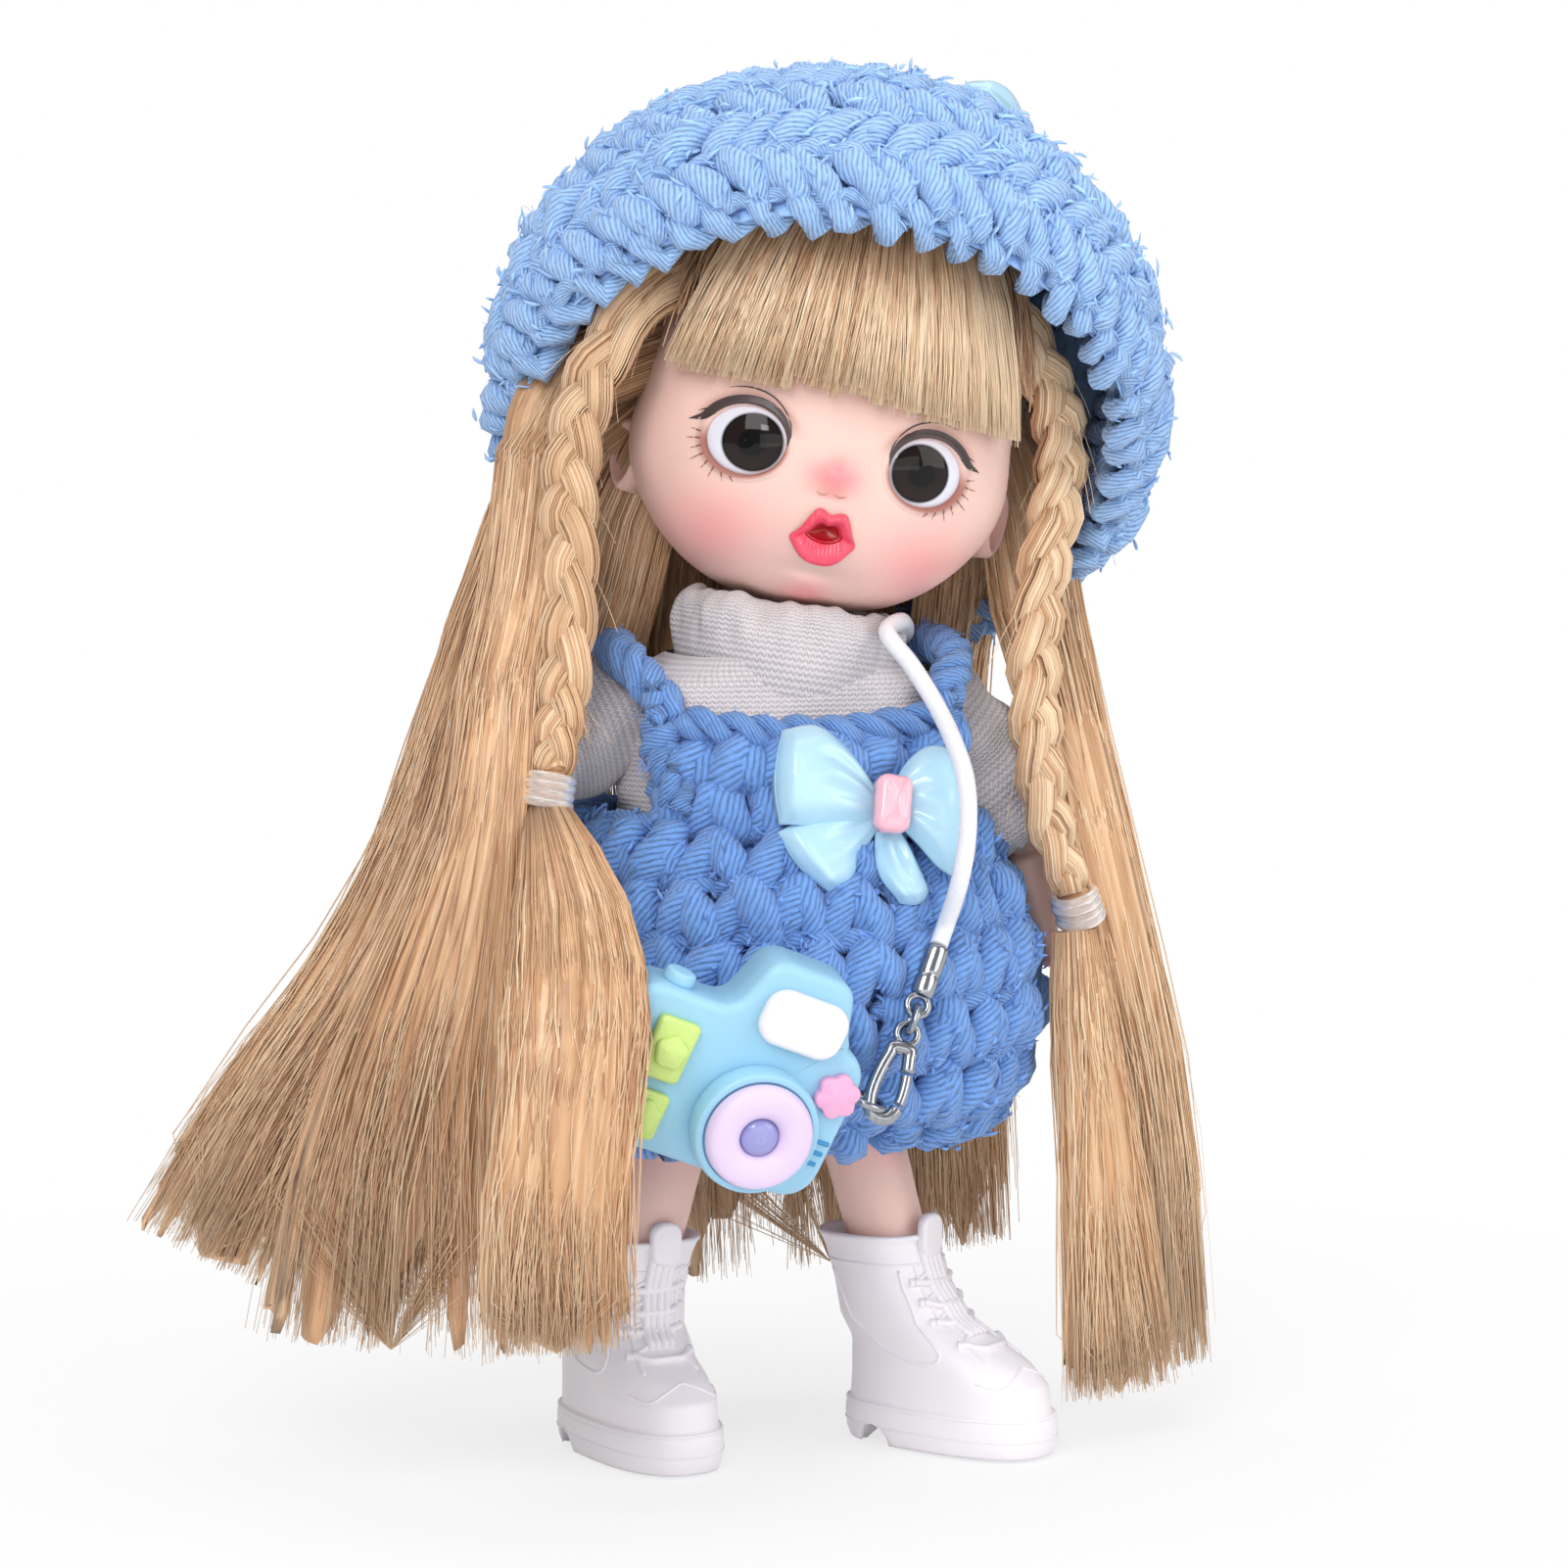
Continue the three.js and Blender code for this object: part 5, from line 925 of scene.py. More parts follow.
def face_relief(x, z):
    """Nose, nostrils' fold, the fold under the lips and the chin, in millimetres."""
    nose = 1.7 * bump_at(x, z, (0, -NOSE_DROP), (2.3, 1.9))
    under = -0.35 * bump_at(x, z, (0, -NOSE_DROP - 2.6), (1.6, 0.7))
    mouth = 0.9 * bump_at(x, z, (0, -LIPS_DROP), (4.6, 3.8))
    fold = -0.7 * bump_at(x, z, (0, -LIPS_DROP - 4.4), (3.2, 0.9))
    chin = 0.7 * bump_at(x, z, (0, -LIPS_DROP - 6.6), (3.2, 1.9))
    return nose + under + mouth + fold + chin


def on_face(x, z, lift=0.0):
    """Points on the face at x and z, lifted off it along its normal."""
    x, z, lift = matched(x, z, lift)
    step = 0.05
    depth = face_depth(x, z)
    slope_x = (face_depth(x + step, z) - depth) / step
    slope_z = (face_depth(x, z + step) - depth) / step
    normal = unit(np.stack([-slope_x, -np.ones_like(x), -slope_z], -1))
    return np.stack([x, -depth, z], -1) + lift[..., None] * normal


EYE_OPENING = (4.8, 4.25)
LID_RINGS = [
    (1.24, -0.1), (1.17, 0.03), (1.1, 0.1), (1.04, 0.16), (1.0, 0.16), (0.985, 0.02), (0.965, -0.4),
    (0.95, -2.4),
]


def eye_share(x, z, side):
    """A place on the face as a share of an eye's opening from its middle, and the angle outwards."""
    out = (side * x - EYE_X) / EYE_OPENING[0]
    up = (z + EYE_DROP) / EYE_OPENING[1]
    return np.hypot(out, up), np.arctan2(up, out)


def rim_on(x, z):
    """How brown the face is round the eyes: a lid's shade above, and a rim below that is wider outwards."""
    rim = 0.0
    for side in (-1, 1):
        away, angle = eye_share(x, z, side)
        up = np.sin(angle)
        lid = 0.5 * soft_step(0.1, 0.7, up) * hill(away, 1.24, 0.14)
        spread = 0.07 + 0.07 * soft_step(-0.3, 0.8, np.cos(angle))
        low = 0.85 * soft_step(0.45, -0.25, up) * hill(away, 1.0, spread)
        rim = rim + lid + low
    return np.clip(rim, 0, 1)


def blush_on(x, z):
    """How pink the face is: cheeks, nose and chin."""
    cheeks = sum(0.48 * bump_at(x, z, (side * 12.8, -15.4), (6.2, 4.6)) for side in (-1, 1))
    nose = 0.85 * bump_at(x, z, (0.1, -NOSE_DROP), (3.1, 2.2))
    chin = 0.62 * bump_at(x, z, (0, -21), (2.9, 1.5))
    return np.clip(cheeks + nose + chin, 0, 1)


def dense(low, high, count, middle, spread, gain):
    """Values from low to high that crowd together round a middle."""
    even = np.linspace(low, high, 2000)
    weight = 1 + gain * np.exp(-(((even - middle) / spread) ** 4))
    total = np.cumsum(weight)
    return np.interp(np.linspace(total[0], total[-1], count), total, even)


def head_shape():
    """The head: its ball with the face's relief, and a pocket behind each eye's opening."""
    across = dense(-math.pi, math.pi, 221, 0, 0.95, 5)[:-1]
    down = dense(0.02, math.pi - 0.02, 160, 1.95, 0.8, 4)[::-1]
    points = head_point(across[None, :], down[:, None])
    x, z = points[..., 0], points[..., 2]
    front = points[..., 1] < 0
    points[..., 1] -= np.where(front, face_relief(x, z), 0)
    pocket = np.zeros_like(x)
    for side in (-1, 1):
        away = np.hypot((x - side * EYE_X) / EYE_OPENING[0], (z + EYE_DROP) / EYE_OPENING[1])
        pocket = np.maximum(pocket, np.clip((1.1 - away) / 0.1, 0, 1) * 4.5)
    away = np.hypot(x / 2.1, (z + LIPS_DROP - 0.2) / 1.15)
    pocket = np.maximum(pocket, np.clip((1.15 - away) / 0.2, 0, 1) * 3)
    points[..., 1] += np.where(front, pocket, 0)
    face = points[..., 1] < 2
    return surface(
        points, caps=(True, True), marks={"blush": blush_on(x, z) * face, "rim": rim_on(x, z) * face}
    )


def lid_shape(side):
    """A lid: rings round the eye's opening that swell and then tuck in against the eye."""
    angle = even_angles(96)
    share = np.array([ring for ring, _ in LID_RINGS])[:, None]
    lift = np.array([rise for _, rise in LID_RINGS])[:, None]
    x = side * EYE_X + EYE_OPENING[0] * share * np.cos(angle)
    z = -EYE_DROP + EYE_OPENING[1] * share * np.sin(angle)
    return surface(on_face(x, z, lift), marks={"blush": blush_on(x, z), "rim": rim_on(x, z)})


def lid_lift(share):
    """How far the lid stands off the face at a share of the opening's size."""
    rings = LID_RINGS[::-1]
    return np.interp(share, [ring for ring, _ in rings], [rise for _, rise in rings], right=0)


def lid_stroke(side, angles, shares, widths):
    """A painted stroke: a ribbon on the lid at angles round its opening and shares of its size."""
    angle, share, width = spline(np.stack([np.radians(angles), shares, widths], 1), np.linspace(0, 1, 40)).T
    eye = np.array([EYE_X, -EYE_DROP])
    path = eye + np.stack([np.cos(angle), np.sin(angle)], 1) * share[:, None] * EYE_OPENING
    ahead = unit(np.gradient(path, axis=0))
    left = np.stack([-ahead[:, 1], ahead[:, 0]], 1)
    rows = []
    for edge in (-0.5, -0.25, 0, 0.25, 0.5):
        spot = path + edge * np.maximum(width, 0.02)[:, None] * left
        size = np.linalg.norm((spot - eye) / EYE_OPENING, axis=1)
        spot = eye + (spot - eye) * (np.maximum(size, 0.992) / size)[:, None]
        rows.append(on_face(side * spot[:, 0], spot[:, 1], lid_lift(np.maximum(size, 0.992)) + 0.06))
    return surface(np.array(rows)[:, ::side], wrap=False)


LIP_EDGE = [
    (4.2, 0), (3.4, 1.4), (2.8, 2.8), (2.25, 3.6), (1.3, 3.6), (0.5, 3.3), (-0.3, 3.7), (-1.2, 3.8),
    (-1.9, 2.9), (-2.8, 1.3), (-3.8, 0), (-3.1, -1.0), (-2.1, -1.85), (-0.9, -2.3), (0.2, -2.4), (1.3, -2.3),
    (2.4, -1.8), (3.4, -0.95),
]
MOUTH_EDGE = [
    (2.1, 0.75), (1.95, 1.2), (1.75, 1.6), (1.4, 1.85), (0.8, 1.85), (0.25, 1.75), (-0.3, 1.95), (-0.75, 1.8),
    (-1.15, 1.4), (-1.5, 1.0), (-1.8, 0.65), (-1.45, 0.35), (-1.0, 0.15), (-0.45, 0.0), (0.15, -0.05),
    (0.75, 0.0), (1.3, 0.15), (1.75, 0.4),
]


def closed(points, count):
    """A closed curve through points, as count points."""
    points = np.asarray(points, float)
    around = np.vstack([points[-2:], points, points[:3]])
    steps = len(around) - 1
    shares = (2 + len(points) * np.arange(count) / count) / steps
    return spline(around, shares)


def lips_shapes():
    """The lips, a ring that swells between its outline and the mouth, and the hollow of the mouth."""
    out = closed(LIP_EDGE, 144)
    hole = closed(MOUTH_EDGE, 144)
    share = np.linspace(1, 0, 18)[:, None, None]
    place = hole + (out - hole) * share
    x = place[..., 0]
    z = place[..., 1] - LIPS_DROP - 0.6
    share = share[..., 0]
    upper = soft_step(-0.2, 0.9, out[:, 1])
    full = 1.75 - 0.55 * upper
    corner = np.clip(1 - (np.abs(out[:, 0]) / 4.3) ** 4, 0.1, 1)
    swell = full * corner * np.sin(math.pi * np.clip(1.02 - share, 0, 1) ** 0.75)
    ridge = 0.3 * upper * hill(share, 0.93, 0.08) * corner
    groove = 0.07 * np.cos(15 * x) * np.sin(math.pi * share)
    lips = surface(on_face(x, z, swell + ridge + groove + 0.02 - 0.5 * np.clip(0.12 - share, 0, 1)))
    deep = np.linspace(0, 1, 7)[:, None]
    middle = hole.mean(0)
    inner = middle + (hole - middle) * (1.1 - 1.05 * deep[..., None])
    throat = on_face(inner[..., 0], inner[..., 1] - LIPS_DROP - 0.6, 0.25 - 1.6 * np.sqrt(deep))
    return lips, surface(throat, caps=(False, True))


def ear_shape(side):
    """An ear: a dish with a rolled rim, turned back on the side of the head."""
    angle = even_angles(48)
    share = np.linspace(1, 0.02, 16)[:, None]
    rim = 1.5 * hill(share, 0.78, 0.2)
    dish = 1.2 - 0.9 * hill(share, 0.25, 0.3)
    lobe = 1 + 0.22 * np.sin(angle)
    back = 3.1 * share * np.cos(angle) * lobe + 0.4
    up = EAR_HEIGHT / 2 * share * np.sin(angle)
    out = np.where(share > 0.97, -1.6, rim + dish - 0.9)
    turn = math.radians(32)
    x = HEAD_HALF_WIDTH + CHEEK_SWELL - 0.4 + out * math.cos(turn) + back * math.sin(turn)
    y = EAR_BACK + back * math.cos(turn) - out * math.sin(turn)
    z = np.broadcast_to(up - EAR_DROP, x.shape)
    grid = np.stack([side * x, y, z], -1)
    pink = 0.35 * hill(share, 0.3, 0.3)
    return surface(grid[:, ::side], caps=(True, True), marks={"blush": np.broadcast_to(pink, x.shape)})


class DOLL_OT_head(bpy.types.Operator):
    """Makes the head with its lids, ears, painted lines and lips."""

    bl_idname = "doll.make_head"
    bl_label = "Head and face"

    def execute(self, context):
        skin = skin_finish()
        parts = [head_shape()] + [make(side) for make in (lid_shape, ear_shape) for side in (-1, 1)]
        head = add_piece("head", joined(*parts).placed(SKULL), skin, "head", ["head_shell"])
        head.data.validate()
        liner = paint_finish("liner", 0.4)
        lash = paint_finish("lash", 0.5)
        for name, side in SIDES.items():
            upper = lid_stroke(
                side, [178, 152, 112, 72, 42, 24, 13], [1.01, 1.06, 1.11, 1.12, 1.12, 1.17, 1.44],
                [0.12, 0.65, 1.15, 1.2, 1.25, 0.9, 0.05],
            )
            crease = lid_stroke(side, [166, 134, 108, 87, 66], [1.08, 1.25, 1.4, 1.47, 1.5],
                                [0.1, 0.17, 0.2, 0.17, 0.04])
            flick = lid_stroke(side, [40, 32, 26], [1.16, 1.26, 1.36], [0.3, 0.18, 0.03])
            lines = joined(upper, crease, flick).placed(SKULL)
            add_piece(f"{name}_eye_liner", lines, liner, "head")
            strokes = [
                lid_stroke(side, [place, place - 2 * turn], [1.07, 1.1 + reach], [0.22, 0.05])
                for place, turn, reach in zip(
                    (2, -8, -19, -31, -43, -55, -67, -79), (-1, 0, 1, 1, 2, 2, 3, 3),
                    (0.22, 0.3, 0.24, 0.34, 0.24, 0.28, 0.18, 0.12),
                )
            ]
            add_piece(f"{name}_lower_lashes", joined(*strokes).placed(SKULL), lash, "head")
        lips, throat = lips_shapes()
        add_piece("lips", lips.placed(SKULL), paint_finish("lips", 0.3), "head")
        add_piece("mouth", throat.placed(SKULL), paint_finish("mouth", 0.35), "head")
        t = np.linspace(-1, 1, 24)
        nostrils = [
            tubes(on_face(centre + 0.85 * t, -NOSE_DROP - 2.35 + 0.3 * t**2, 0.0)[None],
                  0.14 * (1.05 - t**2), 6, (1, 0.2, 0.1))
            for centre in (-1.05, 1.05)
        ]
        add_piece("nose_fold", joined(*nostrils).placed(SKULL), paint_finish("nostril", 0.5), "head")
        return {"FINISHED"}


IRIS_RADIUS = 3.5
IRIS_INWARD = 0.85


def eye_shape(side):
    """The eye that shows in a lid: a dome over the opening, with marks for an iris turned inwards and for the
    lower iris, which gets a painted reflection.
    """
    share = np.linspace(1.03, 0.0, 56)[:, None]
    angle = even_angles(96)
    across = EYE_OPENING[0] * share * np.cos(angle)
    up = EYE_OPENING[1] * share * np.sin(angle)
    lift = -0.95 + 1.35 * np.sqrt(np.clip(1.0609 - share**2, 0, 1))
    points = on_face(side * EYE_X + across, -EYE_DROP + up, lift)
    reach = np.hypot(across + side * IRIS_INWARD, up + 0.1) / IRIS_RADIUS
    # The mark low is where the lower iris gets a painted reflection.
    below = np.clip(-(up + 0.3) / IRIS_RADIUS, 0, 1)
    low = below * np.clip((reach - 0.35) / 0.25, 0, 1) * np.clip((0.97 - reach) / 0.15, 0, 1)
    return surface(points, caps=(False, True), marks={"gaze": reach, "low": low})


class DOLL_OT_eyes(bpy.types.Operator):
    """Makes the two glass eyes."""

    bl_idname = "doll.make_eyes"
    bl_label = "Eyes"

    def execute(self, context):
        for name, side in SIDES.items():
            eye = eye_shape(side).placed(SKULL)
            add_piece(f"{name}_glass_eye", eye, eye_finish(), "head", [f"{name}_eye"])
        return {"FINISHED"}


# Hair

class Lock:
    """A lock of hair: a path, the way its flat side faces, and half widths and half depths along it."""

    def __init__(self, path, facing, widths, depths):
        self.path = DOLL.out(path)
        self.length = gaps_along(self.path).sum()
        self.facing = np.array(facing, float)
        self.reference = self.facing + [0.02, 0, 0.03]
        self.widths = widths
        self.depths = depths

    def at(self, shares):
        """The middle, the side way, the front way, and the half width and depth at shares of the length."""
        step = 0.004
        ahead = unit(
            spline(self.path, np.minimum(shares + step, 1)) - spline(self.path, np.maximum(shares - step, 0))
        )
        side = unit(np.cross(ahead, self.facing))
        width = read(self.widths, shares)[..., None]
        depth = read(self.depths, shares)[..., None]
        beyond = np.maximum(shares - 1, 0)[..., None] * self.length * ahead
        return spline(self.path, shares) + beyond, side, np.cross(side, ahead), width, depth


RIGHT_HAIR_END = 22
LEFT_HAIR_END = 6
BACK_HAIR_END = 16
LOCKS = {
    "right_braid_tail": (620, Lock(
        [[-32.9, -18.2, 80.8], [-33.4, -31, 72], [-34.8, -40, 61], [-36.6, -43.4, 49], [-38, -44, 36],
         [-38, -44, RIGHT_HAIR_END]],
        [-0.2, -1, 0], [2.8, 6.6, 8.6, 8.8, 9.2, 9.8], [2.4, 2.6, 2.6, 2.6, 2.6, 2.4])),
    "left_braid_tail": (560, Lock(
        [[35.3, -10.8, 64], [36, -11.6, 54], [38.2, -12, 35], [41, -12, LEFT_HAIR_END]],
        [0.1, -1, 0], [2.8, 4, 6, 8.6], [2.4, 2.8, 2.8, 2.6])),
    "right_side_hair": (1080, Lock(
        [[-10, 1, 138], [-27.4, 1, 130], [-32, -6, 113], [-37.4, -13, 96], [-40.4, -16.5, 78],
         [-45.6, -17.5, 59], [-50, -18, 40], [-52, -18, RIGHT_HAIR_END - 4]],
        [-0.45, -1, 0], [5, 5, 4.6, 4.8, 6, 10.4, 15, 18], [2.4, 2.4, 2.4, 2.4, 2.6, 3, 3.4, 3])),
    "right_outer_hair": (900, Lock(
        [[-12, 8, 134], [-25, 10, 122], [-32.6, 12, 104], [-37.6, 13, 88], [-43, 11, 73],
         [-51.6, 7, 57], [-62.4, 5, 42], [-71, 4, 26]],
        [-0.5, -1, 0.2], [5, 5, 4.6, 5, 6, 7.5, 9.4, 11], [2.6, 2.6, 2.4, 2.4, 2.6, 2.6, 2.6, 2.4])),
    "left_side_hair": (860, Lock(
        [[16, 5, 137], [31.4, 4, 124], [33.4, 3, 110], [35.4, 1, 98], [37.2, -6, 83], [41, -7, 66],
         [46.4, -2, 50], [50, 1, 34], [52, 1, LEFT_HAIR_END]],
        [0.4, -1, 0], [5, 7, 7, 7, 6.6, 6.4, 6.8, 7.4, 8], [2.6, 2.6, 2.6, 2.6, 2.6, 2.8, 2.8, 2.8, 2.4])),
    "right_inner_hair": (560, Lock(
        [[-13, 6, 124], [-17, 9.5, 112], [-18, 12.5, 103], [-20, 18.5, 94.5], [-21.5, 25, 82], [-19, 30, 64],
         [-13, 32, 42], [-9, 31.5, BACK_HAIR_END + 3]],
        [-0.3, -1, 0], [5, 6, 5.5, 6, 7, 8, 9, 9.5], [2.4, 2.4])),
    "left_inner_hair": (560, Lock(
        [[23, 4, 126], [26.4, 7.5, 113], [26.8, 11, 103.5], [27.4, 17, 95], [29, 25, 82], [31, 30.5, 64],
         [33.5, 32, 42], [34.5, 31.5, BACK_HAIR_END + 1]],
        [0.3, -1, 0], [5, 6.4, 6.6, 6.8, 7.2, 8, 8.5, 8.5], [2.4, 2.4])),
    "back_hair": (900, Lock(
        [[6, 18, 128], [5, 20.4, 110], [4.6, 21.4, 98], [6, 25, 86], [9.6, 31.4, 66], [13.4, 32, 44],
         [16, 31, BACK_HAIR_END]],
        [0, -1, 0], [17, 19, 20, 20, 21, 24, 26], [3, 2.6, 2.2, 2.6, 3, 3, 2.4])),
}
BRAIDS = {
    "right_braid": Lock(
        [[-9, -3, 146], [-18.4, -8.6, 141.5], [-24, -8.5, 134], [-26.6, -8, 127], [-27.8, -8.6, 120],
         [-28.4, -10.5, 113], [-29, -13, 104.5], [-30.4, -15.5, 96], [-31.4, -16.8, 90.5],
         [-32.2, -17.4, 85.8]],
        [-0.5, -1, 0], [3, 3.2, 3.2, 3.2, 3.2, 3.2, 3.1, 2.9, 2.3],
        [2.4, 2.4, 2.4, 2.4, 2.4, 2.4, 2.3, 2.2, 1.9]),
    "left_braid": Lock(
        [[15, -4, 146], [25.4, -10.4, 140], [31.6, -9.5, 132], [34, -8, 124], [33.4, -8, 115.5],
         [31, -9.4, 106], [29.8, -11, 96.7], [29.8, -12.2, 87], [31.6, -12, 77.5], [35, -10.6, 69]],
        [0.4, -1, 0], [3, 3.2, 3.4, 3.4, 3.4, 3.4, 3.3, 3, 2.3],
        [2.4, 2.4, 2.4, 2.4, 2.4, 2.4, 2.3, 2.2, 1.9]),
}
# Long hair names the neck at its roots and the torso below the shoulders, with a height for each; such pieces
# stay where they are made.
HAIR_RIDE = ("neck", "torso", (0, 0, 102), (0, 0, 70))
PLAIT_LENGTH = 20
STRAND_STEPS = 10
FLYAWAYS = 30
ROPE_STRANDS = 72
BRAID_FUZZ = 46
BANGS_STRANDS = 2400
BANGS_REACH = 21
BANGS_CLUMPS = 64
BANGS_ROOT = 0.3
CAP_STRANDS = 560


def soft_step(low, high, values):
    """0 below low and 1 above high, with a smooth rise between."""
    share = np.clip((values - low) / (high - low), 0, 1)
    return share * share * (3 - 2 * share)


def lock_core(lock, cut, rng):
    """The body of a lock: a ridged sheet that thins to its ragged end, where its front and back meet."""
    rows = np.linspace(0, 1, 46)[:, None]
    columns = 96
    angle = even_angles(columns)
    share = rows * (0.975 + cut(0.86 * np.cos(angle)))
    middle, side, out, width, depth = lock.at(share)
    ridge = 0.82 + 0.1 * rng.random(columns)[:, None]
    thin = 1 - 0.97 * soft_step(0.7, 1.0, rows)[..., None]
    grid = middle + width * ridge * np.cos(angle)[:, None] * side
    grid = grid + depth * ridge * thin * np.sin(angle)[:, None] * out
    # A random tone per ridge, with painted shade that darkens the lock towards its root under the hat.
    tone = 0.2 + 0.4 * rng.random(columns)[None] + 0.2 * rows
    core = surface(grid, caps=(True, False), marks={"tone": tone})
    last = (len(rows) - 1) * columns
    near = np.arange(columns // 2)
    far = (columns - near) % columns
    core.faces.append(last + np.stack([near, near + 1, (columns - near - 1) % columns, far], 1))
    core.corners.append(np.zeros((columns // 2, 4, 2)))
    return core


def lock_shape(lock, count, seed):
    """A lock: a body, and strands that start spread over its section, gather into clumps and end raggedly."""
    rng = np.random.default_rng(seed)
    count = int(count * sizes().hair_density)
    tips = rng.uniform(-0.08, 0.035, 30)

    def cut(across):
        """How far the end is cut short at a place across the lock."""
        return np.interp(across, np.linspace(-1.05, 1.05, 30), tips)

    core = lock_core(lock, cut, rng)
    clumps = max(6, count // 26)
    turn = TURN * rng.random(clumps)
    reach = np.sqrt(rng.uniform(0.3, 1, clumps))
    clump_x = reach * np.cos(turn)
    clump_y = reach * np.sin(turn)
    own = rng.integers(0, clumps, count)
    turn = TURN * rng.random(count)
    reach = np.sqrt(rng.uniform(0.5, 1.06, count))
    x = reach * np.cos(turn)
    y = reach * np.sin(turn)
    end = 1 + cut(0.3 * x + 0.7 * clump_x[own]) + rng.normal(0, 0.02, count)
    share = np.linspace(0, 1, STRAND_STEPS)[None] * end[:, None]
    pull = 0.72 * soft_step(0.3, 1.0, share)
    x = x[:, None] + (clump_x[own] - x)[:, None] * pull
    y = y[:, None] + (clump_y[own] - y)[:, None] * pull
    middle, side, out, width, depth = lock.at(share)
    wave = np.sin(TURN * (share * rng.uniform(2.2, 3.6, count)[:, None] + rng.random(clumps)[own][:, None]))
    drift = rng.normal(0, 0.5, (count, 1)) * soft_step(0.2, 1, share)
    across = width[..., 0] * x + (0.35 * wave + drift) * soft_step(0.05, 0.4, share)
    forward = depth[..., 0] * y + 0.25 * wave * soft_step(0.05, 0.4, share)
    paths = middle + across[..., None] * side + forward[..., None] * out
    tone = np.clip(rng.normal(0.56, 0.14, (count, 1)) + rng.normal(0, 0.12, clumps)[own][:, None], 0.05, 1)
    # Painted shade and light over the random tone: strands darken towards the root under the hat and at the
    # back of the lock, and lighten at its front.
    tone = np.clip(tone + 0.22 * (share - 0.5) + 0.08 * y, 0, 1)
    radius = sizes().strand * (1 - 0.6 * soft_step(0.7, 1.0, np.linspace(0, 1, STRAND_STEPS)))
    strands = tubes(paths, radius, 3, lock.reference, marks={"tone": tone})

    pick = rng.integers(0, count, FLYAWAYS)
    sway = rng.normal(0, 1.9, (FLYAWAYS, 1)) * soft_step(0.15, 1, share[pick])
    stray = paths[pick] + sway[..., None] * side[pick] + 0.6 * np.abs(sway)[..., None] * out[pick]
    flyaways = tubes(stray, radius * 0.5, 3, lock.reference, marks={"tone": 0.85})
    return joined(core, strands, flyaways)


def braid_shape(lock, seed):
    """A plait: three ropes of hair that swing from side to side, a third of a turn apart, and cross."""
    rng = np.random.default_rng(seed)
    steps = 50
    share = np.linspace(0, 1, steps)
    middle, side, out, width, depth = lock.at(share)
    length = gaps_along(middle).sum()
    shapes = []
    for rope in range(3):
        phase = TURN * (share * length / PLAIT_LENGTH + rope / 3)
        plait = soft_step(0.05, 0.26, share)[:, None]
        swing = 0.52 * width * (plait * np.sin(phase)[:, None] + (1 - plait) * (rope - 1))
        dip = 0.42 * depth * plait * np.sin(2 * phase)[:, None]
        line = middle + swing * side + dip * out
        ahead = unit(np.gradient(line, axis=0))
        first = unit(np.cross(ahead, out))
        second = np.cross(first, ahead)
        wide = 0.6 * width[:, 0]
        deep = 0.56 * depth[:, 0]
        # A dark core under each rope's strands: painted shade between them.
        shapes.append(
            tubes(line[None], 0.88 * np.minimum(wide, deep)[None], 9, lock.facing, marks={"tone": 0.3})
        )
        turn = even_angles(ROPE_STRANDS)[:, None] + 0.5 * share[None] * length / PLAIT_LENGTH
        reach = np.sqrt(rng.uniform(0.72, 1.08, (ROPE_STRANDS, 1)))
        paths = (line[None] + (reach * wide * np.cos(turn))[..., None] * first
                 + (reach * deep * np.sin(turn))[..., None] * second)
        # Painted light and shade: strands on the front of the rope are lighter, and those round its back are
        # darker.
        tone = np.clip(rng.normal(0.58, 0.2, (ROPE_STRANDS, 1)) + 0.16 * np.sin(turn), 0, 1)
        shapes.append(tubes(paths, sizes().strand * 1.15, 3, lock.reference, marks={"tone": tone}))
    begin = rng.uniform(0.12, 0.86, (BRAID_FUZZ, 1))
    along = np.clip(begin + np.linspace(0, 0.1, 6), 0, 1)
    middle, side, out, width, depth = lock.at(along)
    lift = np.linspace(0.7, 1, 6) + np.abs(rng.normal(0, 0.5, (BRAID_FUZZ, 1))) * np.linspace(0, 1, 6)
    turn = TURN * rng.random((BRAID_FUZZ, 1))
    paths = (
        middle + width * (lift * np.cos(turn))[..., None] * side
        + depth * (lift * np.sin(turn))[..., None] * out
    )
    shapes.append(tubes(paths, sizes().strand * 0.45, 3, lock.reference, marks={"tone": 0.8}))
    return joined(*shapes)


def strand_to_height(across, grow, height):
    """The angle down at which the head, grown, has come down to a height, for each angle across."""
    down = np.linspace(0.05, 2.6, 120)
    heights = head_point(across[:, None], down[None], grow[:, None])[..., 2]
    short = np.abs(heights - height[:, None])
    return down[np.argmin(short, 1)]


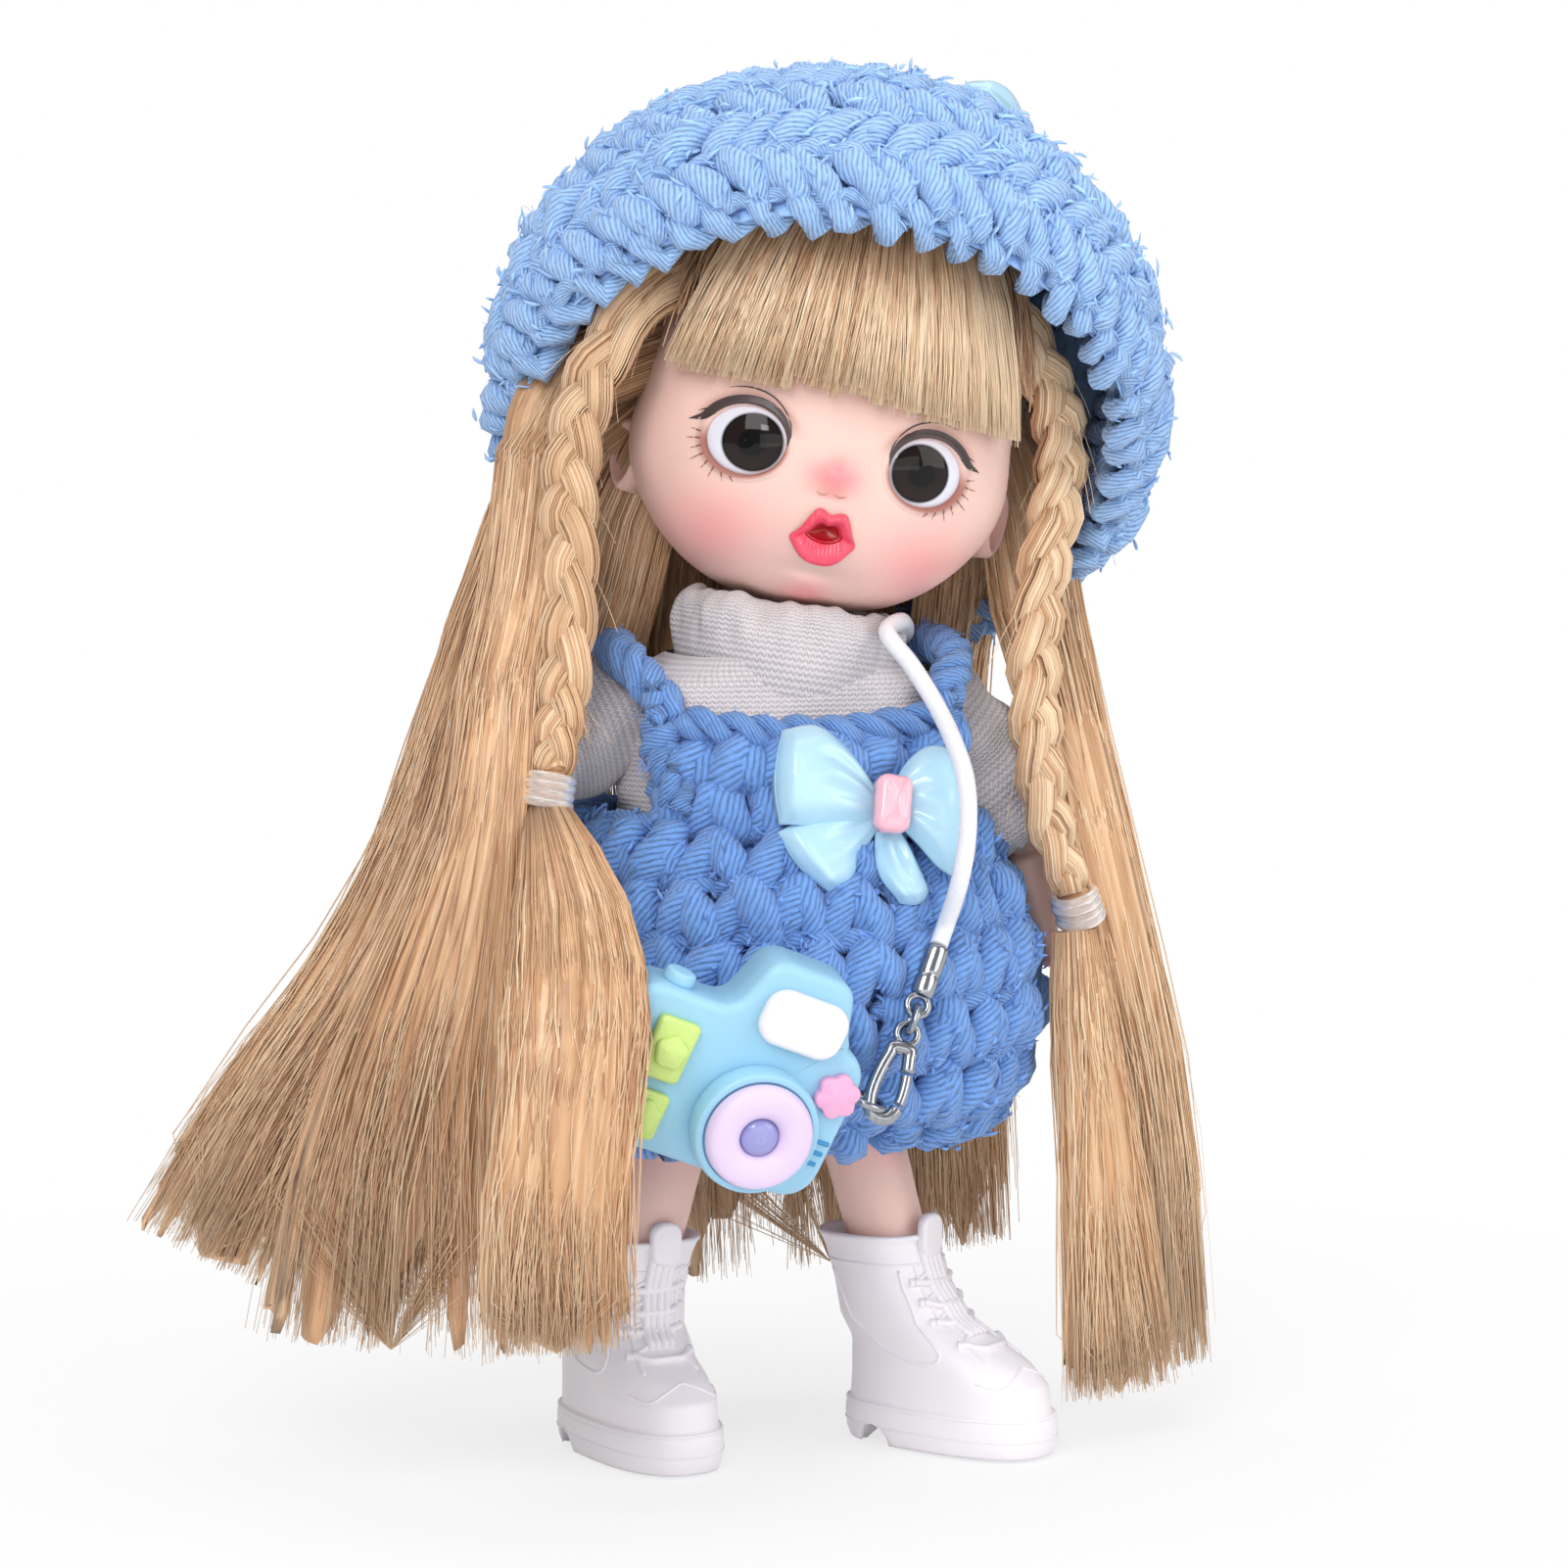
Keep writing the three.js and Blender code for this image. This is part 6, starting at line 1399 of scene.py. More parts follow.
def bangs_shape(seed):
    """The bangs: strands combed from under the hat down the forehead to a sloping cut, in layers."""
    rng = np.random.default_rng(seed)
    count = int(BANGS_STRANDS * sizes().hair_density)
    x_end = rng.uniform(-BANGS_REACH, BANGS_REACH, count)
    centres = np.sort(rng.uniform(-BANGS_REACH, BANGS_REACH, BANGS_CLUMPS))
    own = np.argmin(np.abs(x_end[:, None] - centres[None]), 1)
    cut = rng.normal(0, 0.3, BANGS_CLUMPS)[own] + rng.normal(0, 0.34, count)
    half = HEAD_HALF_WIDTH + CHEEK_SWELL + 2.4
    across = np.arcsin(np.clip(x_end / half, -0.96, 0.96))
    height = BANGS_HEIGHT - BANGS_SLOPE * x_end + cut - 0.25 - 1.8 * soft_step(-5, -12, x_end)
    grow = 0.7 + 2.5 * rng.random(count) ** 0.8
    end = strand_to_height(across, grow, height)
    t = np.linspace(0, 1, 9)[None]
    down = BANGS_ROOT + (end[:, None] - BANGS_ROOT) * t
    pull = 0.2 * soft_step(0.5, 1, t)
    target = np.arcsin(np.clip(centres[own] / half, -0.96, 0.96))
    root = across * 0.75 + rng.normal(0, 0.03, count)
    spread = root[:, None] + (across - root)[:, None] * t
    spread = spread + (target - across)[:, None] * pull + 0.012 * np.sin(
        TURN * (t * 1.3 + rng.random((count, 1)))
    )
    lift = grow[:, None] * np.ones_like(t) + 0.5 * soft_step(0.7, 1, t) * (grow[:, None] > 2)
    paths = head_point(spread, down, lift)
    tone = np.clip(rng.normal(0.45, 0.12, (count, 1)) + rng.normal(0, 0.08, BANGS_CLUMPS)[own][:, None], 0, 1)
    # Painted shade: strands darken towards their roots under the hat and in the layers nearer the forehead,
    # and lighten towards the cut.
    tone = np.clip(tone - 0.4 + 0.75 * soft_step(0.25, 0.85, t) + 0.1 * (grow[:, None] - 2), 0, 1)
    radius = sizes().strand * (1 - 0.6 * soft_step(0.7, 1, t))
    strands = tubes(paths, radius, 3, (0.03, 0.9, 0.4), marks={"tone": tone})
    columns = np.linspace(-0.92, 0.92, 60)
    grown = np.full(60, 1.0)
    x_end = columns * HEAD_HALF_WIDTH
    low = strand_to_height(
        columns, grown, BANGS_HEIGHT - BANGS_SLOPE * x_end + 0.9 - 1.8 * soft_step(-5, -12, x_end)
    )
    down = BANGS_ROOT + (low[None] - BANGS_ROOT) * np.linspace(0, 1, 24)[:, None]
    top = head_point(columns[None], down, 1.3)
    under = head_point(columns[None], down, 0.25)
    # A dark sheet under the strands: painted shade between the bangs and the forehead.
    sheet = surface(np.concatenate([under, top[::-1]], 0), wrap=False, marks={"tone": 0.12})
    return joined(strands, sheet)


def cap_shape(seed):
    """Hair on the skull: a skin grown off the head behind the hairline, and strands combed down over it."""
    rng = np.random.default_rng(seed)
    across = np.linspace(-math.pi, math.pi, 97)[:-1]
    down = np.linspace(0.02, 2.35, 50)[::-1]
    plain = head_point(across[None], down[:, None])
    tilt = math.radians(46)
    behind = plain[..., 1] * math.cos(tilt) + plain[..., 2] * math.sin(tilt) - 4
    grow = -1.5 + (HAIR_THICKNESS + 0.6) * soft_step(-0.5, 1.5, behind)
    # The skin is dark: painted shade under the hat and between the strands.
    core = surface(head_point(across[None], down[:, None], grow), caps=(True, True),
                   marks={"tone": 0.1 + 0.15 * rng.random((1, 96))})
    count = int(CAP_STRANDS * sizes().hair_density)
    angle = rng.uniform(0.95, TURN - 0.95, count)
    t = np.linspace(0, 1, 10)[None]
    end = 1.3 + 1.0 * soft_step(1.95, 2.6, np.minimum(angle, TURN - angle)) + rng.normal(0, 0.05, count)
    down = 0.35 + (end[:, None] - 0.35) * t
    sweep = angle[:, None] + 0.04 * np.sin(TURN * (t + rng.random((count, 1))))
    paths = head_point(sweep, down, 2.2 + 0.9 * rng.random((count, 1)))
    # The strands are darker than the locks, with painted shade that is deepest at their roots under the hat.
    tone = np.clip(rng.normal(0.3, 0.16, (count, 1)) + 0.15 * t, 0, 1)
    return joined(core, tubes(paths, sizes().strand, 3, (0.3, 0.2, 0.93), marks={"tone": tone}))


class DOLL_OT_hair(bpy.types.Operator):
    """Makes the hair on the skull, the bangs, the loose locks, the braids and their elastic bands."""

    bl_idname = "doll.make_hair"
    bl_label = "Hair"

    def execute(self, context):
        hair = hair_finish()
        add_piece("hair_on_skull", cap_shape(2).placed(SKULL), hair, "head", ["hair_cap"])
        add_piece("combed_bangs", bangs_shape(3).placed(SKULL), hair, "head", ["bangs"])
        for seed, (name, (count, lock)) in enumerate(LOCKS.items()):
            add_piece(f"{name}_strands", lock_shape(lock, count, 10 + seed), hair, HAIR_RIDE, [name])
        for seed, (name, lock) in enumerate(BRAIDS.items()):
            add_piece(f"{name}_plait", braid_shape(lock, 30 + seed), hair, HAIR_RIDE, [name])
            end = lock.path[-1]
            ahead = unit(end - lock.path[-2])
            place = Axes(end, np.cross([0, 1, 0.01], ahead), ahead)
            turns = []
            for k in range(4):
                spot = place.moved([0.1 * (k % 2), 0, 0.8 + 0.95 * k])
                turns.append(ring_shape(2.5 + 0.12 * (k % 2), 0.62, spot, (0.05, 0.04 * k, 1)))
            knot = lathe([(0, -0.4), (1.5, 0), (2.4, 1.2), (2.5, 3), (1.6, 4.4), (0, 4.8)], 20).placed(place)
            add_piece(f"{name}_band", joined(*turns), elastic_finish(), HAIR_RIDE, [f"{name}_tie"])
            knot.marks = {"tone": np.full(len(knot.points), 0.35)}
            add_piece(f"{name}_gather", knot, hair, HAIR_RIDE)
        return {"FINISHED"}


# Crochet

class Cloth:
    """Crochet on a spun skin: half widths, half depths and heights, read by the run along a profile."""

    def __init__(self, widths, depths, heights):
        self.widths = np.asarray(widths, float)
        self.depths = np.asarray(depths, float)
        self.heights = np.asarray(heights, float)
        gaps = np.hypot(np.diff(self.widths), np.diff(self.heights))
        self.runs = np.concatenate([[0], np.cumsum(gaps)])

    def section(self, run):
        """Half width, half depth and height at a run along the cloth."""
        return [np.interp(run, self.runs, values) for values in (self.widths, self.depths, self.heights)]

    def at(self, angle, run, lift):
        """Points at an angle round the cloth, a run along it and a lift off it, along its normal."""
        angle, run, lift = matched(angle, run, lift)
        width, depth, height = self.section(run)
        ahead = self.section(run + 0.4)
        back = self.section(run - 0.4)
        outward = unit(np.stack([ahead[2] - back[2], back[0] - ahead[0]], -1))
        radial = unit(
            np.stack([np.cos(angle) / np.maximum(width, 1), np.sin(angle) / np.maximum(depth, 1)], -1)
        )
        normal = np.concatenate([radial * outward[..., :1], outward[..., 1:]], -1)
        place = np.stack([width * np.cos(angle), depth * np.sin(angle), height], -1)
        return place + lift[..., None] * normal

    def around(self, run):
        """The length once round the cloth at a run along it."""
        width, depth, _ = self.section(run)
        return TURN * np.sqrt((width**2 + depth**2) / 2)


YARN_STEPS = 8
YARN_SIDES = 12
TUFT_RADIUS = 0.27
FIBRE_RADIUS = 0.045
FIBRE_REFERENCE = (0.31, 0.52, 0.79)
HAT_TUFTS = 6800
LINING_TUFTS = 1800
SKIRT_TUFTS = 4200
HAT_FUZZ = 1500
SKIRT_FUZZ = 700
BIB_FUZZ = 1400


def stitch_rows(cloth, edges, stitch, strokes, yarn, seed, arc=(0, TURN)):
    """Rows of stitches. Each stroke is a list of (across, up, lift) points, in stitch widths, row heights and
    yarn radii, with a share of the yarn's radius; every other row leans the other way."""
    rng = np.random.default_rng(seed)
    angles, starts, heights, widths, leans = [], [], [], [], []
    for row, (low, high) in enumerate(zip(edges[:-1], edges[1:])):
        share = (arc[1] - arc[0]) / TURN
        count = max(5, round(float(cloth.around((low + high) / 2)) * share / stitch))
        step = (arc[1] - arc[0]) / count
        angles.append(arc[0] + step * (np.arange(count) + 0.5 * (row % 2)))
        starts.append(np.full(count, low))
        heights.append(np.full(count, high - low))
        widths.append(np.full(count, step))
        leans.append(np.full(count, 1.0 if row % 2 else -1.0))
    angles, starts, heights, widths, leans = map(np.concatenate, (angles, starts, heights, widths, leans))
    count = len(angles)
    shapes = []
    for points, share in strokes:
        line = spline(points, np.linspace(0, 1, YARN_STEPS))
        jitter = rng.normal(0, 0.1, (count, 1))
        across = leans[:, None] * rng.uniform(0.65, 1.15, (count, 1)) * line[None, :, 0] + jitter
        angle = angles[:, None] + widths[:, None] * across
        run = starts[:, None] + heights[:, None] * (line[None, :, 1] + rng.normal(0, 0.05, (count, 1)))
        lift = yarn * (line[None, :, 2] + rng.normal(0, 0.14, (count, 1)))
        paths = cloth.at(angle, run, lift)
        normal = cloth.at(angle[:, 4:5], run[:, 4:5], lift[:, 4:5] + 1) - paths[:, 4:5]
        taper = np.array([0.62, 0.86, 1, 1.06, 1.06, 1, 0.86, 0.62])
        radius = yarn * share * taper * rng.normal(1, 0.09, (count, YARN_STEPS))
        shapes.append(tubes(paths, radius, YARN_SIDES, normal, 4, 0.1, 1.0))
    return joined(*shapes)


def tufts_shape(yarns, count, reach, flat, seed):
    """Short tufts that lie along the plies of yarn tubes and lift off them, on the side away from the cloth's
    middle. With flat 0 that side is level with the middle, and with flat 1 it is round a ball."""
    rng = np.random.default_rng(seed)
    rings = yarns.points.reshape(-1, YARN_STEPS, YARN_SIDES, 3)
    middles = rings.mean(2)
    tube = rng.integers(0, len(rings), 4 * count)
    step = rng.integers(1, YARN_STEPS - 1, 4 * count)
    foot = rings[tube, step, rng.integers(0, YARN_SIDES, 4 * count)]
    out = unit(foot - middles[tube, step])
    keep = np.flatnonzero((out * unit(foot * [1, 1, flat])).sum(1) > 0.05)[:count]
    foot, out = foot[keep], out[keep]
    ahead = unit(middles[tube, step + 1] - middles[tube, step - 1])[keep]
    around = np.cross(ahead, out)
    size = len(keep)
    way = unit(0.8 * ahead + 0.7 * around + 0.12 * out + rng.normal(0, 0.32, (size, 3)))
    t = np.linspace(0, 1, 4)[None, :, None]
    length = reach * rng.uniform(0.5, 1.3, (size, 1, 1))
    rise = 0.32 * np.sin(2.2 * t) * out[:, None]
    foot = foot + rng.normal(0, 0.35, (size, 3))
    paths = foot[:, None] - 0.12 * out[:, None] + length * (t - 0.4) * way[:, None] + rise
    radius = TUFT_RADIUS * rng.uniform(0.6, 1.2, (size, 1)) * np.array([0.45, 1.0, 0.9, 0.2])
    # Painted light and shade over a random tone: each tuft is darker at its foot in the yarn and paler
    # towards its free tip.
    tone = np.clip(rng.normal(0.45, 0.2, (size, 1)) + np.array([-0.1, 0, 0.1, 0.15]), 0, 1)
    return tubes(paths, radius, 3, FIBRE_REFERENCE, marks={"tone": tone})


def fuzz_shape(yarns, count, reach, flat, seeds):
    """Loose fibres: thin curls that start at points of the yarn and drift off it, away from the cloth's
    middle. With flat 0 that way is level, and with flat 1 it is round a ball."""
    places = yarns.points[np.random.default_rng(seeds[0]).integers(0, len(yarns.points), count)]
    normals = unit(places * [1, 1, flat])
    rng = np.random.default_rng(seeds[1])
    pick = rng.integers(0, len(places), count)
    way = unit(normals[pick] + rng.normal(0, 0.75, (count, 3)))
    curl = unit(np.cross(way, rng.normal(0, 1, (count, 3))))
    t = np.linspace(0, 1, 4)[None, :, None]
    length = reach * rng.uniform(0.4, 1.3, (count, 1, 1))
    paths = places[pick][:, None] + length * (t * way[:, None] + 0.55 * np.sin(2.4 * t) * t * curl[:, None])
    return tubes(paths, FIBRE_RADIUS, 3, FIBRE_REFERENCE, marks={"tone": 0.6})


LEANING_STITCH = [
    ([(-0.62, -0.12, 0.1), (-0.42, 0.2, 0.8), (0.05, 0.55, 1.0), (0.5, 0.88, 0.7), (0.7, 1.12, 0.05)], 1.0),
    ([(-0.75, 0.9, 0.2), (-0.3, 1.04, 0.7), (0.25, 1.0, 0.75), (0.75, 0.92, 0.2)], 0.66),
]
PUFF_STITCH = [
    ([(-0.42, -0.16, 0), (-0.36, 0.2, 0.8), (-0.16, 0.55, 1.15), (0.06, 0.88, 0.9), (0.12, 1.12, 0.1)], 1.06),
    ([(0.44, -0.1, 0.0), (0.36, 0.22, 0.75), (0.18, 0.56, 1.05), (-0.02, 0.9, 0.8), (-0.1, 1.12, 0.0)], 0.95),
    ([(-0.66, 0.95, 0.2), (-0.26, 1.08, 0.72), (0.3, 1.04, 0.76), (0.68, 0.95, 0.2)], 0.62),
]


def hat_cloth():
    """The hat's skin: down the inside of the brim, round its edge, and up the outside to the crown."""
    yarn = sizes().hat_yarn
    start = -math.asin(HAT_BRIM_DROP / HAT_RADIUS)
    inner = HAT_RADIUS - HAT_THICKNESS + 1.3
    outer = HAT_RADIUS - yarn * 1.85
    fall = np.linspace(0.5, start, 24)
    rise = np.linspace(start, math.pi / 2, 70)
    inside = np.stack(
        [inner * np.cos(fall), np.where(fall > 0, HAT_TOP - HAT_THICKNESS, inner) * np.sin(fall)], 1
    )
    outside = np.stack(
        [outer * np.cos(rise), np.where(rise > 0, HAT_TOP - yarn * 1.85, outer) * np.sin(rise)], 1
    )
    middle = (inside[-1] + outside[0]) / 2
    half = np.linalg.norm(outside[0] - inside[-1]) / 2
    arc = np.linspace(math.pi, 2 * math.pi, 10)[1:-1]
    edge = middle + half * np.stack([np.cos(arc), 0.7 * np.sin(arc)], 1)
    profile = np.vstack([inside, edge, outside])
    return Cloth(profile[:, 0], profile[:, 0], profile[:, 1]), np.hypot(*np.diff(inside, axis=0).T).sum()


class DOLL_OT_hat(bpy.types.Operator):
    """Makes the crocheted hat, inside and out, with its fuzz and its resin bow."""

    bl_idname = "doll.make_hat"
    bl_label = "Hat"

    def execute(self, context):
        s = sizes()
        cloth, inside = hat_cloth()
        total = cloth.runs[-1]
        runs = np.linspace(0, total, 90)
        angle = even_angles(72)
        core = surface(cloth.at(angle[None], runs[:, None], np.full((90, 72), -0.35)), caps=(False, True))
        yarn = yarn_finish("hat_yarn")
        pile = tuft_finish("hat_yarn")
        add_piece("hat_ground", core.placed(HAT), yarn, "hat")
        brim = inside + 1.5
        inner = stitch_rows(cloth, [brim - 3 * s.hat_row, brim - 2 * s.hat_row, brim - s.hat_row, brim + 1],
                            s.hat_stitch * 1.1, LEANING_STITCH, s.hat_yarn * 0.75, 5)
        rows = max(4, round((total - brim - 1) / s.hat_row))
        edges = np.linspace(brim + 1, total - 1.5, rows + 1)
        outer = stitch_rows(cloth, edges, s.hat_stitch, LEANING_STITCH, s.hat_yarn, 6)
        add_piece("hat_inner_rows", inner.placed(HAT), yarn, "hat")
        add_piece("hat_outer_rows", outer.placed(HAT), yarn, "hat", ["hat"])
        add_piece("hat_tufts", tufts_shape(outer, HAT_TUFTS, 2.4, 1, 7).placed(HAT), pile, "hat")
        lining = tufts_shape(inner, LINING_TUFTS, 2.3, -1, 9)
        fuzz = fuzz_shape(outer, HAT_FUZZ, 1.6, 1, (8, 8))
        add_piece("hat_fuzz", joined(lining, fuzz).placed(HAT), pile, "hat")
        x, y = HAT_BOW_PLACE
        rise = HAT_TOP * math.sqrt(1 - (x**2 + y**2) / HAT_RADIUS**2)
        normal = unit(np.array([x / HAT_RADIUS**2, y / HAT_RADIUS**2, rise / HAT_TOP**2]))
        out = normal @ HAT.turn
        place = Axes(HAT.out(np.array([x, y, rise]) + 0.6 * normal), np.cross(-out, [0, 0, 1]), [0, 0, 1])
        up = np.cross(place.turn[0], -out)
        place = Axes(place.origin, place.turn[0], up)
        add_piece(
            "hat_resin_bow", bow_shape(HAT_BOW_WIDTH).placed(place), resin_finish("bow"), "hat",
            ["hat_bow"]
        )
        return {"FINISHED"}


BODY_SQUARE = 2.7


def sweater_half(z):
    """The jumper's half width and half depth at heights."""
    heights = [WAIST_Z - 9, WAIST_Z, SHOULDER_Z - 7, SHOULDER_Z, SHOULDER_Z + 4, TORSO_TOP, TORSO_TOP + 1.5]
    widths = [19.3, 19.6, 20, 20.8, 20, 15.6, 12.6]
    depths = [14.2, 14.4, 14.2, 13.5, 12.4, 11.6, 11.6]
    return np.interp(z, heights, widths), np.interp(z, heights, depths)


def boxy(angle):
    """How much further out the jumper is than an ellipse at angles round it, for its square shoulders."""
    return (np.abs(np.cos(angle)) ** BODY_SQUARE + np.abs(np.sin(angle)) ** BODY_SQUARE) ** (-1 / BODY_SQUARE)


def on_sweater(x, z, lift, back=False):
    """Points on the jumper's front or back at x and z, lifted off it; past its width they stay at its
    side."""
    width, depth = sweater_half(z)
    share = np.clip(np.abs(x) / width, 0, 1)
    y = (depth + lift) * (1 - share**BODY_SQUARE) ** (1 / BODY_SQUARE) * (1 if back else -1)
    return np.stack(np.broadcast_arrays((width + lift) * np.sign(x) * share, y, z), -1)


def skirt_cloth():
    """The skirt's skin: from just inside the hem, round the hem and up to the waist."""
    heights = np.array([6, 1.6, -0.2, 0.6, 2.5, 8, 15, 24, SKIRT_LENGTH - 5, SKIRT_LENGTH]) + HEM_Z
    widths = [26.0, 24.6, 26.0, 28, 29.0, 31.2, 32.0, 29.8, 26.2, 24.2]
    depths = [19.6, 18.6, 20.0, 22, 23.0, 24.8, 25.6, 23.6, 21.0, 19.0]
    line = spline(np.stack([widths, depths, heights], 1), np.linspace(0, 1, 90))
    yarn = sizes().dress_yarn
    return Cloth(line[:, 0] - yarn, line[:, 1] - yarn, line[:, 2])


def rope(points, radius, strands, turn_length, seed, wander=0.0):
    """A rope: strands that wind round the line through points, one turn in each turn_length."""
    rng = np.random.default_rng(seed)
    steps = 60
    line = spline(points, np.linspace(0, 1, steps))
    ahead = unit(np.gradient(line, axis=0))
    first = unit(np.cross(ahead, [0.2, 0.35, 0.9]))
    second = np.cross(ahead, first)
    run = run_along(line)
    turn = TURN * (run[None] / turn_length + np.arange(strands)[:, None] / strands)
    offset = radius * 0.52 * (np.cos(turn)[..., None] * first + np.sin(turn)[..., None] * second)
    offset = offset + wander * rng.normal(0, 1, (strands, 1, 3))
    return tubes(line[None] + offset, radius * 0.56, 9, (0.2, 0.35, 0.9), 3, 0.14, 0.8)


class DOLL_OT_dress(bpy.types.Operator):
    """Makes the crocheted pinafore: the skirt's rows of puffs, the bib's ribs, its edge and its straps."""

    bl_idname = "doll.make_dress"
    bl_label = "Dress"

    def execute(self, context):
        s = sizes()
        yarn = yarn_finish("dress_yarn")
        pile = tuft_finish("dress_yarn")
        cloth = skirt_cloth()
        total = cloth.runs[-1]
        runs = np.linspace(0, total, 70)
        angle = even_angles(96)
        grid = cloth.at(angle[None], runs[:, None], np.full((70, 96), -0.1))
        add_piece("skirt_ground", surface(grid).placed(DOLL), yarn, "torso")
        count = max(3, round((total - 4) / s.dress_row))
        edges = np.linspace(2.5, total - 1.2, count + 1)
        rows = stitch_rows(cloth, edges, s.dress_stitch, PUFF_STITCH, s.dress_yarn, 11)
        add_piece("skirt_rows", rows.placed(DOLL), yarn, "torso", ["dress_skirt"])
        add_piece(
            "skirt_tufts", tufts_shape(rows, SKIRT_TUFTS, 1.7, 0, 12).placed(DOLL), pile, "torso",
        )
        fuzz = fuzz_shape(rows, SKIRT_FUZZ, 1.5, 0, (12, 13))
        add_piece("skirt_fuzz", fuzz.placed(DOLL), pile, "torso")

        lift = SOFT_CLEARANCE + 0.3 * YARN_THICKNESS
        rise = np.linspace(-1.5, BIB_HEIGHT + 2, 30)
        width, depth = sweater_half(WAIST_Z + rise)
        front = Cloth(width + lift, depth + lift, WAIST_Z + rise)
        reach = math.asin(BIB_HALF_WIDTH / SWEATER_HALF_WIDTH) * 0.92
        arc = (-math.pi / 2 - reach, -math.pi / 2 + reach)
        panel = front.at(np.linspace(*arc, 40)[None], np.linspace(0, front.runs[-1] - 2, 20)[:, None], -0.3)
        ribs = [surface(panel, wrap=False)]
        ribs.append(stitch_rows(front, [0.2, 6.2, 11.4], 5.2, PUFF_STITCH, s.dress_yarn * 1.05, 41, arc))
        shares = np.linspace(-1, 1, 15)
        edge_z = WAIST_Z + BIB_HEIGHT + 0.9 + 1.6 * shares**2
        ribs.append(
            rope(on_sweater(shares * (BIB_HALF_WIDTH - 0.6), edge_z, lift + 1.2), 2.1, 2, 8, 50, 0.05)
        )
        for side in (-1, 1):
            z = WAIST_Z + np.array([2, 6, BIB_HEIGHT])
            before = on_sweater(side * np.array([13.4, 14.4, 15.6]), z, lift + 1.4)
            over = np.array([
                [17.4, -13.2, SHOULDER_Z + 1.4], [19.4, -10.2, TORSO_TOP - 0.8],
                [20.6, -5.4, TORSO_TOP + 1.2], [19.8, 2, TORSO_TOP + 1.8], [17.6, 9, TORSO_TOP - 0.6],
            ]) * [side, 1, 1]
            z = np.array([SHOULDER_Z - 3, WAIST_Z + 3, WAIST_Z - 1])
            behind = on_sweater(
                side * np.array([14.5, BACK_STRAP_X + 2.8, BACK_STRAP_X + 2.4]), z, lift + 1, True
            )
            ribs.append(rope(np.vstack([before, over, behind]), 2.5, 3, 10, 60, 0.06))
        bib = joined(*ribs)
        add_piece("bib_and_straps", bib.placed(DOLL), yarn, "torso", ["dress_bib"])
        fuzz = fuzz_shape(bib, BIB_FUZZ, 1.5, 0, (14, 15))
        add_piece("bib_fuzz", fuzz.placed(DOLL), pile, "torso")
        return {"FINISHED"}


# Jumper

def jumper_body():
    """The jumper's body: square-shouldered rings up to the neck, with soft folds that slant round it."""
    rows = 90
    z = np.linspace(WAIST_Z - 8.5, TORSO_TOP + 1.2, rows)[:, None]
    angle = even_angles(150)
    width, depth = sweater_half(z)
    fold = 0.45 * np.sin(5 * angle + 0.35 * z) + 0.3 * np.sin(9 * angle - 0.5 * z)
    fold = fold + 0.22 * np.sin(3 * angle + 0.9 * z)
    fold = fold * soft_step(WAIST_Z - 6, WAIST_Z + 4, z) * (
        1 - 0.75 * soft_step(SHOULDER_Z + 1, TORSO_TOP, z)
    )
    x = (width + fold) * boxy(angle) * np.cos(angle)
    y = (depth + fold) * boxy(angle) * np.sin(angle)
    outer = np.stack(np.broadcast_arrays(x, y, z), -1)
    stitch = sizes().knit_stitch
    around = TURN * SWEATER_HALF_WIDTH * 0.87
    return surface(outer, uv=(round(around / stitch), (TORSO_TOP - WAIST_Z + 9.7) / (stitch * 0.85)))


def jumper_collar():
    """The collar: a loose, soft stand round the neck that bulges, folds and rolls over at its top."""
    profile = np.array([
        [COLLAR_RADIUS - 1.7, -5.0], [COLLAR_RADIUS - 0.2, -4.8], [COLLAR_RADIUS + 0.7, -1.6],
        [COLLAR_RADIUS + 1.4, 1.6], [COLLAR_RADIUS + 1.7, 4.2], [COLLAR_RADIUS + 1.4, 6.0],
        [COLLAR_RADIUS + 0.4, 7.2], [COLLAR_RADIUS - 0.8, 7.3], [COLLAR_RADIUS - 1.7, 6.2],
        [COLLAR_RADIUS - 2.1, 3], [COLLAR_RADIUS - 2.2, -2.3],
    ])
    line = spline(profile, np.linspace(0, 1, 54))
    angle = even_angles(240)
    height = line[:, 1:]
    share = soft_step(-2, 5, height)
    fold = 0.5 * np.sin(5 * angle + 0.25 * height) + 0.35 * np.sin(9 * angle - 0.4 * height + 1)
    fold = fold + 0.22 * np.sin(17 * angle + 0.5 * height) + 0.12 * np.sin(31 * angle + 2)
    lip = soft_step(4, 7, height) * (
        0.22 * np.sin(7 * angle) + 0.16 * np.sin(13 * angle + 1) + 0.12 * np.sin(26 * angle)
    )
    radius = line[:, :1] + share * fold
    grid = np.stack([radius * np.cos(angle), radius * np.sin(angle), height + lip], -1)
    stitch = sizes().knit_stitch
    return surface(grid, uv=(round(TURN * COLLAR_RADIUS / stitch), 24 / (stitch * 0.85)))


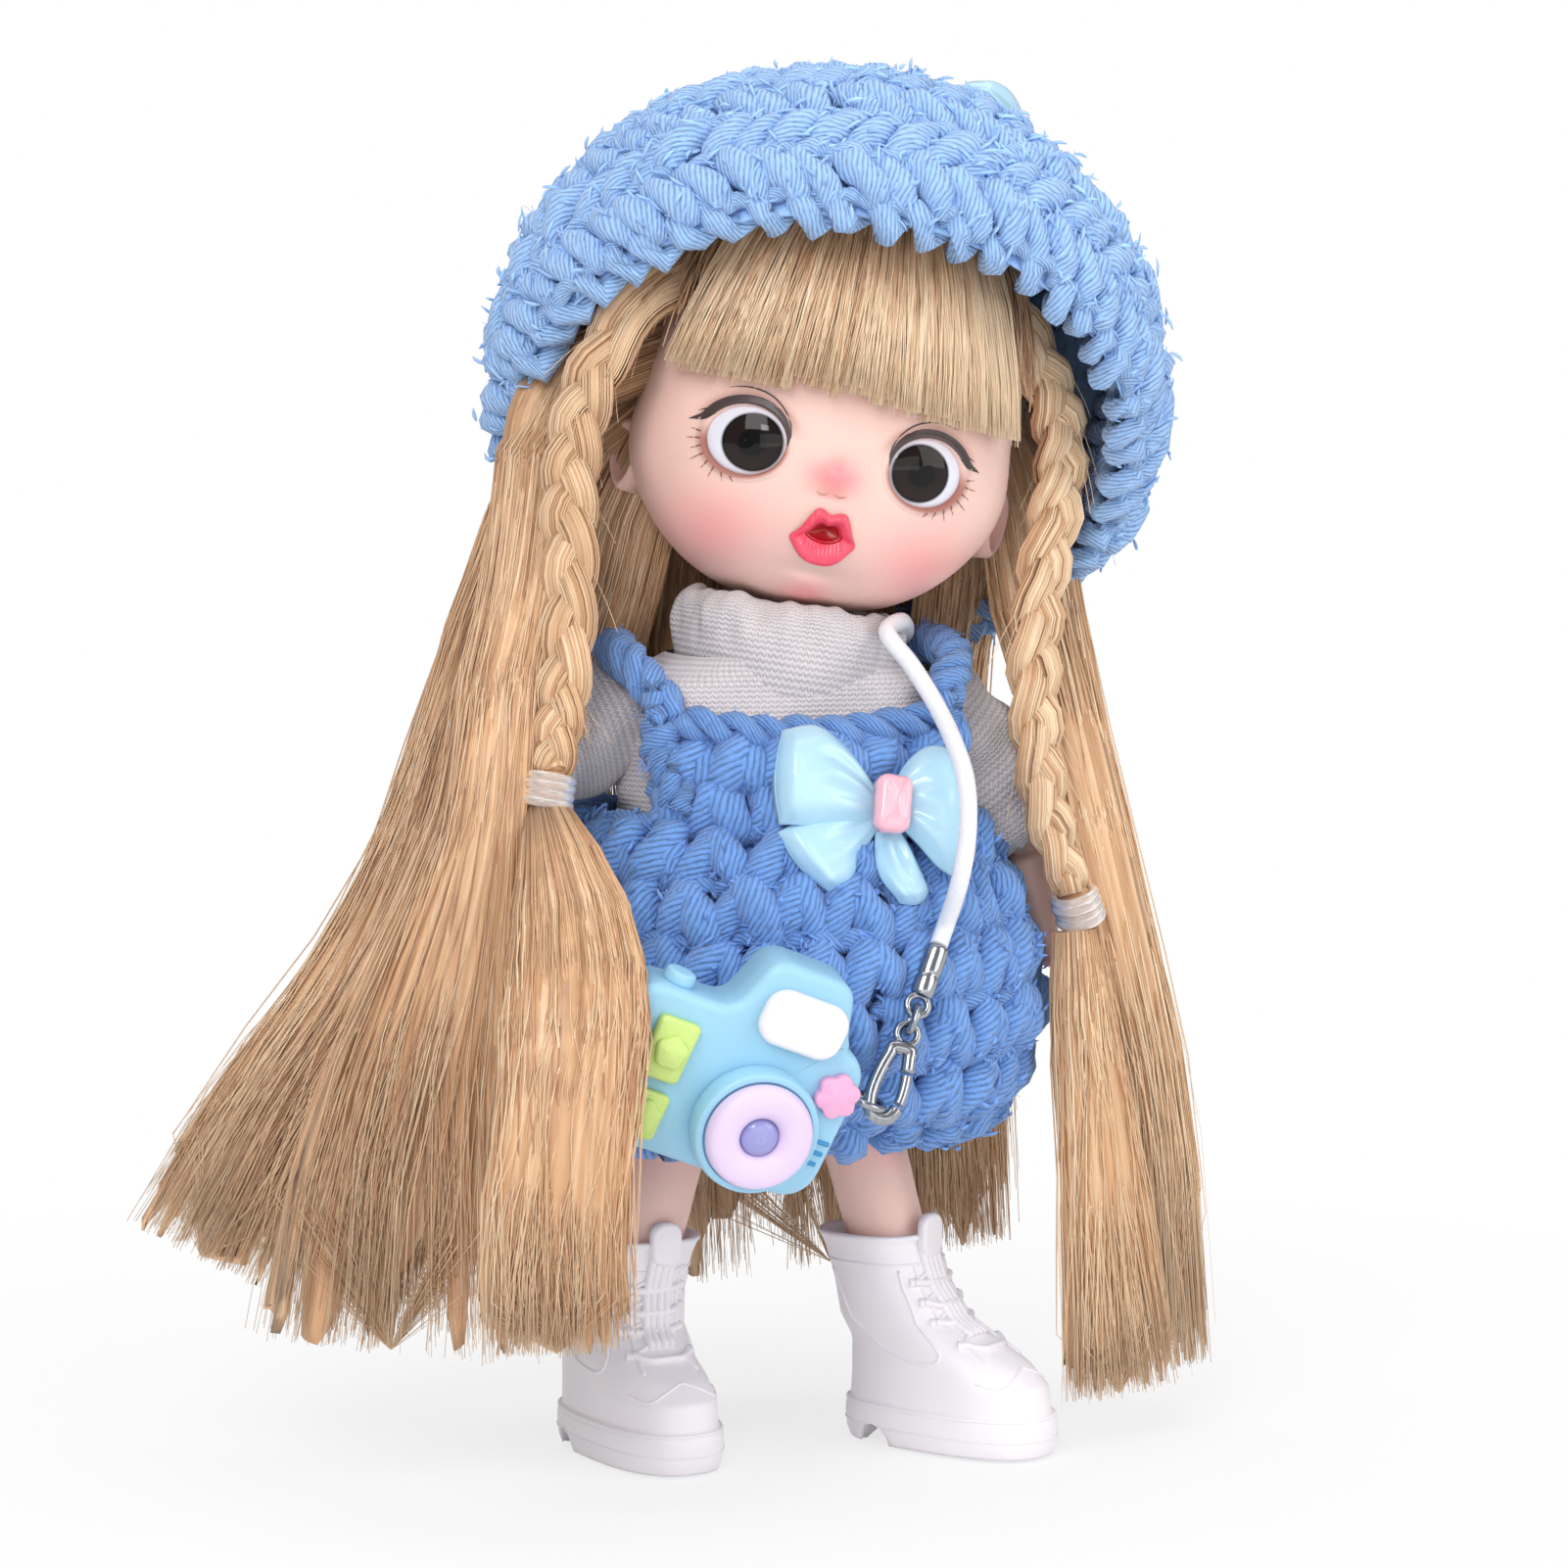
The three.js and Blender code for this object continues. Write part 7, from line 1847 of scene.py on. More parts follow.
def sleeve_shape(side):
    """A sleeve: a wide tube with rings of folds, a gathered mouth and a lining inside the mouth."""
    shoulder = pivot(f"{side}_shoulder_raise")
    elbow = pivot(f"{side}_elbow_bend")
    place = Axes(shoulder, unit(np.cross([0, 1, 0], shoulder - elbow)), shoulder - elbow)
    length = np.linalg.norm(elbow - shoulder)
    z = np.array([3, 1, -0.25 * length, -0.45 * length, -0.75 * length, 1.2 - length, 0.4 - length])
    radius = np.array(
        [6.6, 7.2, SLEEVE_RADIUS - 0.1, SLEEVE_RADIUS, SLEEVE_RADIUS - 0.2, 7.1, SLEEVE_MOUTH_RADIUS - 0.3]
    )
    inside = np.stack([radius[::-1] - SLEEVE_WALL, z[::-1]], 1) + [0, 0.3]
    rows = np.linspace(0, 1, 70)
    outer = spline(np.stack([radius, z], 1)[::-1], rows)
    lining = spline(inside[:4], np.linspace(1, 0, 14))
    line = np.vstack([lining, outer])
    angle = even_angles(110)
    fold = 0.32 * np.sin(0.95 * line[:, 1:] + 1.8 * np.cos(angle) + 0.6 * np.sin(2 * angle))
    fold = fold + 0.22 * np.sin(6 * angle + 0.4 * line[:, 1:])
    mouth = 0.3 * np.sin(19 * angle) * hill(line[:, 1:], -length, 2.2)
    r = line[:, :1] + fold * soft_step(4, 0, line[:, 1:]) + mouth
    grid = np.stack([r * np.cos(angle), r * np.sin(angle), np.broadcast_to(line[:, 1:], r.shape)], -1)
    stitch = sizes().knit_stitch
    return surface(grid, uv=(round(TURN * SLEEVE_RADIUS / stitch), 30 / (stitch * 0.85))).placed(place)


class DOLL_OT_jumper(bpy.types.Operator):
    """Makes the knitted jumper's body, collar and sleeves."""

    bl_idname = "doll.make_jumper"
    bl_label = "Jumper"

    def execute(self, context):
        knit = knit_finish()
        add_piece("jumper_body", jumper_body().placed(DOLL), knit, "torso", ["sweater_body"])
        add_piece("jumper_collar", jumper_collar().placed(NECK), knit, "torso", ["sweater_collar"])
        for side in SIDES:
            add_piece(
                f"{side}_jumper_sleeve", sleeve_shape(side), knit, f"{side}_arm", [f"{side}_sleeve"]
            )
        return {"FINISHED"}


# Limbs

def leg_shape(side, ankle):
    """A bare leg from the hip to inside the boot, round, with a full calf and a soft knee."""
    hip = pivot(f"{side}_hip_swing")
    knee = pivot(f"{side}_knee_bend")
    line = np.vstack([hip + (hip - knee) * 0.1, hip, (hip + knee) / 2, knee, (knee + ankle) / 2, ankle])
    shares = np.linspace(0, 1, 70)
    path = spline(line, shares)
    radius = spline(
        np.array([[5.6], [HIP_RADIUS], [5.9], [KNEE_RADIUS], [4.75], [ANKLE_RADIUS]]), shares
    )[:, 0]
    radius = radius + 0.18 * hill(shares, 0.6, 0.03)
    shape = tubes(path[None], radius[None], 40, (0, 1, 0.02))
    off = shape.points - knee
    shape.marks = {"blush": 0.22 * hill(off[:, 1], -5, 3) * hill(off[:, 2], 0, 4)}
    return shape


def hand_shape(side):
    """A forearm that runs into a small closed hand with finger grooves and a thumb."""
    elbow = pivot(f"{side}_elbow_bend")
    points = node_points(f"{side}_forearm")
    away = np.linalg.norm(points - elbow, axis=1)
    tip = points[away > away.max() - 1.2].mean(0)
    place = Axes(elbow, unit(np.cross([0, -1, 0], elbow - tip)), elbow - tip)
    sign = SIDES[side]
    heights = -np.array([2.2, 3.2, 5, 8, FOREARM_LENGTH, 12, 14.5, 16.5, 17.6, 18.1])
    thick = np.array([1.8, 2.7, FOREARM_RADIUS, 2.7, WRIST_RADIUS, 1.9, 1.75, 1.55, 1.1, 0.4])
    wide = np.array([1.8, 2.7, FOREARM_RADIUS, 2.7, WRIST_RADIUS, 2.6, 2.75, 2.45, 1.8, 0.7])
    line = spline(np.stack([thick, wide, heights], 1)[::-1], np.linspace(0, 1, 64))
    angle = even_angles(56)
    finger = 0.16 * np.cos(4 * TURN * 0.5 * np.sin(angle)) * soft_step(-13.5, -16, line[:, 2:])
    x = (line[:, :1] + finger) * np.cos(angle)
    y = line[:, 1:2] * np.sin(angle)
    arm = surface(np.stack([x, y, np.broadcast_to(line[:, 2:], x.shape)], -1), caps=(True, True))
    arm.marks = {"blush": 0.35 * soft_step(-13, -17, arm.points[:, 2])}
    thumb = np.array([[0, -1.4, -10.8], [0, -2.7, -12.2], [0.2 * sign, -3.2, -13.8], [0.3 * sign, -3.1, -15]])
    steps = np.linspace(0, 1, 16)
    radius = spline(np.array([[0.9], [1.15], [1.05], [0.35]]), steps)[:, 0]
    digit = tubes(spline(thumb, steps)[None], radius[None], 18, (1, 0, 0.1))
    digit.marks = {"blush": np.full(len(digit.points), 0.2)}
    return joined(arm, digit).placed(place)


class DOLL_OT_limbs(bpy.types.Operator):
    """Makes the bare legs and hands, and gives the covered solids their vinyl and steel."""

    bl_idname = "doll.make_limbs"
    bl_label = "Limbs"

    def execute(self, context):
        skin = skin_finish()
        for side in SIDES:
            knee = pivot(f"{side}_knee_bend")
            ankle = Boot(side).ankle
            along = unit(knee - ankle)
            rides = (f"{side}_leg", f"{side}_foot", knee + 5 * along, knee - 5 * along)
            leg = leg_shape(side, ankle)
            add_piece(f"{side}_bare_leg", leg, skin, rides, [f"{side}_thigh", f"{side}_shin"])
            add_piece(f"{side}_hand", hand_shape(side), skin, f"{side}_hand", [f"{side}_forearm"])
        steel = steel_finish()
        for name in ("torso_front", "torso_back", "neck_post", "right_upper_arm", "left_upper_arm",
                     "right_shoulder_peg", "left_shoulder_peg", "hip_axle"):
            node = frame["nodes"][name]
            node.data.materials.clear()
            node.data.materials.append(steel if name == "hip_axle" else skin)
        return {"FINISHED"}


# Boots

class Boot:
    """One boot: sections of half width, half length and middle from the sole up that lean with the shin."""

    sections = np.array([
        [0, 6.9, 13.9, -5.7], [1.2, 7.3, 14.35, -5.7], [3.4, 7.5, 14.5, -5.7], [4.5, 7.4, 14.35, -5.7],
        [5.2, 6.9, 13.75, -5.6], [8.2, 6.95, 13.4, -5.5], [10.5, 6.75, 12.1, -4.2], [12.8, 6.55, 10.0, -2.3],
        [15.5, 6.4, 8.2, 0.2], [20, 6.25, 6.9, 0.9], [24, 6.5, 6.8, 1.0], [25.4, 6.8, 7.0, 1.0],
    ])
    seams = [
        ([38, 20, -2, -24, -38, -44], [21.5, 14.5, 11, 12, 16, 22], 0.22, 0),
        ([-62, -64, -66, -66], [11.5, 14.5, 18, 22.5], 0.24, 0),
        ([-36, -52, -72, -90], [9.2, 8.6, 9.6, 10.6], 0.18, 0),
        *(([-60, -53], [z, z], 0.62, -0.1) for z in (13.2, 15.6, 18, 20.4)),
    ]

    def __init__(self, side):
        points = node_points(f"{side}_boot")
        top = points[points[:, 2] > BOOT_HEIGHT - 0.6].mean(0)
        knee = pivot(f"{side}_knee_bend")
        turn = math.radians(TOE_TURN[side])
        self.ahead = np.array([math.sin(turn), -math.cos(turn), 0])
        self.across = np.array([math.cos(turn), math.sin(turn), 0])
        rise = (BOOT_HEIGHT - ANKLE_HEIGHT) / (knee[2] - ANKLE_HEIGHT)
        ankle = (top + self.ahead - rise * knee) / (1 - rise)
        self.ankle = np.array([ankle[0], ankle[1], ANKLE_HEIGHT])
        self.lean = (knee - self.ankle) / (knee[2] - ANKLE_HEIGHT)

    def at(self, angle, z, lift=0.0, size=1.0):
        """Points at a height and an angle round the boot, -90 degrees at the toe."""
        angle, z, lift = matched(angle, z, lift)
        wide, long, middle = (np.interp(z, self.sections[:, 0], self.sections[:, k]) for k in (1, 2, 3))
        square = 0.8
        cosine = np.sign(np.cos(angle)) * np.abs(np.cos(angle)) ** square
        sine = np.sign(np.sin(angle)) * np.abs(np.sin(angle)) ** square
        x = (wide * size + lift) * cosine
        y = middle + (long * size + lift) * sine
        arch = np.sqrt(np.clip(1 - ((y - ARCH_Y) / (ARCH_LENGTH / 2)) ** 2, 0, 1)) * ARCH_HEIGHT
        z = np.maximum(z, arch)
        tilt = np.maximum(z - ANKLE_HEIGHT, 0)[..., None] * self.lean * [1, 1, 0]
        foot = self.ankle * [1, 1, 0]
        level = foot + tilt + x[..., None] * self.across - y[..., None] * self.ahead
        return level + z[..., None] * np.array([0, 0, 1])

    def upper(self):
        """The shell: across the sole, up with a step at the welt, over a rolled collar and down inside."""
        angle = even_angles(120)
        rows = [self.at(angle, 0, 0, size) for size in (0.05, 0.35, 0.65, 0.88)]
        for z in np.concatenate([np.linspace(0, 5.2, 14), np.linspace(5.6, 25.4, 46)]):
            rows.append(self.at(angle, z))
        for lift, z in (
            (0.35, 25.8), (0.2, 26.2), (-0.5, 26.2), (-1.2, 25.6), (-1.6, 24), (-2.2, 19), (-2.4, 14)
        ):
            rows.append(self.at(angle, np.minimum(z, 25.4), lift) + [0, 0, max(0, z - 25.4)])
        return surface(np.array(rows), caps=(True, True))

    def seam(self, angles, heights, radius, lift=0.0):
        """A raised line on the boot through angles, in degrees, and heights."""
        t = np.linspace(0, 1, 60)
        spots = spline(np.stack([np.radians(angles), heights], 1), t)
        path = self.at(spots[:, 0], spots[:, 1], lift)
        return tubes(path[None], radius, 8, (0.1, 0.2, 0.97))

    def trim(self):
        """Welt, collar band, ankle panels, toe seam, eyelet pads, laces and the pull tab."""
        shapes = []
        around = np.linspace(0, TURN, 120)
        for z, radius, lift in ((4.75, 0.3, -0.05), (2.3, 0.14, 0.02), (22.6, 0.2, 0)):
            shapes.append(tubes(self.at(around, z, lift)[None], radius, 8, (0.05, 0.02, 1)))
        for start, sign in ((0, 1), (180, -1)):
            for angles, heights, radius, lift in self.seams:
                shapes.append(self.seam(start + sign * np.array(angles), heights, radius, lift))
        for k, z in enumerate((13.4, 15.8, 18.2, 20.6)):
            dip = -0.55 + 0.25 * (k % 2)
            shapes.append(self.seam([-120, -105, -90, -75, -60], [z, z + dip, z + dip, z + dip, z], 0.5, 0.2))
            shapes.append(self.seam([-118, -100, -84, -62], [z, z + 0.8, z + 1.5, z + 2.2], 0.3, 0.05))
        tongue = self.at(np.radians(-90), np.linspace(14, 25.4, 20), 0.1)
        for offset in (-1.4, -0.5, 0.5, 1.4):
            shapes.append(tubes((tongue + offset * self.across)[None], 0.55, 8, self.across))
        tab = pillow(round_outline(4.2, 5.4, 1.7), 1.3, 0.55)
        place = Axes(self.at(np.radians(-90), 24.6, -0.2) + [0, 0, 1.4], self.across, [0, 0, 1])
        shapes.append(tab.placed(place))
        return joined(*shapes)


class DOLL_OT_boots(bpy.types.Operator):
    """Makes the two moulded boots with their soles, seams and laces."""

    bl_idname = "doll.make_boots"
    bl_label = "Boots"

    def execute(self, context):
        plastic = plastic_finish("boot")
        for side in SIDES:
            boot = Boot(side)
            add_piece(f"{side}_boot_shell", boot.upper(), plastic, f"{side}_foot", [f"{side}_boot"])
            add_piece(f"{side}_boot_trim", boot.trim(), plastic, f"{side}_foot")
        return {"FINISHED"}


# Bows

BOW_FOLDS = [
    ([(-1.2, -0.4), (-5.5, -0.6), (-9.5, -0.8), (-13.2, -2.4)],
     [(-0.6, -2.0), (-3.4, -6.2), (-5.0, -8.8), (-7.4, -9.8)],
     [0.9, 2.0, 2.6, 2.4], 0.0, 2),
    ([(1.0, -1.2), (2.8, -4.4), (4.0, -7.4), (5.0, -10.2)],
     [(-1.0, -1.6), (-1.5, -5.2), (-1.0, -8.4), (1.2, -11.4)],
     [0.9, 1.9, 2.4, 2.2], 0.0, 2),
    ([(-0.8, 2.2), (-4.0, 7.0), (-7.8, 10.0), (-12.0, 9.7)],
     [(-0.8, -1.3), (-5.0, -1.9), (-9.0, -2.0), (-13.1, -1.7)],
     [1.2, 3.0, 3.8, 3.9], 0.6, 3),
    ([(0.8, 2.2), (3.2, 5.6), (6.0, 7.3), (9.6, 6.6)],
     [(0.8, -1.3), (3.6, -4.4), (6.2, -7.6), (9.2, -9.4)],
     [1.2, 2.9, 3.6, 3.5], 0.6, 3),
]


def bow_shape(width):
    """A moulded bow that faces -Y: two tails under two loops, each a fold that fans out of the knot."""
    scale = width / CHEST_BOW_WIDTH
    s = np.concatenate([[0], np.sin(np.linspace(0, math.pi / 2, 34))])[:, None]
    front = np.linspace(0, 1, 44)
    t = np.concatenate([front, front[::-1][1:-1]])
    behind = np.arange(len(t)) >= len(front)
    shapes = []
    for upper, lower, heights, lift, creases in BOW_FOLDS:
        first = spline(upper, s[:, 0])[:, None]
        second = spline(lower, s[:, 0])[:, None]
        flat = first + (second - first) * t[:, None]
        ahead = unit((first + second)[-1] - (first + second)[-6])
        flat = flat + (0.9 * np.sin(math.pi * t) * s**4)[..., None] * ahead
        rise = spline(np.array(heights)[:, None], s[:, 0])
        end = np.sqrt(np.clip(1 - s**14, 0.02, 1))
        across = np.sin(math.pi * np.clip(t, 0.012, 0.988)) ** 0.42
        fan = np.cos(TURN * creases * (t - 0.13)) * hill(s, 0.38, 0.26)
        roll = 0.5 * hill(s, 0.9, 0.06) + 0.35 * hill(t, 0.86, 0.07) * s
        height = lift + rise * across * end + (0.42 * fan + roll) * across * end
        height = np.where(behind, 0.25 * lift, height)
        height[0] = 0.4 * lift + 0.3
        shapes.append(surface(np.stack([flat[..., 0], -height, flat[..., 1]], -1) * scale, caps=(True, True)))
    return joined(*shapes)


def knot_shape():
    """The bow's knot: a pad that is narrow in the middle, with a deep fold down it."""
    pad = pillow(round_outline(4.8, 7, 1.7, 16), 3.2, 1.3, 9, 0.5)
    x, y, z = pad.points.T
    pad.points[:, 0] *= 0.86 + 0.16 * (z / 3.5) ** 2
    front = soft_step(0.8, 2.6, -y)
    crease = 0.6 * hill(x - 0.25 * z, -0.1, 0.55) - 0.3 * hill(x - 0.25 * z, 1.1, 0.6)
    pad.points[:, 1] += front * crease
    return pad


class DOLL_OT_bow(bpy.types.Operator):
    """Makes the resin bow on the chest and its knot."""

    bl_idname = "doll.make_bow"
    bl_label = "Chest bow"

    def execute(self, context):
        front = SWEATER_HALF_DEPTH + SOFT_CLEARANCE + YARN_THICKNESS
        place = Axes(
            DOLL.out([CHEST_BOW_X, -front - BOW_THICKNESS - 1, WAIST_Z + CHEST_BOW_RISE]), [1, 0, 0],
            [0, 0, 1]
        )
        place = place.tipped(0, -CHEST_BOW_PITCH)
        bow = bow_shape(CHEST_BOW_WIDTH).placed(place.moved([0, BOW_THICKNESS - 0.4, 0]))
        place = place.tipped(1, -CHEST_BOW_ROLL)
        add_piece("chest_resin_bow", bow, resin_finish("bow"), "torso", ["chest_bow"])
        knot = knot_shape().placed(place.moved([0, 0.2, 0]))
        add_piece("chest_resin_knot", knot, resin_finish("knot"), "torso", ["chest_bow_knot"])
        return {"FINISHED"}


# Toy camera

def toy_outline():
    """The toy camera's front as (x, z) points: a round-cornered box with a sloping prism on top."""
    half, top, c = CAMERA_WIDTH / 2, CAMERA_HEIGHT / 2, CAMERA_CORNER
    foot, peak = PRISM_WIDTH / 2, CAMERA_HEIGHT / 2 + PRISM_HEIGHT
    arc = np.linspace(0, math.pi / 2, 10)

    def corner(x, z, turn, radius):
        """A quarter circle about (x, z)."""
        return np.stack([x + radius * np.cos(arc + turn), z + radius * np.sin(arc + turn)], 1)

    bend = PRISM_CORNER
    left = PRISM_X - foot
    right = PRISM_X + foot
    return np.vstack([
        corner(half - c, -top + c, -math.pi / 2, c), corner(half - c, top - c, 0, c),
        [[right + 0.9, top]], [[right - 0.1, top + 0.6]],
        corner(right - PRISM_SLOPE - bend, peak - bend, 0, bend),
        corner(left + PRISM_SLOPE + bend, peak - bend, math.pi / 2, bend),
        [[left + 0.1, top + 0.6]], [[left - 0.9, top]],
        corner(-half + c, top - c, math.pi / 2, c), corner(-half + c, -top + c, math.pi, c),
    ])


def rounded_star(radius):
    """A soft star as a closed ring of points: a circle that swings five times."""
    angle = even_angles(80)
    swing = np.cos(5 * (angle - math.pi / 2))
    r = radius * (0.94 + 0.06 * swing)
    return np.stack([r * np.cos(angle), r * np.sin(angle)], 1)


class DOLL_OT_camera(bpy.types.Operator):
    """Makes the toy camera: body, lens, buttons, window, engraved lines and lug rings."""

    bl_idname = "doll.make_toy_camera"
    bl_label = "Toy camera"

    def execute(self, context):
        front = -CAMERA_THICKNESS / 2
        middle = TOY.moved([0, 0, -LUG_HEIGHT])
        face = middle.moved([0, front, 0])
        blue = plastic_finish("toy_blue")
        lens = Axes(face.out([LENS_X, 0, -LENS_DROP]), TOY.turn[0], -TOY.turn[1])
        body = pillow(softened(toy_outline(), 1.1), CAMERA_THICKNESS, 1.2, 10, 0, (PRISM_X, 2)).placed(
            middle.moved([0, CAMERA_THICKNESS / 2, 0]))
        barrel = lathe(rounded([
            (0, -1), (BARREL_RADIUS, -1), (BARREL_RADIUS, BARREL_LENGTH),
            (BARREL_RADIUS - 0.9, BARREL_LENGTH), (LENS_RING_RADIUS + 0.2, BARREL_LENGTH),
            (LENS_RING_RADIUS, BARREL_LENGTH - 0.6), (0, BARREL_LENGTH - 0.6),
        ]), 64).placed(lens)
        lugs = [
            pillow(round_outline(2 * LUG_REACH + 1.2, 2.2, 0.9), 1.8, 0.6).placed(
                TOY.moved([sign * (CAMERA_WIDTH / 2 - 0.1), 0.9, 0]))
            for sign in (-1, 1)
        ]
        add_piece(
            "toy_camera_body", joined(body, barrel, *lugs), blue, "camera", ["camera_body"]
        )
        lines = []
        for k in range(3):
            ends = [[x + 0.25 * k, 0, -4.5 + 1.4 * k] for x in (12.3, 14.5)]
            path = face.out(spline(ends, np.linspace(0, 1, 6)))
            lines.append(tubes(path[None], 0.3, 8, (0, 1, 0.1)))
        dots = [lathe([(0, -0.1), (0.5, -0.1), (0.45, 0.15), (0, 0.22)], 16).placed(
            Axes(face.out([x, 0, z]), TOY.turn[0], -TOY.turn[1])) for x, z in ((11.8, -6.2), (10.7, -7.7))]
        add_piece(
            "toy_camera_lines", joined(*lines, *dots), plastic_finish("toy_line"), "camera"
        )

        ring = lathe(rounded([
            (LENS_HOLE_RADIUS, -0.6), (LENS_RING_RADIUS, -0.6), (LENS_RING_RADIUS, 1.1),
            (LENS_RING_RADIUS - 0.6, LENS_RING_LENGTH), (LENS_HOLE_RADIUS + 1.1, LENS_RING_LENGTH),
            (LENS_HOLE_RADIUS, 1.0), (LENS_HOLE_RADIUS, -0.5),
        ]), 64).placed(lens.moved([0, 0, BARREL_LENGTH]))
        add_piece("toy_lens_ring", ring, plastic_finish("toy_lilac"), "camera", ["lens_ring"])
        glass = lathe(
            rounded([(0, 0), (LENS_HOLE_RADIUS, 0), (LENS_HOLE_RADIUS, 0.9), (1.4, 1.5), (0, 1.7)]), 40
        )
        glass = glass.placed(lens.moved([0, 0, BARREL_LENGTH]))
        add_piece("toy_lens", glass, resin_finish("toy_lens"), "camera", ["lens_glass"])
        for name, spot, size in (("upper", (-8.6, 3), (5.2, 7.6)), ("lower", (-8.4, -5.2), (5.2, 5.8))):
            place = face.moved([spot[0], 0.1, spot[1]])
            button = pillow(round_outline(*size, 0.8), BUTTON_HEIGHT, 0.5, crown=0.2).placed(place)
            add_piece(f"toy_{name}_button", button, plastic_finish("toy_green"), "camera",
                      [f"{name}_green_button"])
            star = pillow(rounded_star(2.1), 1.0, 0.5, crown=0.35).placed(
                place.moved([0, -BUTTON_HEIGHT + 0.1, 0])
            )
            add_piece(f"toy_{name}_star", star, plastic_finish("toy_green"), "camera")
        flower = pillow(
            softened(petal_outline(2.8, 0.2, 6, 120), 0.25), BUTTON_HEIGHT, 0.4, crown=0.4
        ).placed(face.moved([13, 0.1, 4.4]))
        add_piece(
            "toy_flower", flower, plastic_finish("toy_pink"), "camera", ["flower_button"]
        )
        window = pillow(
            round_outline(10.6, 6.8, 2.6, 12), 1.9, 0.9, crown=0.4
        ).placed(face.moved([5.2, 0.1, 11.15]))
        add_piece(
            "toy_window", window, plastic_finish("toy_white"), "camera", ["flash_window"]
        )
        top = Axes(middle.out([-9.6, 0, CAMERA_HEIGHT / 2]), TOY.turn[0], TOY.turn[2])
        shutter = lathe(rounded([(0, -0.3), (1.9, -0.3), (1.9, 1.3), (1.5, 1.6), (0, 1.6)]), 36).placed(top)
        add_piece("toy_shutter", shutter, blue, "camera", ["shutter_button"])
        steel = steel_finish()
        for name, sign in SIDES.items():
            place = TOY.moved([sign * (CAMERA_WIDTH / 2 + LUG_REACH + RING_RADIUS), 0, 0])
            loop = ring_shape(RING_RADIUS, RING_WIRE, place, (0, 0, 1))
            add_piece(f"toy_{name}_ring", loop, steel, "camera", [f"{name}_lug_ring"])
        return {"FINISHED"}


# Cord and clasp

HOOK_X = CAMERA_WIDTH / 2 + LUG_REACH + 2 * RING_RADIUS
CLASP_LEAN = (-19.5, 25)
PLAIN_END_LEAN = (-18, 26)
CRIMP_LENGTH = 6.5
CRIMP_RADIUS = 1.45
CLASP_CRIMP = 14.175
PLAIN_CRIMP = 1.275
EYE_OF_END = 1.3
CORD_ROUTE = [
    [14.9, -28, 72.6], [15.6, -28.7, 78.4], [15.6, -28.2, 84.2], [15.3, -24.5, 88.6], [14.3, -20.4, 92.9],
    [12, -18, 97.5], [9.6, -15.6, 101.4], [13.2, -9.6, 102.4], [16.1, -1, 100.2], [15.2, 7, 98.4],
    [11.5, 13.4, 95.4], [5, 18, 91], [-4, 20.8, 87.6], [-13, 19.8, 84.4], [-21.5, 14.5, 80.6],
    [-27.5, 6, 76.6], [-30.2, -4, 74.8], [-30.4, -14, 74.2],
]


def hook_axes(sign, lean):
    """The frame of a cord end where it hooks on to the camera's ring."""
    place = Axes(TOY.out([sign * HOOK_X, 0, 0]), [1, 0, 0], [0, 0, 1])
    return place.tipped(0, lean[0]).tipped(1, lean[1])


def crimp_shape(place, low):
    """A steel cord end: a tube with a rolled mouth, and the eye under it."""
    high = low + CRIMP_LENGTH
    tube = lathe(rounded([
        (0, low), (CRIMP_RADIUS * 0.8, low), (CRIMP_RADIUS, low + 0.5), (CRIMP_RADIUS, low + 2.4),
        (CRIMP_RADIUS * 0.9, low + 2.8), (CRIMP_RADIUS, low + 3.2), (CRIMP_RADIUS, high - 0.4),
        (CRIMP_RADIUS * 0.92, high), (CORD_DIAMETER / 2, high), (CORD_DIAMETER / 2 - 0.1, high - 1),
        (0, high - 1),
    ], 5), 32).placed(place)
    eye = ring_shape(EYE_OF_END, RING_WIRE, place.moved([0, 0, low - EYE_OF_END + RING_WIRE / 2]), (0, 1, 0))
    return joined(tube, eye)


def claw_line(shares):
    """The clasp's claw and gate in its own (x, z): a drop's outline, cut where the gate starts and ends."""
    half, low, high = 2.0, -1.5, 7.75
    t = np.linspace(0, 1, 60)[:, None]
    ends = np.array([[0, low], [half * 1.3, low], [half, high * 0.45], [half * 0.45, high]])
    right = (1 - t) ** 3 * ends[0] + 3 * t * (1 - t) ** 2 * ends[1]
    right = right + 3 * t**2 * (1 - t) * ends[2] + t**3 * ends[3]
    loop = np.vstack([right, right[::-1] * [-1, 1]])
    start = np.argmin(np.abs(right[:, 1] - 4.85))
    finish = np.argmin(np.abs(right[:, 1] - 0.75))
    line = np.vstack([loop[start:], right[:finish]])
    lever = right[finish + 1:start]
    return spline(line[::4], shares), spline(lever[::2], shares)


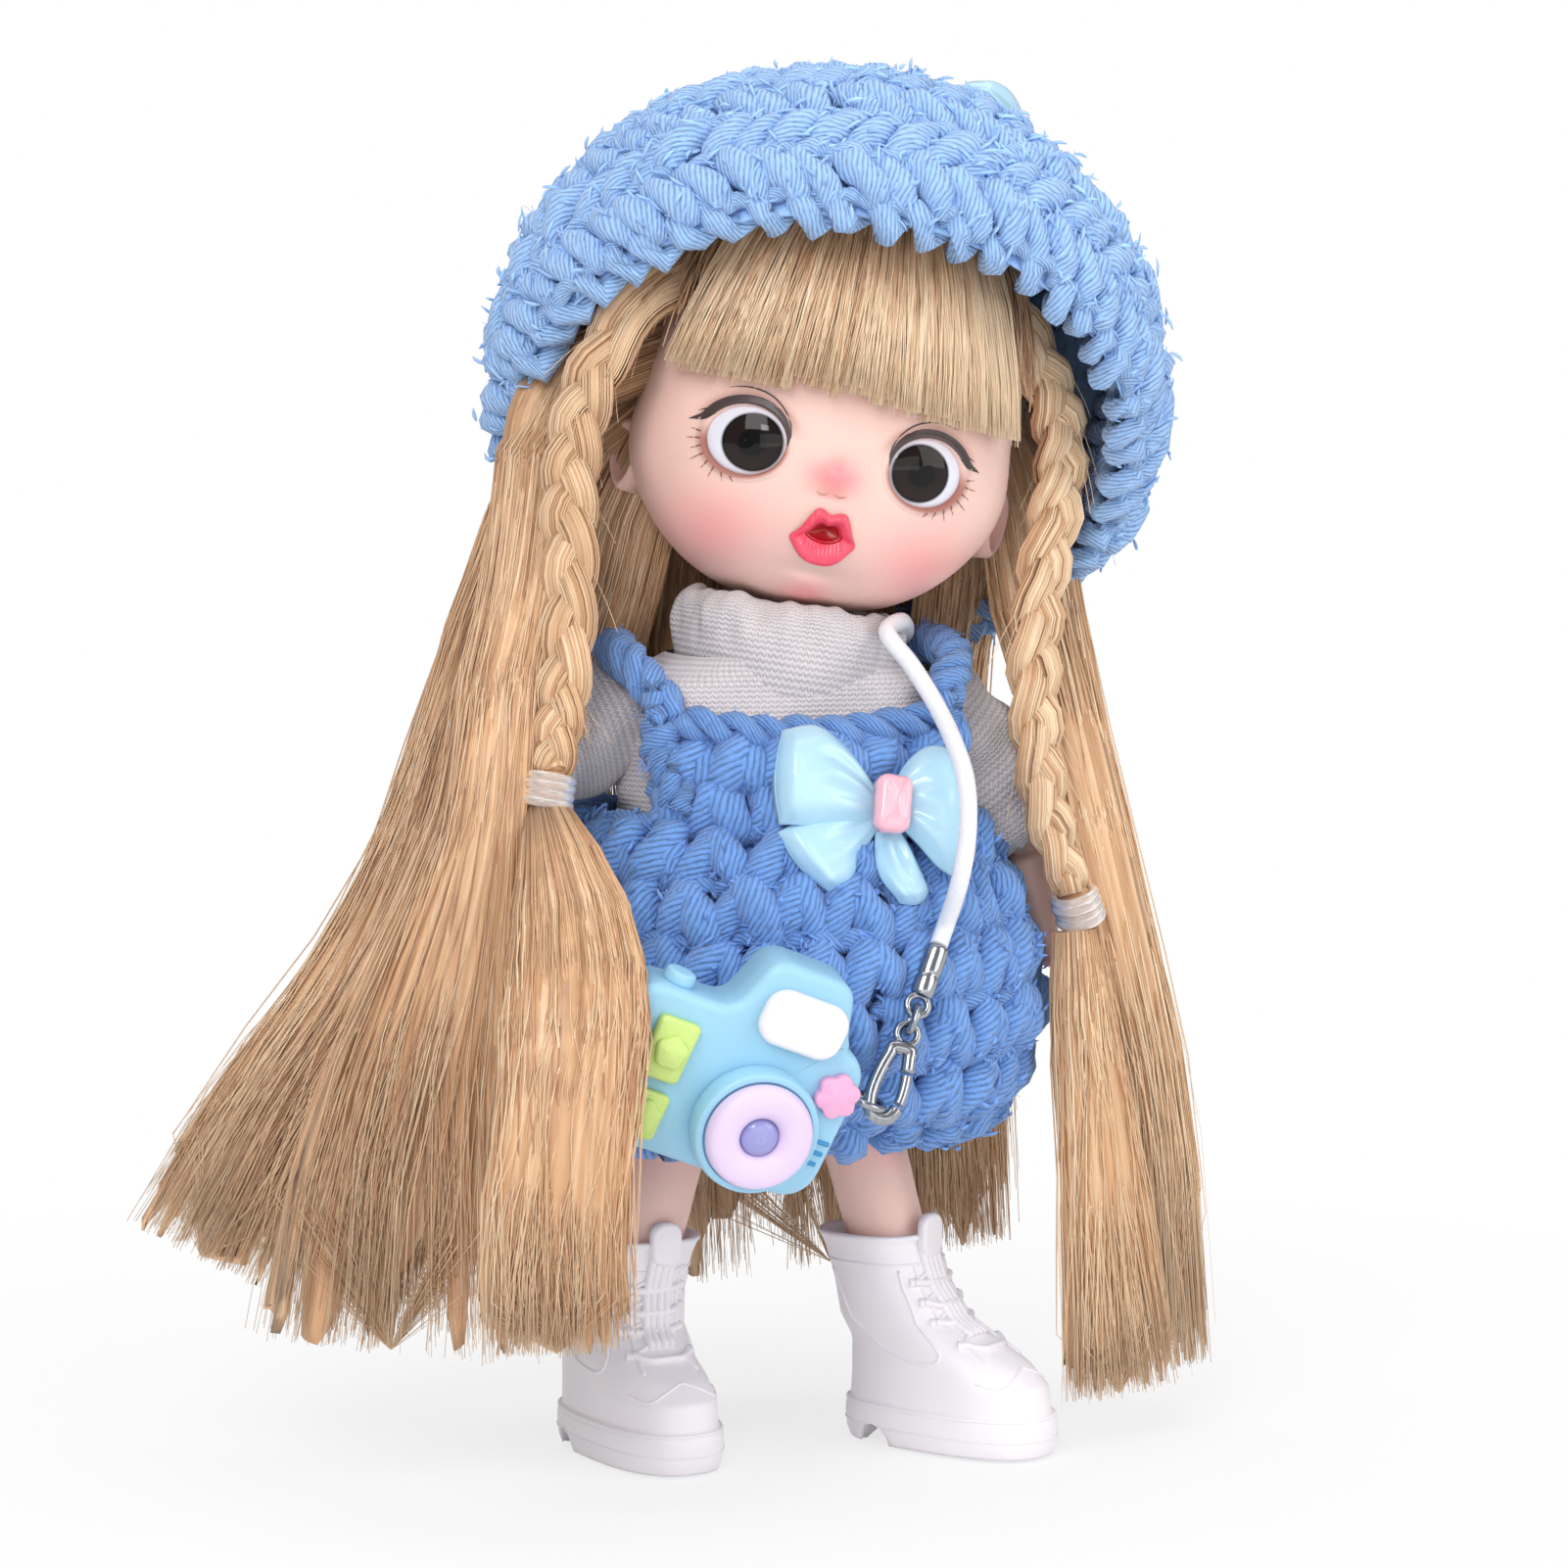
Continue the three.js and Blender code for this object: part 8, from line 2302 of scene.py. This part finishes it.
class DOLL_OT_cord(bpy.types.Operator):
    """Makes the camera's cord, its two steel ends and the lobster clasp."""

    bl_idname = "doll.make_cord"
    bl_label = "Cord and clasp"

    def execute(self, context):
        steel = steel_finish()
        clasp = hook_axes(1, CLASP_LEAN)
        plain = hook_axes(-1, PLAIN_END_LEAN)
        high = CLASP_CRIMP + CRIMP_LENGTH
        low = PLAIN_CRIMP + CRIMP_LENGTH
        route = np.vstack([
            clasp.out([[0, 0, high + 0.35], [0, 0, high + 3]]), DOLL.out(CORD_ROUTE),
            plain.out([[0, 0, low + 3], [0, 0, low + 0.35]]),
        ])
        path = spline(route, np.linspace(0, 1, 240))
        shape = tubes(path[None], CORD_DIAMETER / 2, 20, (0.25, 0.15, 0.05))
        cord = add_piece("camera_cord", shape, cord_finish(), "torso", ["camera_strap"])
        upper = add_piece(
            "clasp_crimp", crimp_shape(clasp, CLASP_CRIMP), steel, "torso", ["clasp_cord_end"]
        )
        lower = add_piece(
            "plain_crimp", crimp_shape(plain, PLAIN_CRIMP), steel, "torso", ["plain_cord_end"]
        )
        jump = ring_shape(1.7, RING_WIRE, clasp.moved([0, 0, 11.2]), (1, 0, 0))
        add_piece("clasp_link", jump, steel, "torso", ["clasp_jump_ring"])
        body, lever = claw_line(np.linspace(0, 1, 70))
        claw = tubes(clasp.out(np.insert(body, 1, 0, 1))[None], 0.85, 16, clasp.turn[1])
        eye = ring_shape(EYE_OF_END, RING_WIRE, clasp.moved([0, 0, 9.3]), (0, 1, 0))
        add_piece("clasp_claw", joined(claw, eye), steel, "torso", ["clasp_body"])
        gate = tubes(clasp.out(np.insert(lever, 1, 0, 1))[None], 0.68, 14, clasp.turn[1])
        add_piece("clasp_gate", gate, steel, "lever", ["clasp_lever"])
        return {"FINISHED"}


# Stage

# Each lamp's name, place and size in metres, and power in watts.
LAMPS = (
    ("key", (-0.42, -0.62, 0.66), (0.5, 0.6), 4.0),
    ("fill", (0.6, -0.5, 0.36), (0.5, 0.6), 2.1),
    ("top", (0.05, 0.12, 0.85), (0.8, 0.8), 2.9),
    ("low", (0.0, -0.8, 0.1), (0.9, 0.4), 1.2),
    ("catch", (-0.28, -0.7, 0.42), (0.16, 0.13), 0.6),
)
LAMP_TARGET = (0.01, 0, 0.08)
SENSOR_WIDTH = 36
FLOOR_HALF = 3
FLOOR_DROP = 0.0004
SURROUND_LIGHT = 0.38


def aim(thing, target):
    """Turns an object so that it looks at a point."""
    thing.rotation_euler = (Vector(target) - thing.location).to_track_quat("-Z", "Y").to_euler()


class DOLL_OT_stage(bpy.types.Operator):
    """Makes the camera, the lamps, the pale floor and the white surround."""

    bl_idname = "doll.make_stage"
    bl_label = "Stage"

    def execute(self, context):
        scene = context.scene
        scene.view_settings.view_transform = "Standard"
        target = DOLL.out([0, 0, TARGET_HEIGHT])
        azimuth, rise = math.radians(CAMERA_AZIMUTH), math.radians(CAMERA_ELEVATION)
        away = np.array(
            [math.sin(azimuth) * math.cos(rise), -math.cos(azimuth) * math.cos(rise), math.sin(rise)]
        )
        lens = bpy.data.cameras.new("photograph")
        lens.sensor_width = SENSOR_WIDTH
        lens.lens = SENSOR_WIDTH * PIXELS_PER_MM * CAMERA_DISTANCE / IMAGE_SIZE
        lens.shift_x = (IMAGE_SIZE / 2 - AXIS_PIXEL[0]) / IMAGE_SIZE
        lens.shift_y = (AXIS_PIXEL[1] - IMAGE_SIZE / 2) / IMAGE_SIZE
        lens.clip_start = 0.01
        camera = put("photograph", lens, (target + CAMERA_DISTANCE * away) * MM)
        aim(camera, target * MM)
        scene.camera = camera
        for name, place, (wide, tall), power in LAMPS:
            light = bpy.data.lights.new(name, "AREA")
            light.shape = "RECTANGLE"
            light.size = wide
            light.size_y = tall
            light.energy = power
            lamp = put(name, light, place)
            aim(lamp, LAMP_TARGET)

        mesh = bpy.data.meshes.new("floor")
        corners = [(x * FLOOR_HALF, y * FLOOR_HALF, 0) for x, y in ((-1, -1), (1, -1), (1, 1), (-1, 1))]
        mesh.from_pydata(corners, [], [(0, 1, 2, 3)])
        mesh.materials.append(floor_finish())
        put("floor", mesh, (0, 0, -FLOOR_DROP))
        scene.world = white_surround()
        return {"FINISHED"}


def white_surround():
    """The surround: full white to the camera and through glass, and a weaker light for everything else."""
    world = bpy.data.worlds.new("white_surround")
    world.use_nodes = True
    made = Nodes(world.node_tree)
    path = made.node("LightPath")
    seen = made.math("MAXIMUM", path.outputs["Is Camera Ray"], path.outputs["Is Transmission Ray"])
    strength = made.node("MapRange", {"Value": seen, "To Min": SURROUND_LIGHT, "To Max": 1})
    back = made.tree.nodes["Background"]
    back.inputs["Color"].default_value = (1, 1, 1, 1)
    made.tree.links.new(strength.outputs[0], back.inputs["Strength"])
    return world


def floor_finish():
    """The floor: mostly plain white to the camera and in glass, and partly lit, for the shadow."""
    made = Finish("pale_floor", (0.92, 0.92, 0.93), 0.9)
    path = made.node("LightPath")
    seen = made.math("MAXIMUM", path.outputs["Is Camera Ray"], path.outputs["Is Glossy Ray"])
    seen = made.math("MAXIMUM", seen, path.outputs["Is Transmission Ray"])
    eye_with_reflection = made.node("Emission", {"Color": (1, 1, 1, 1), "Strength": 1.0})
    place = made.node("VectorMath", {0: made.node("TexCoord").outputs["Object"]}, operation="LENGTH")
    far = made.node(
        "MapRange", {"Value": place.outputs["Value"], "From Min": 0.05, "From Max": 0.2, "To Min": 0.72}
    )
    share = made.math("MULTIPLY", seen, far.outputs[0])
    mixed = made.node("MixShader", {0: share, 1: made.surface.outputs[0], 2: eye_with_reflection.outputs[0]})
    made.tree.links.new(mixed.outputs[0], made.tree.nodes["Material Output"].inputs["Surface"])
    return made.material


OPERATORS = (
    DOLL_OT_stage, DOLL_OT_cord, DOLL_OT_head, DOLL_OT_eyes, DOLL_OT_hair, DOLL_OT_hat, DOLL_OT_dress,
    DOLL_OT_jumper, DOLL_OT_limbs, DOLL_OT_boots, DOLL_OT_bow, DOLL_OT_camera,
)


class DOLL_PT_panel(bpy.types.Panel):
    """The doll's steps, in the order in which they run."""

    bl_label = "Doll"
    bl_idname = "DOLL_PT_panel"
    bl_space_type = "VIEW_3D"
    bl_region_type = "UI"
    bl_category = "Doll"

    def draw(self, context):
        for operator in OPERATORS:
            self.layout.operator(operator.bl_idname)


def register():
    """Adds the classes and the scene's two groups of values."""
    for one in (DollSizes, DollColours, *OPERATORS, DOLL_PT_panel):
        bpy.utils.register_class(one)
    bpy.types.Scene.doll_sizes = bpy.props.PointerProperty(type=DollSizes)
    bpy.types.Scene.doll_colours = bpy.props.PointerProperty(type=DollColours)


def unregister():
    """Takes them away again."""
    del bpy.types.Scene.doll_colours
    del bpy.types.Scene.doll_sizes
    for one in reversed((DollSizes, DollColours, *OPERATORS, DOLL_PT_panel)):
        bpy.utils.unregister_class(one)


def main():
    """Registers the add-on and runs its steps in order."""
    register()
    for operator in OPERATORS:
        family, step = operator.bl_idname.split(".")
        getattr(getattr(bpy.ops, family), step)()


if __name__ == "__main__":
    main()
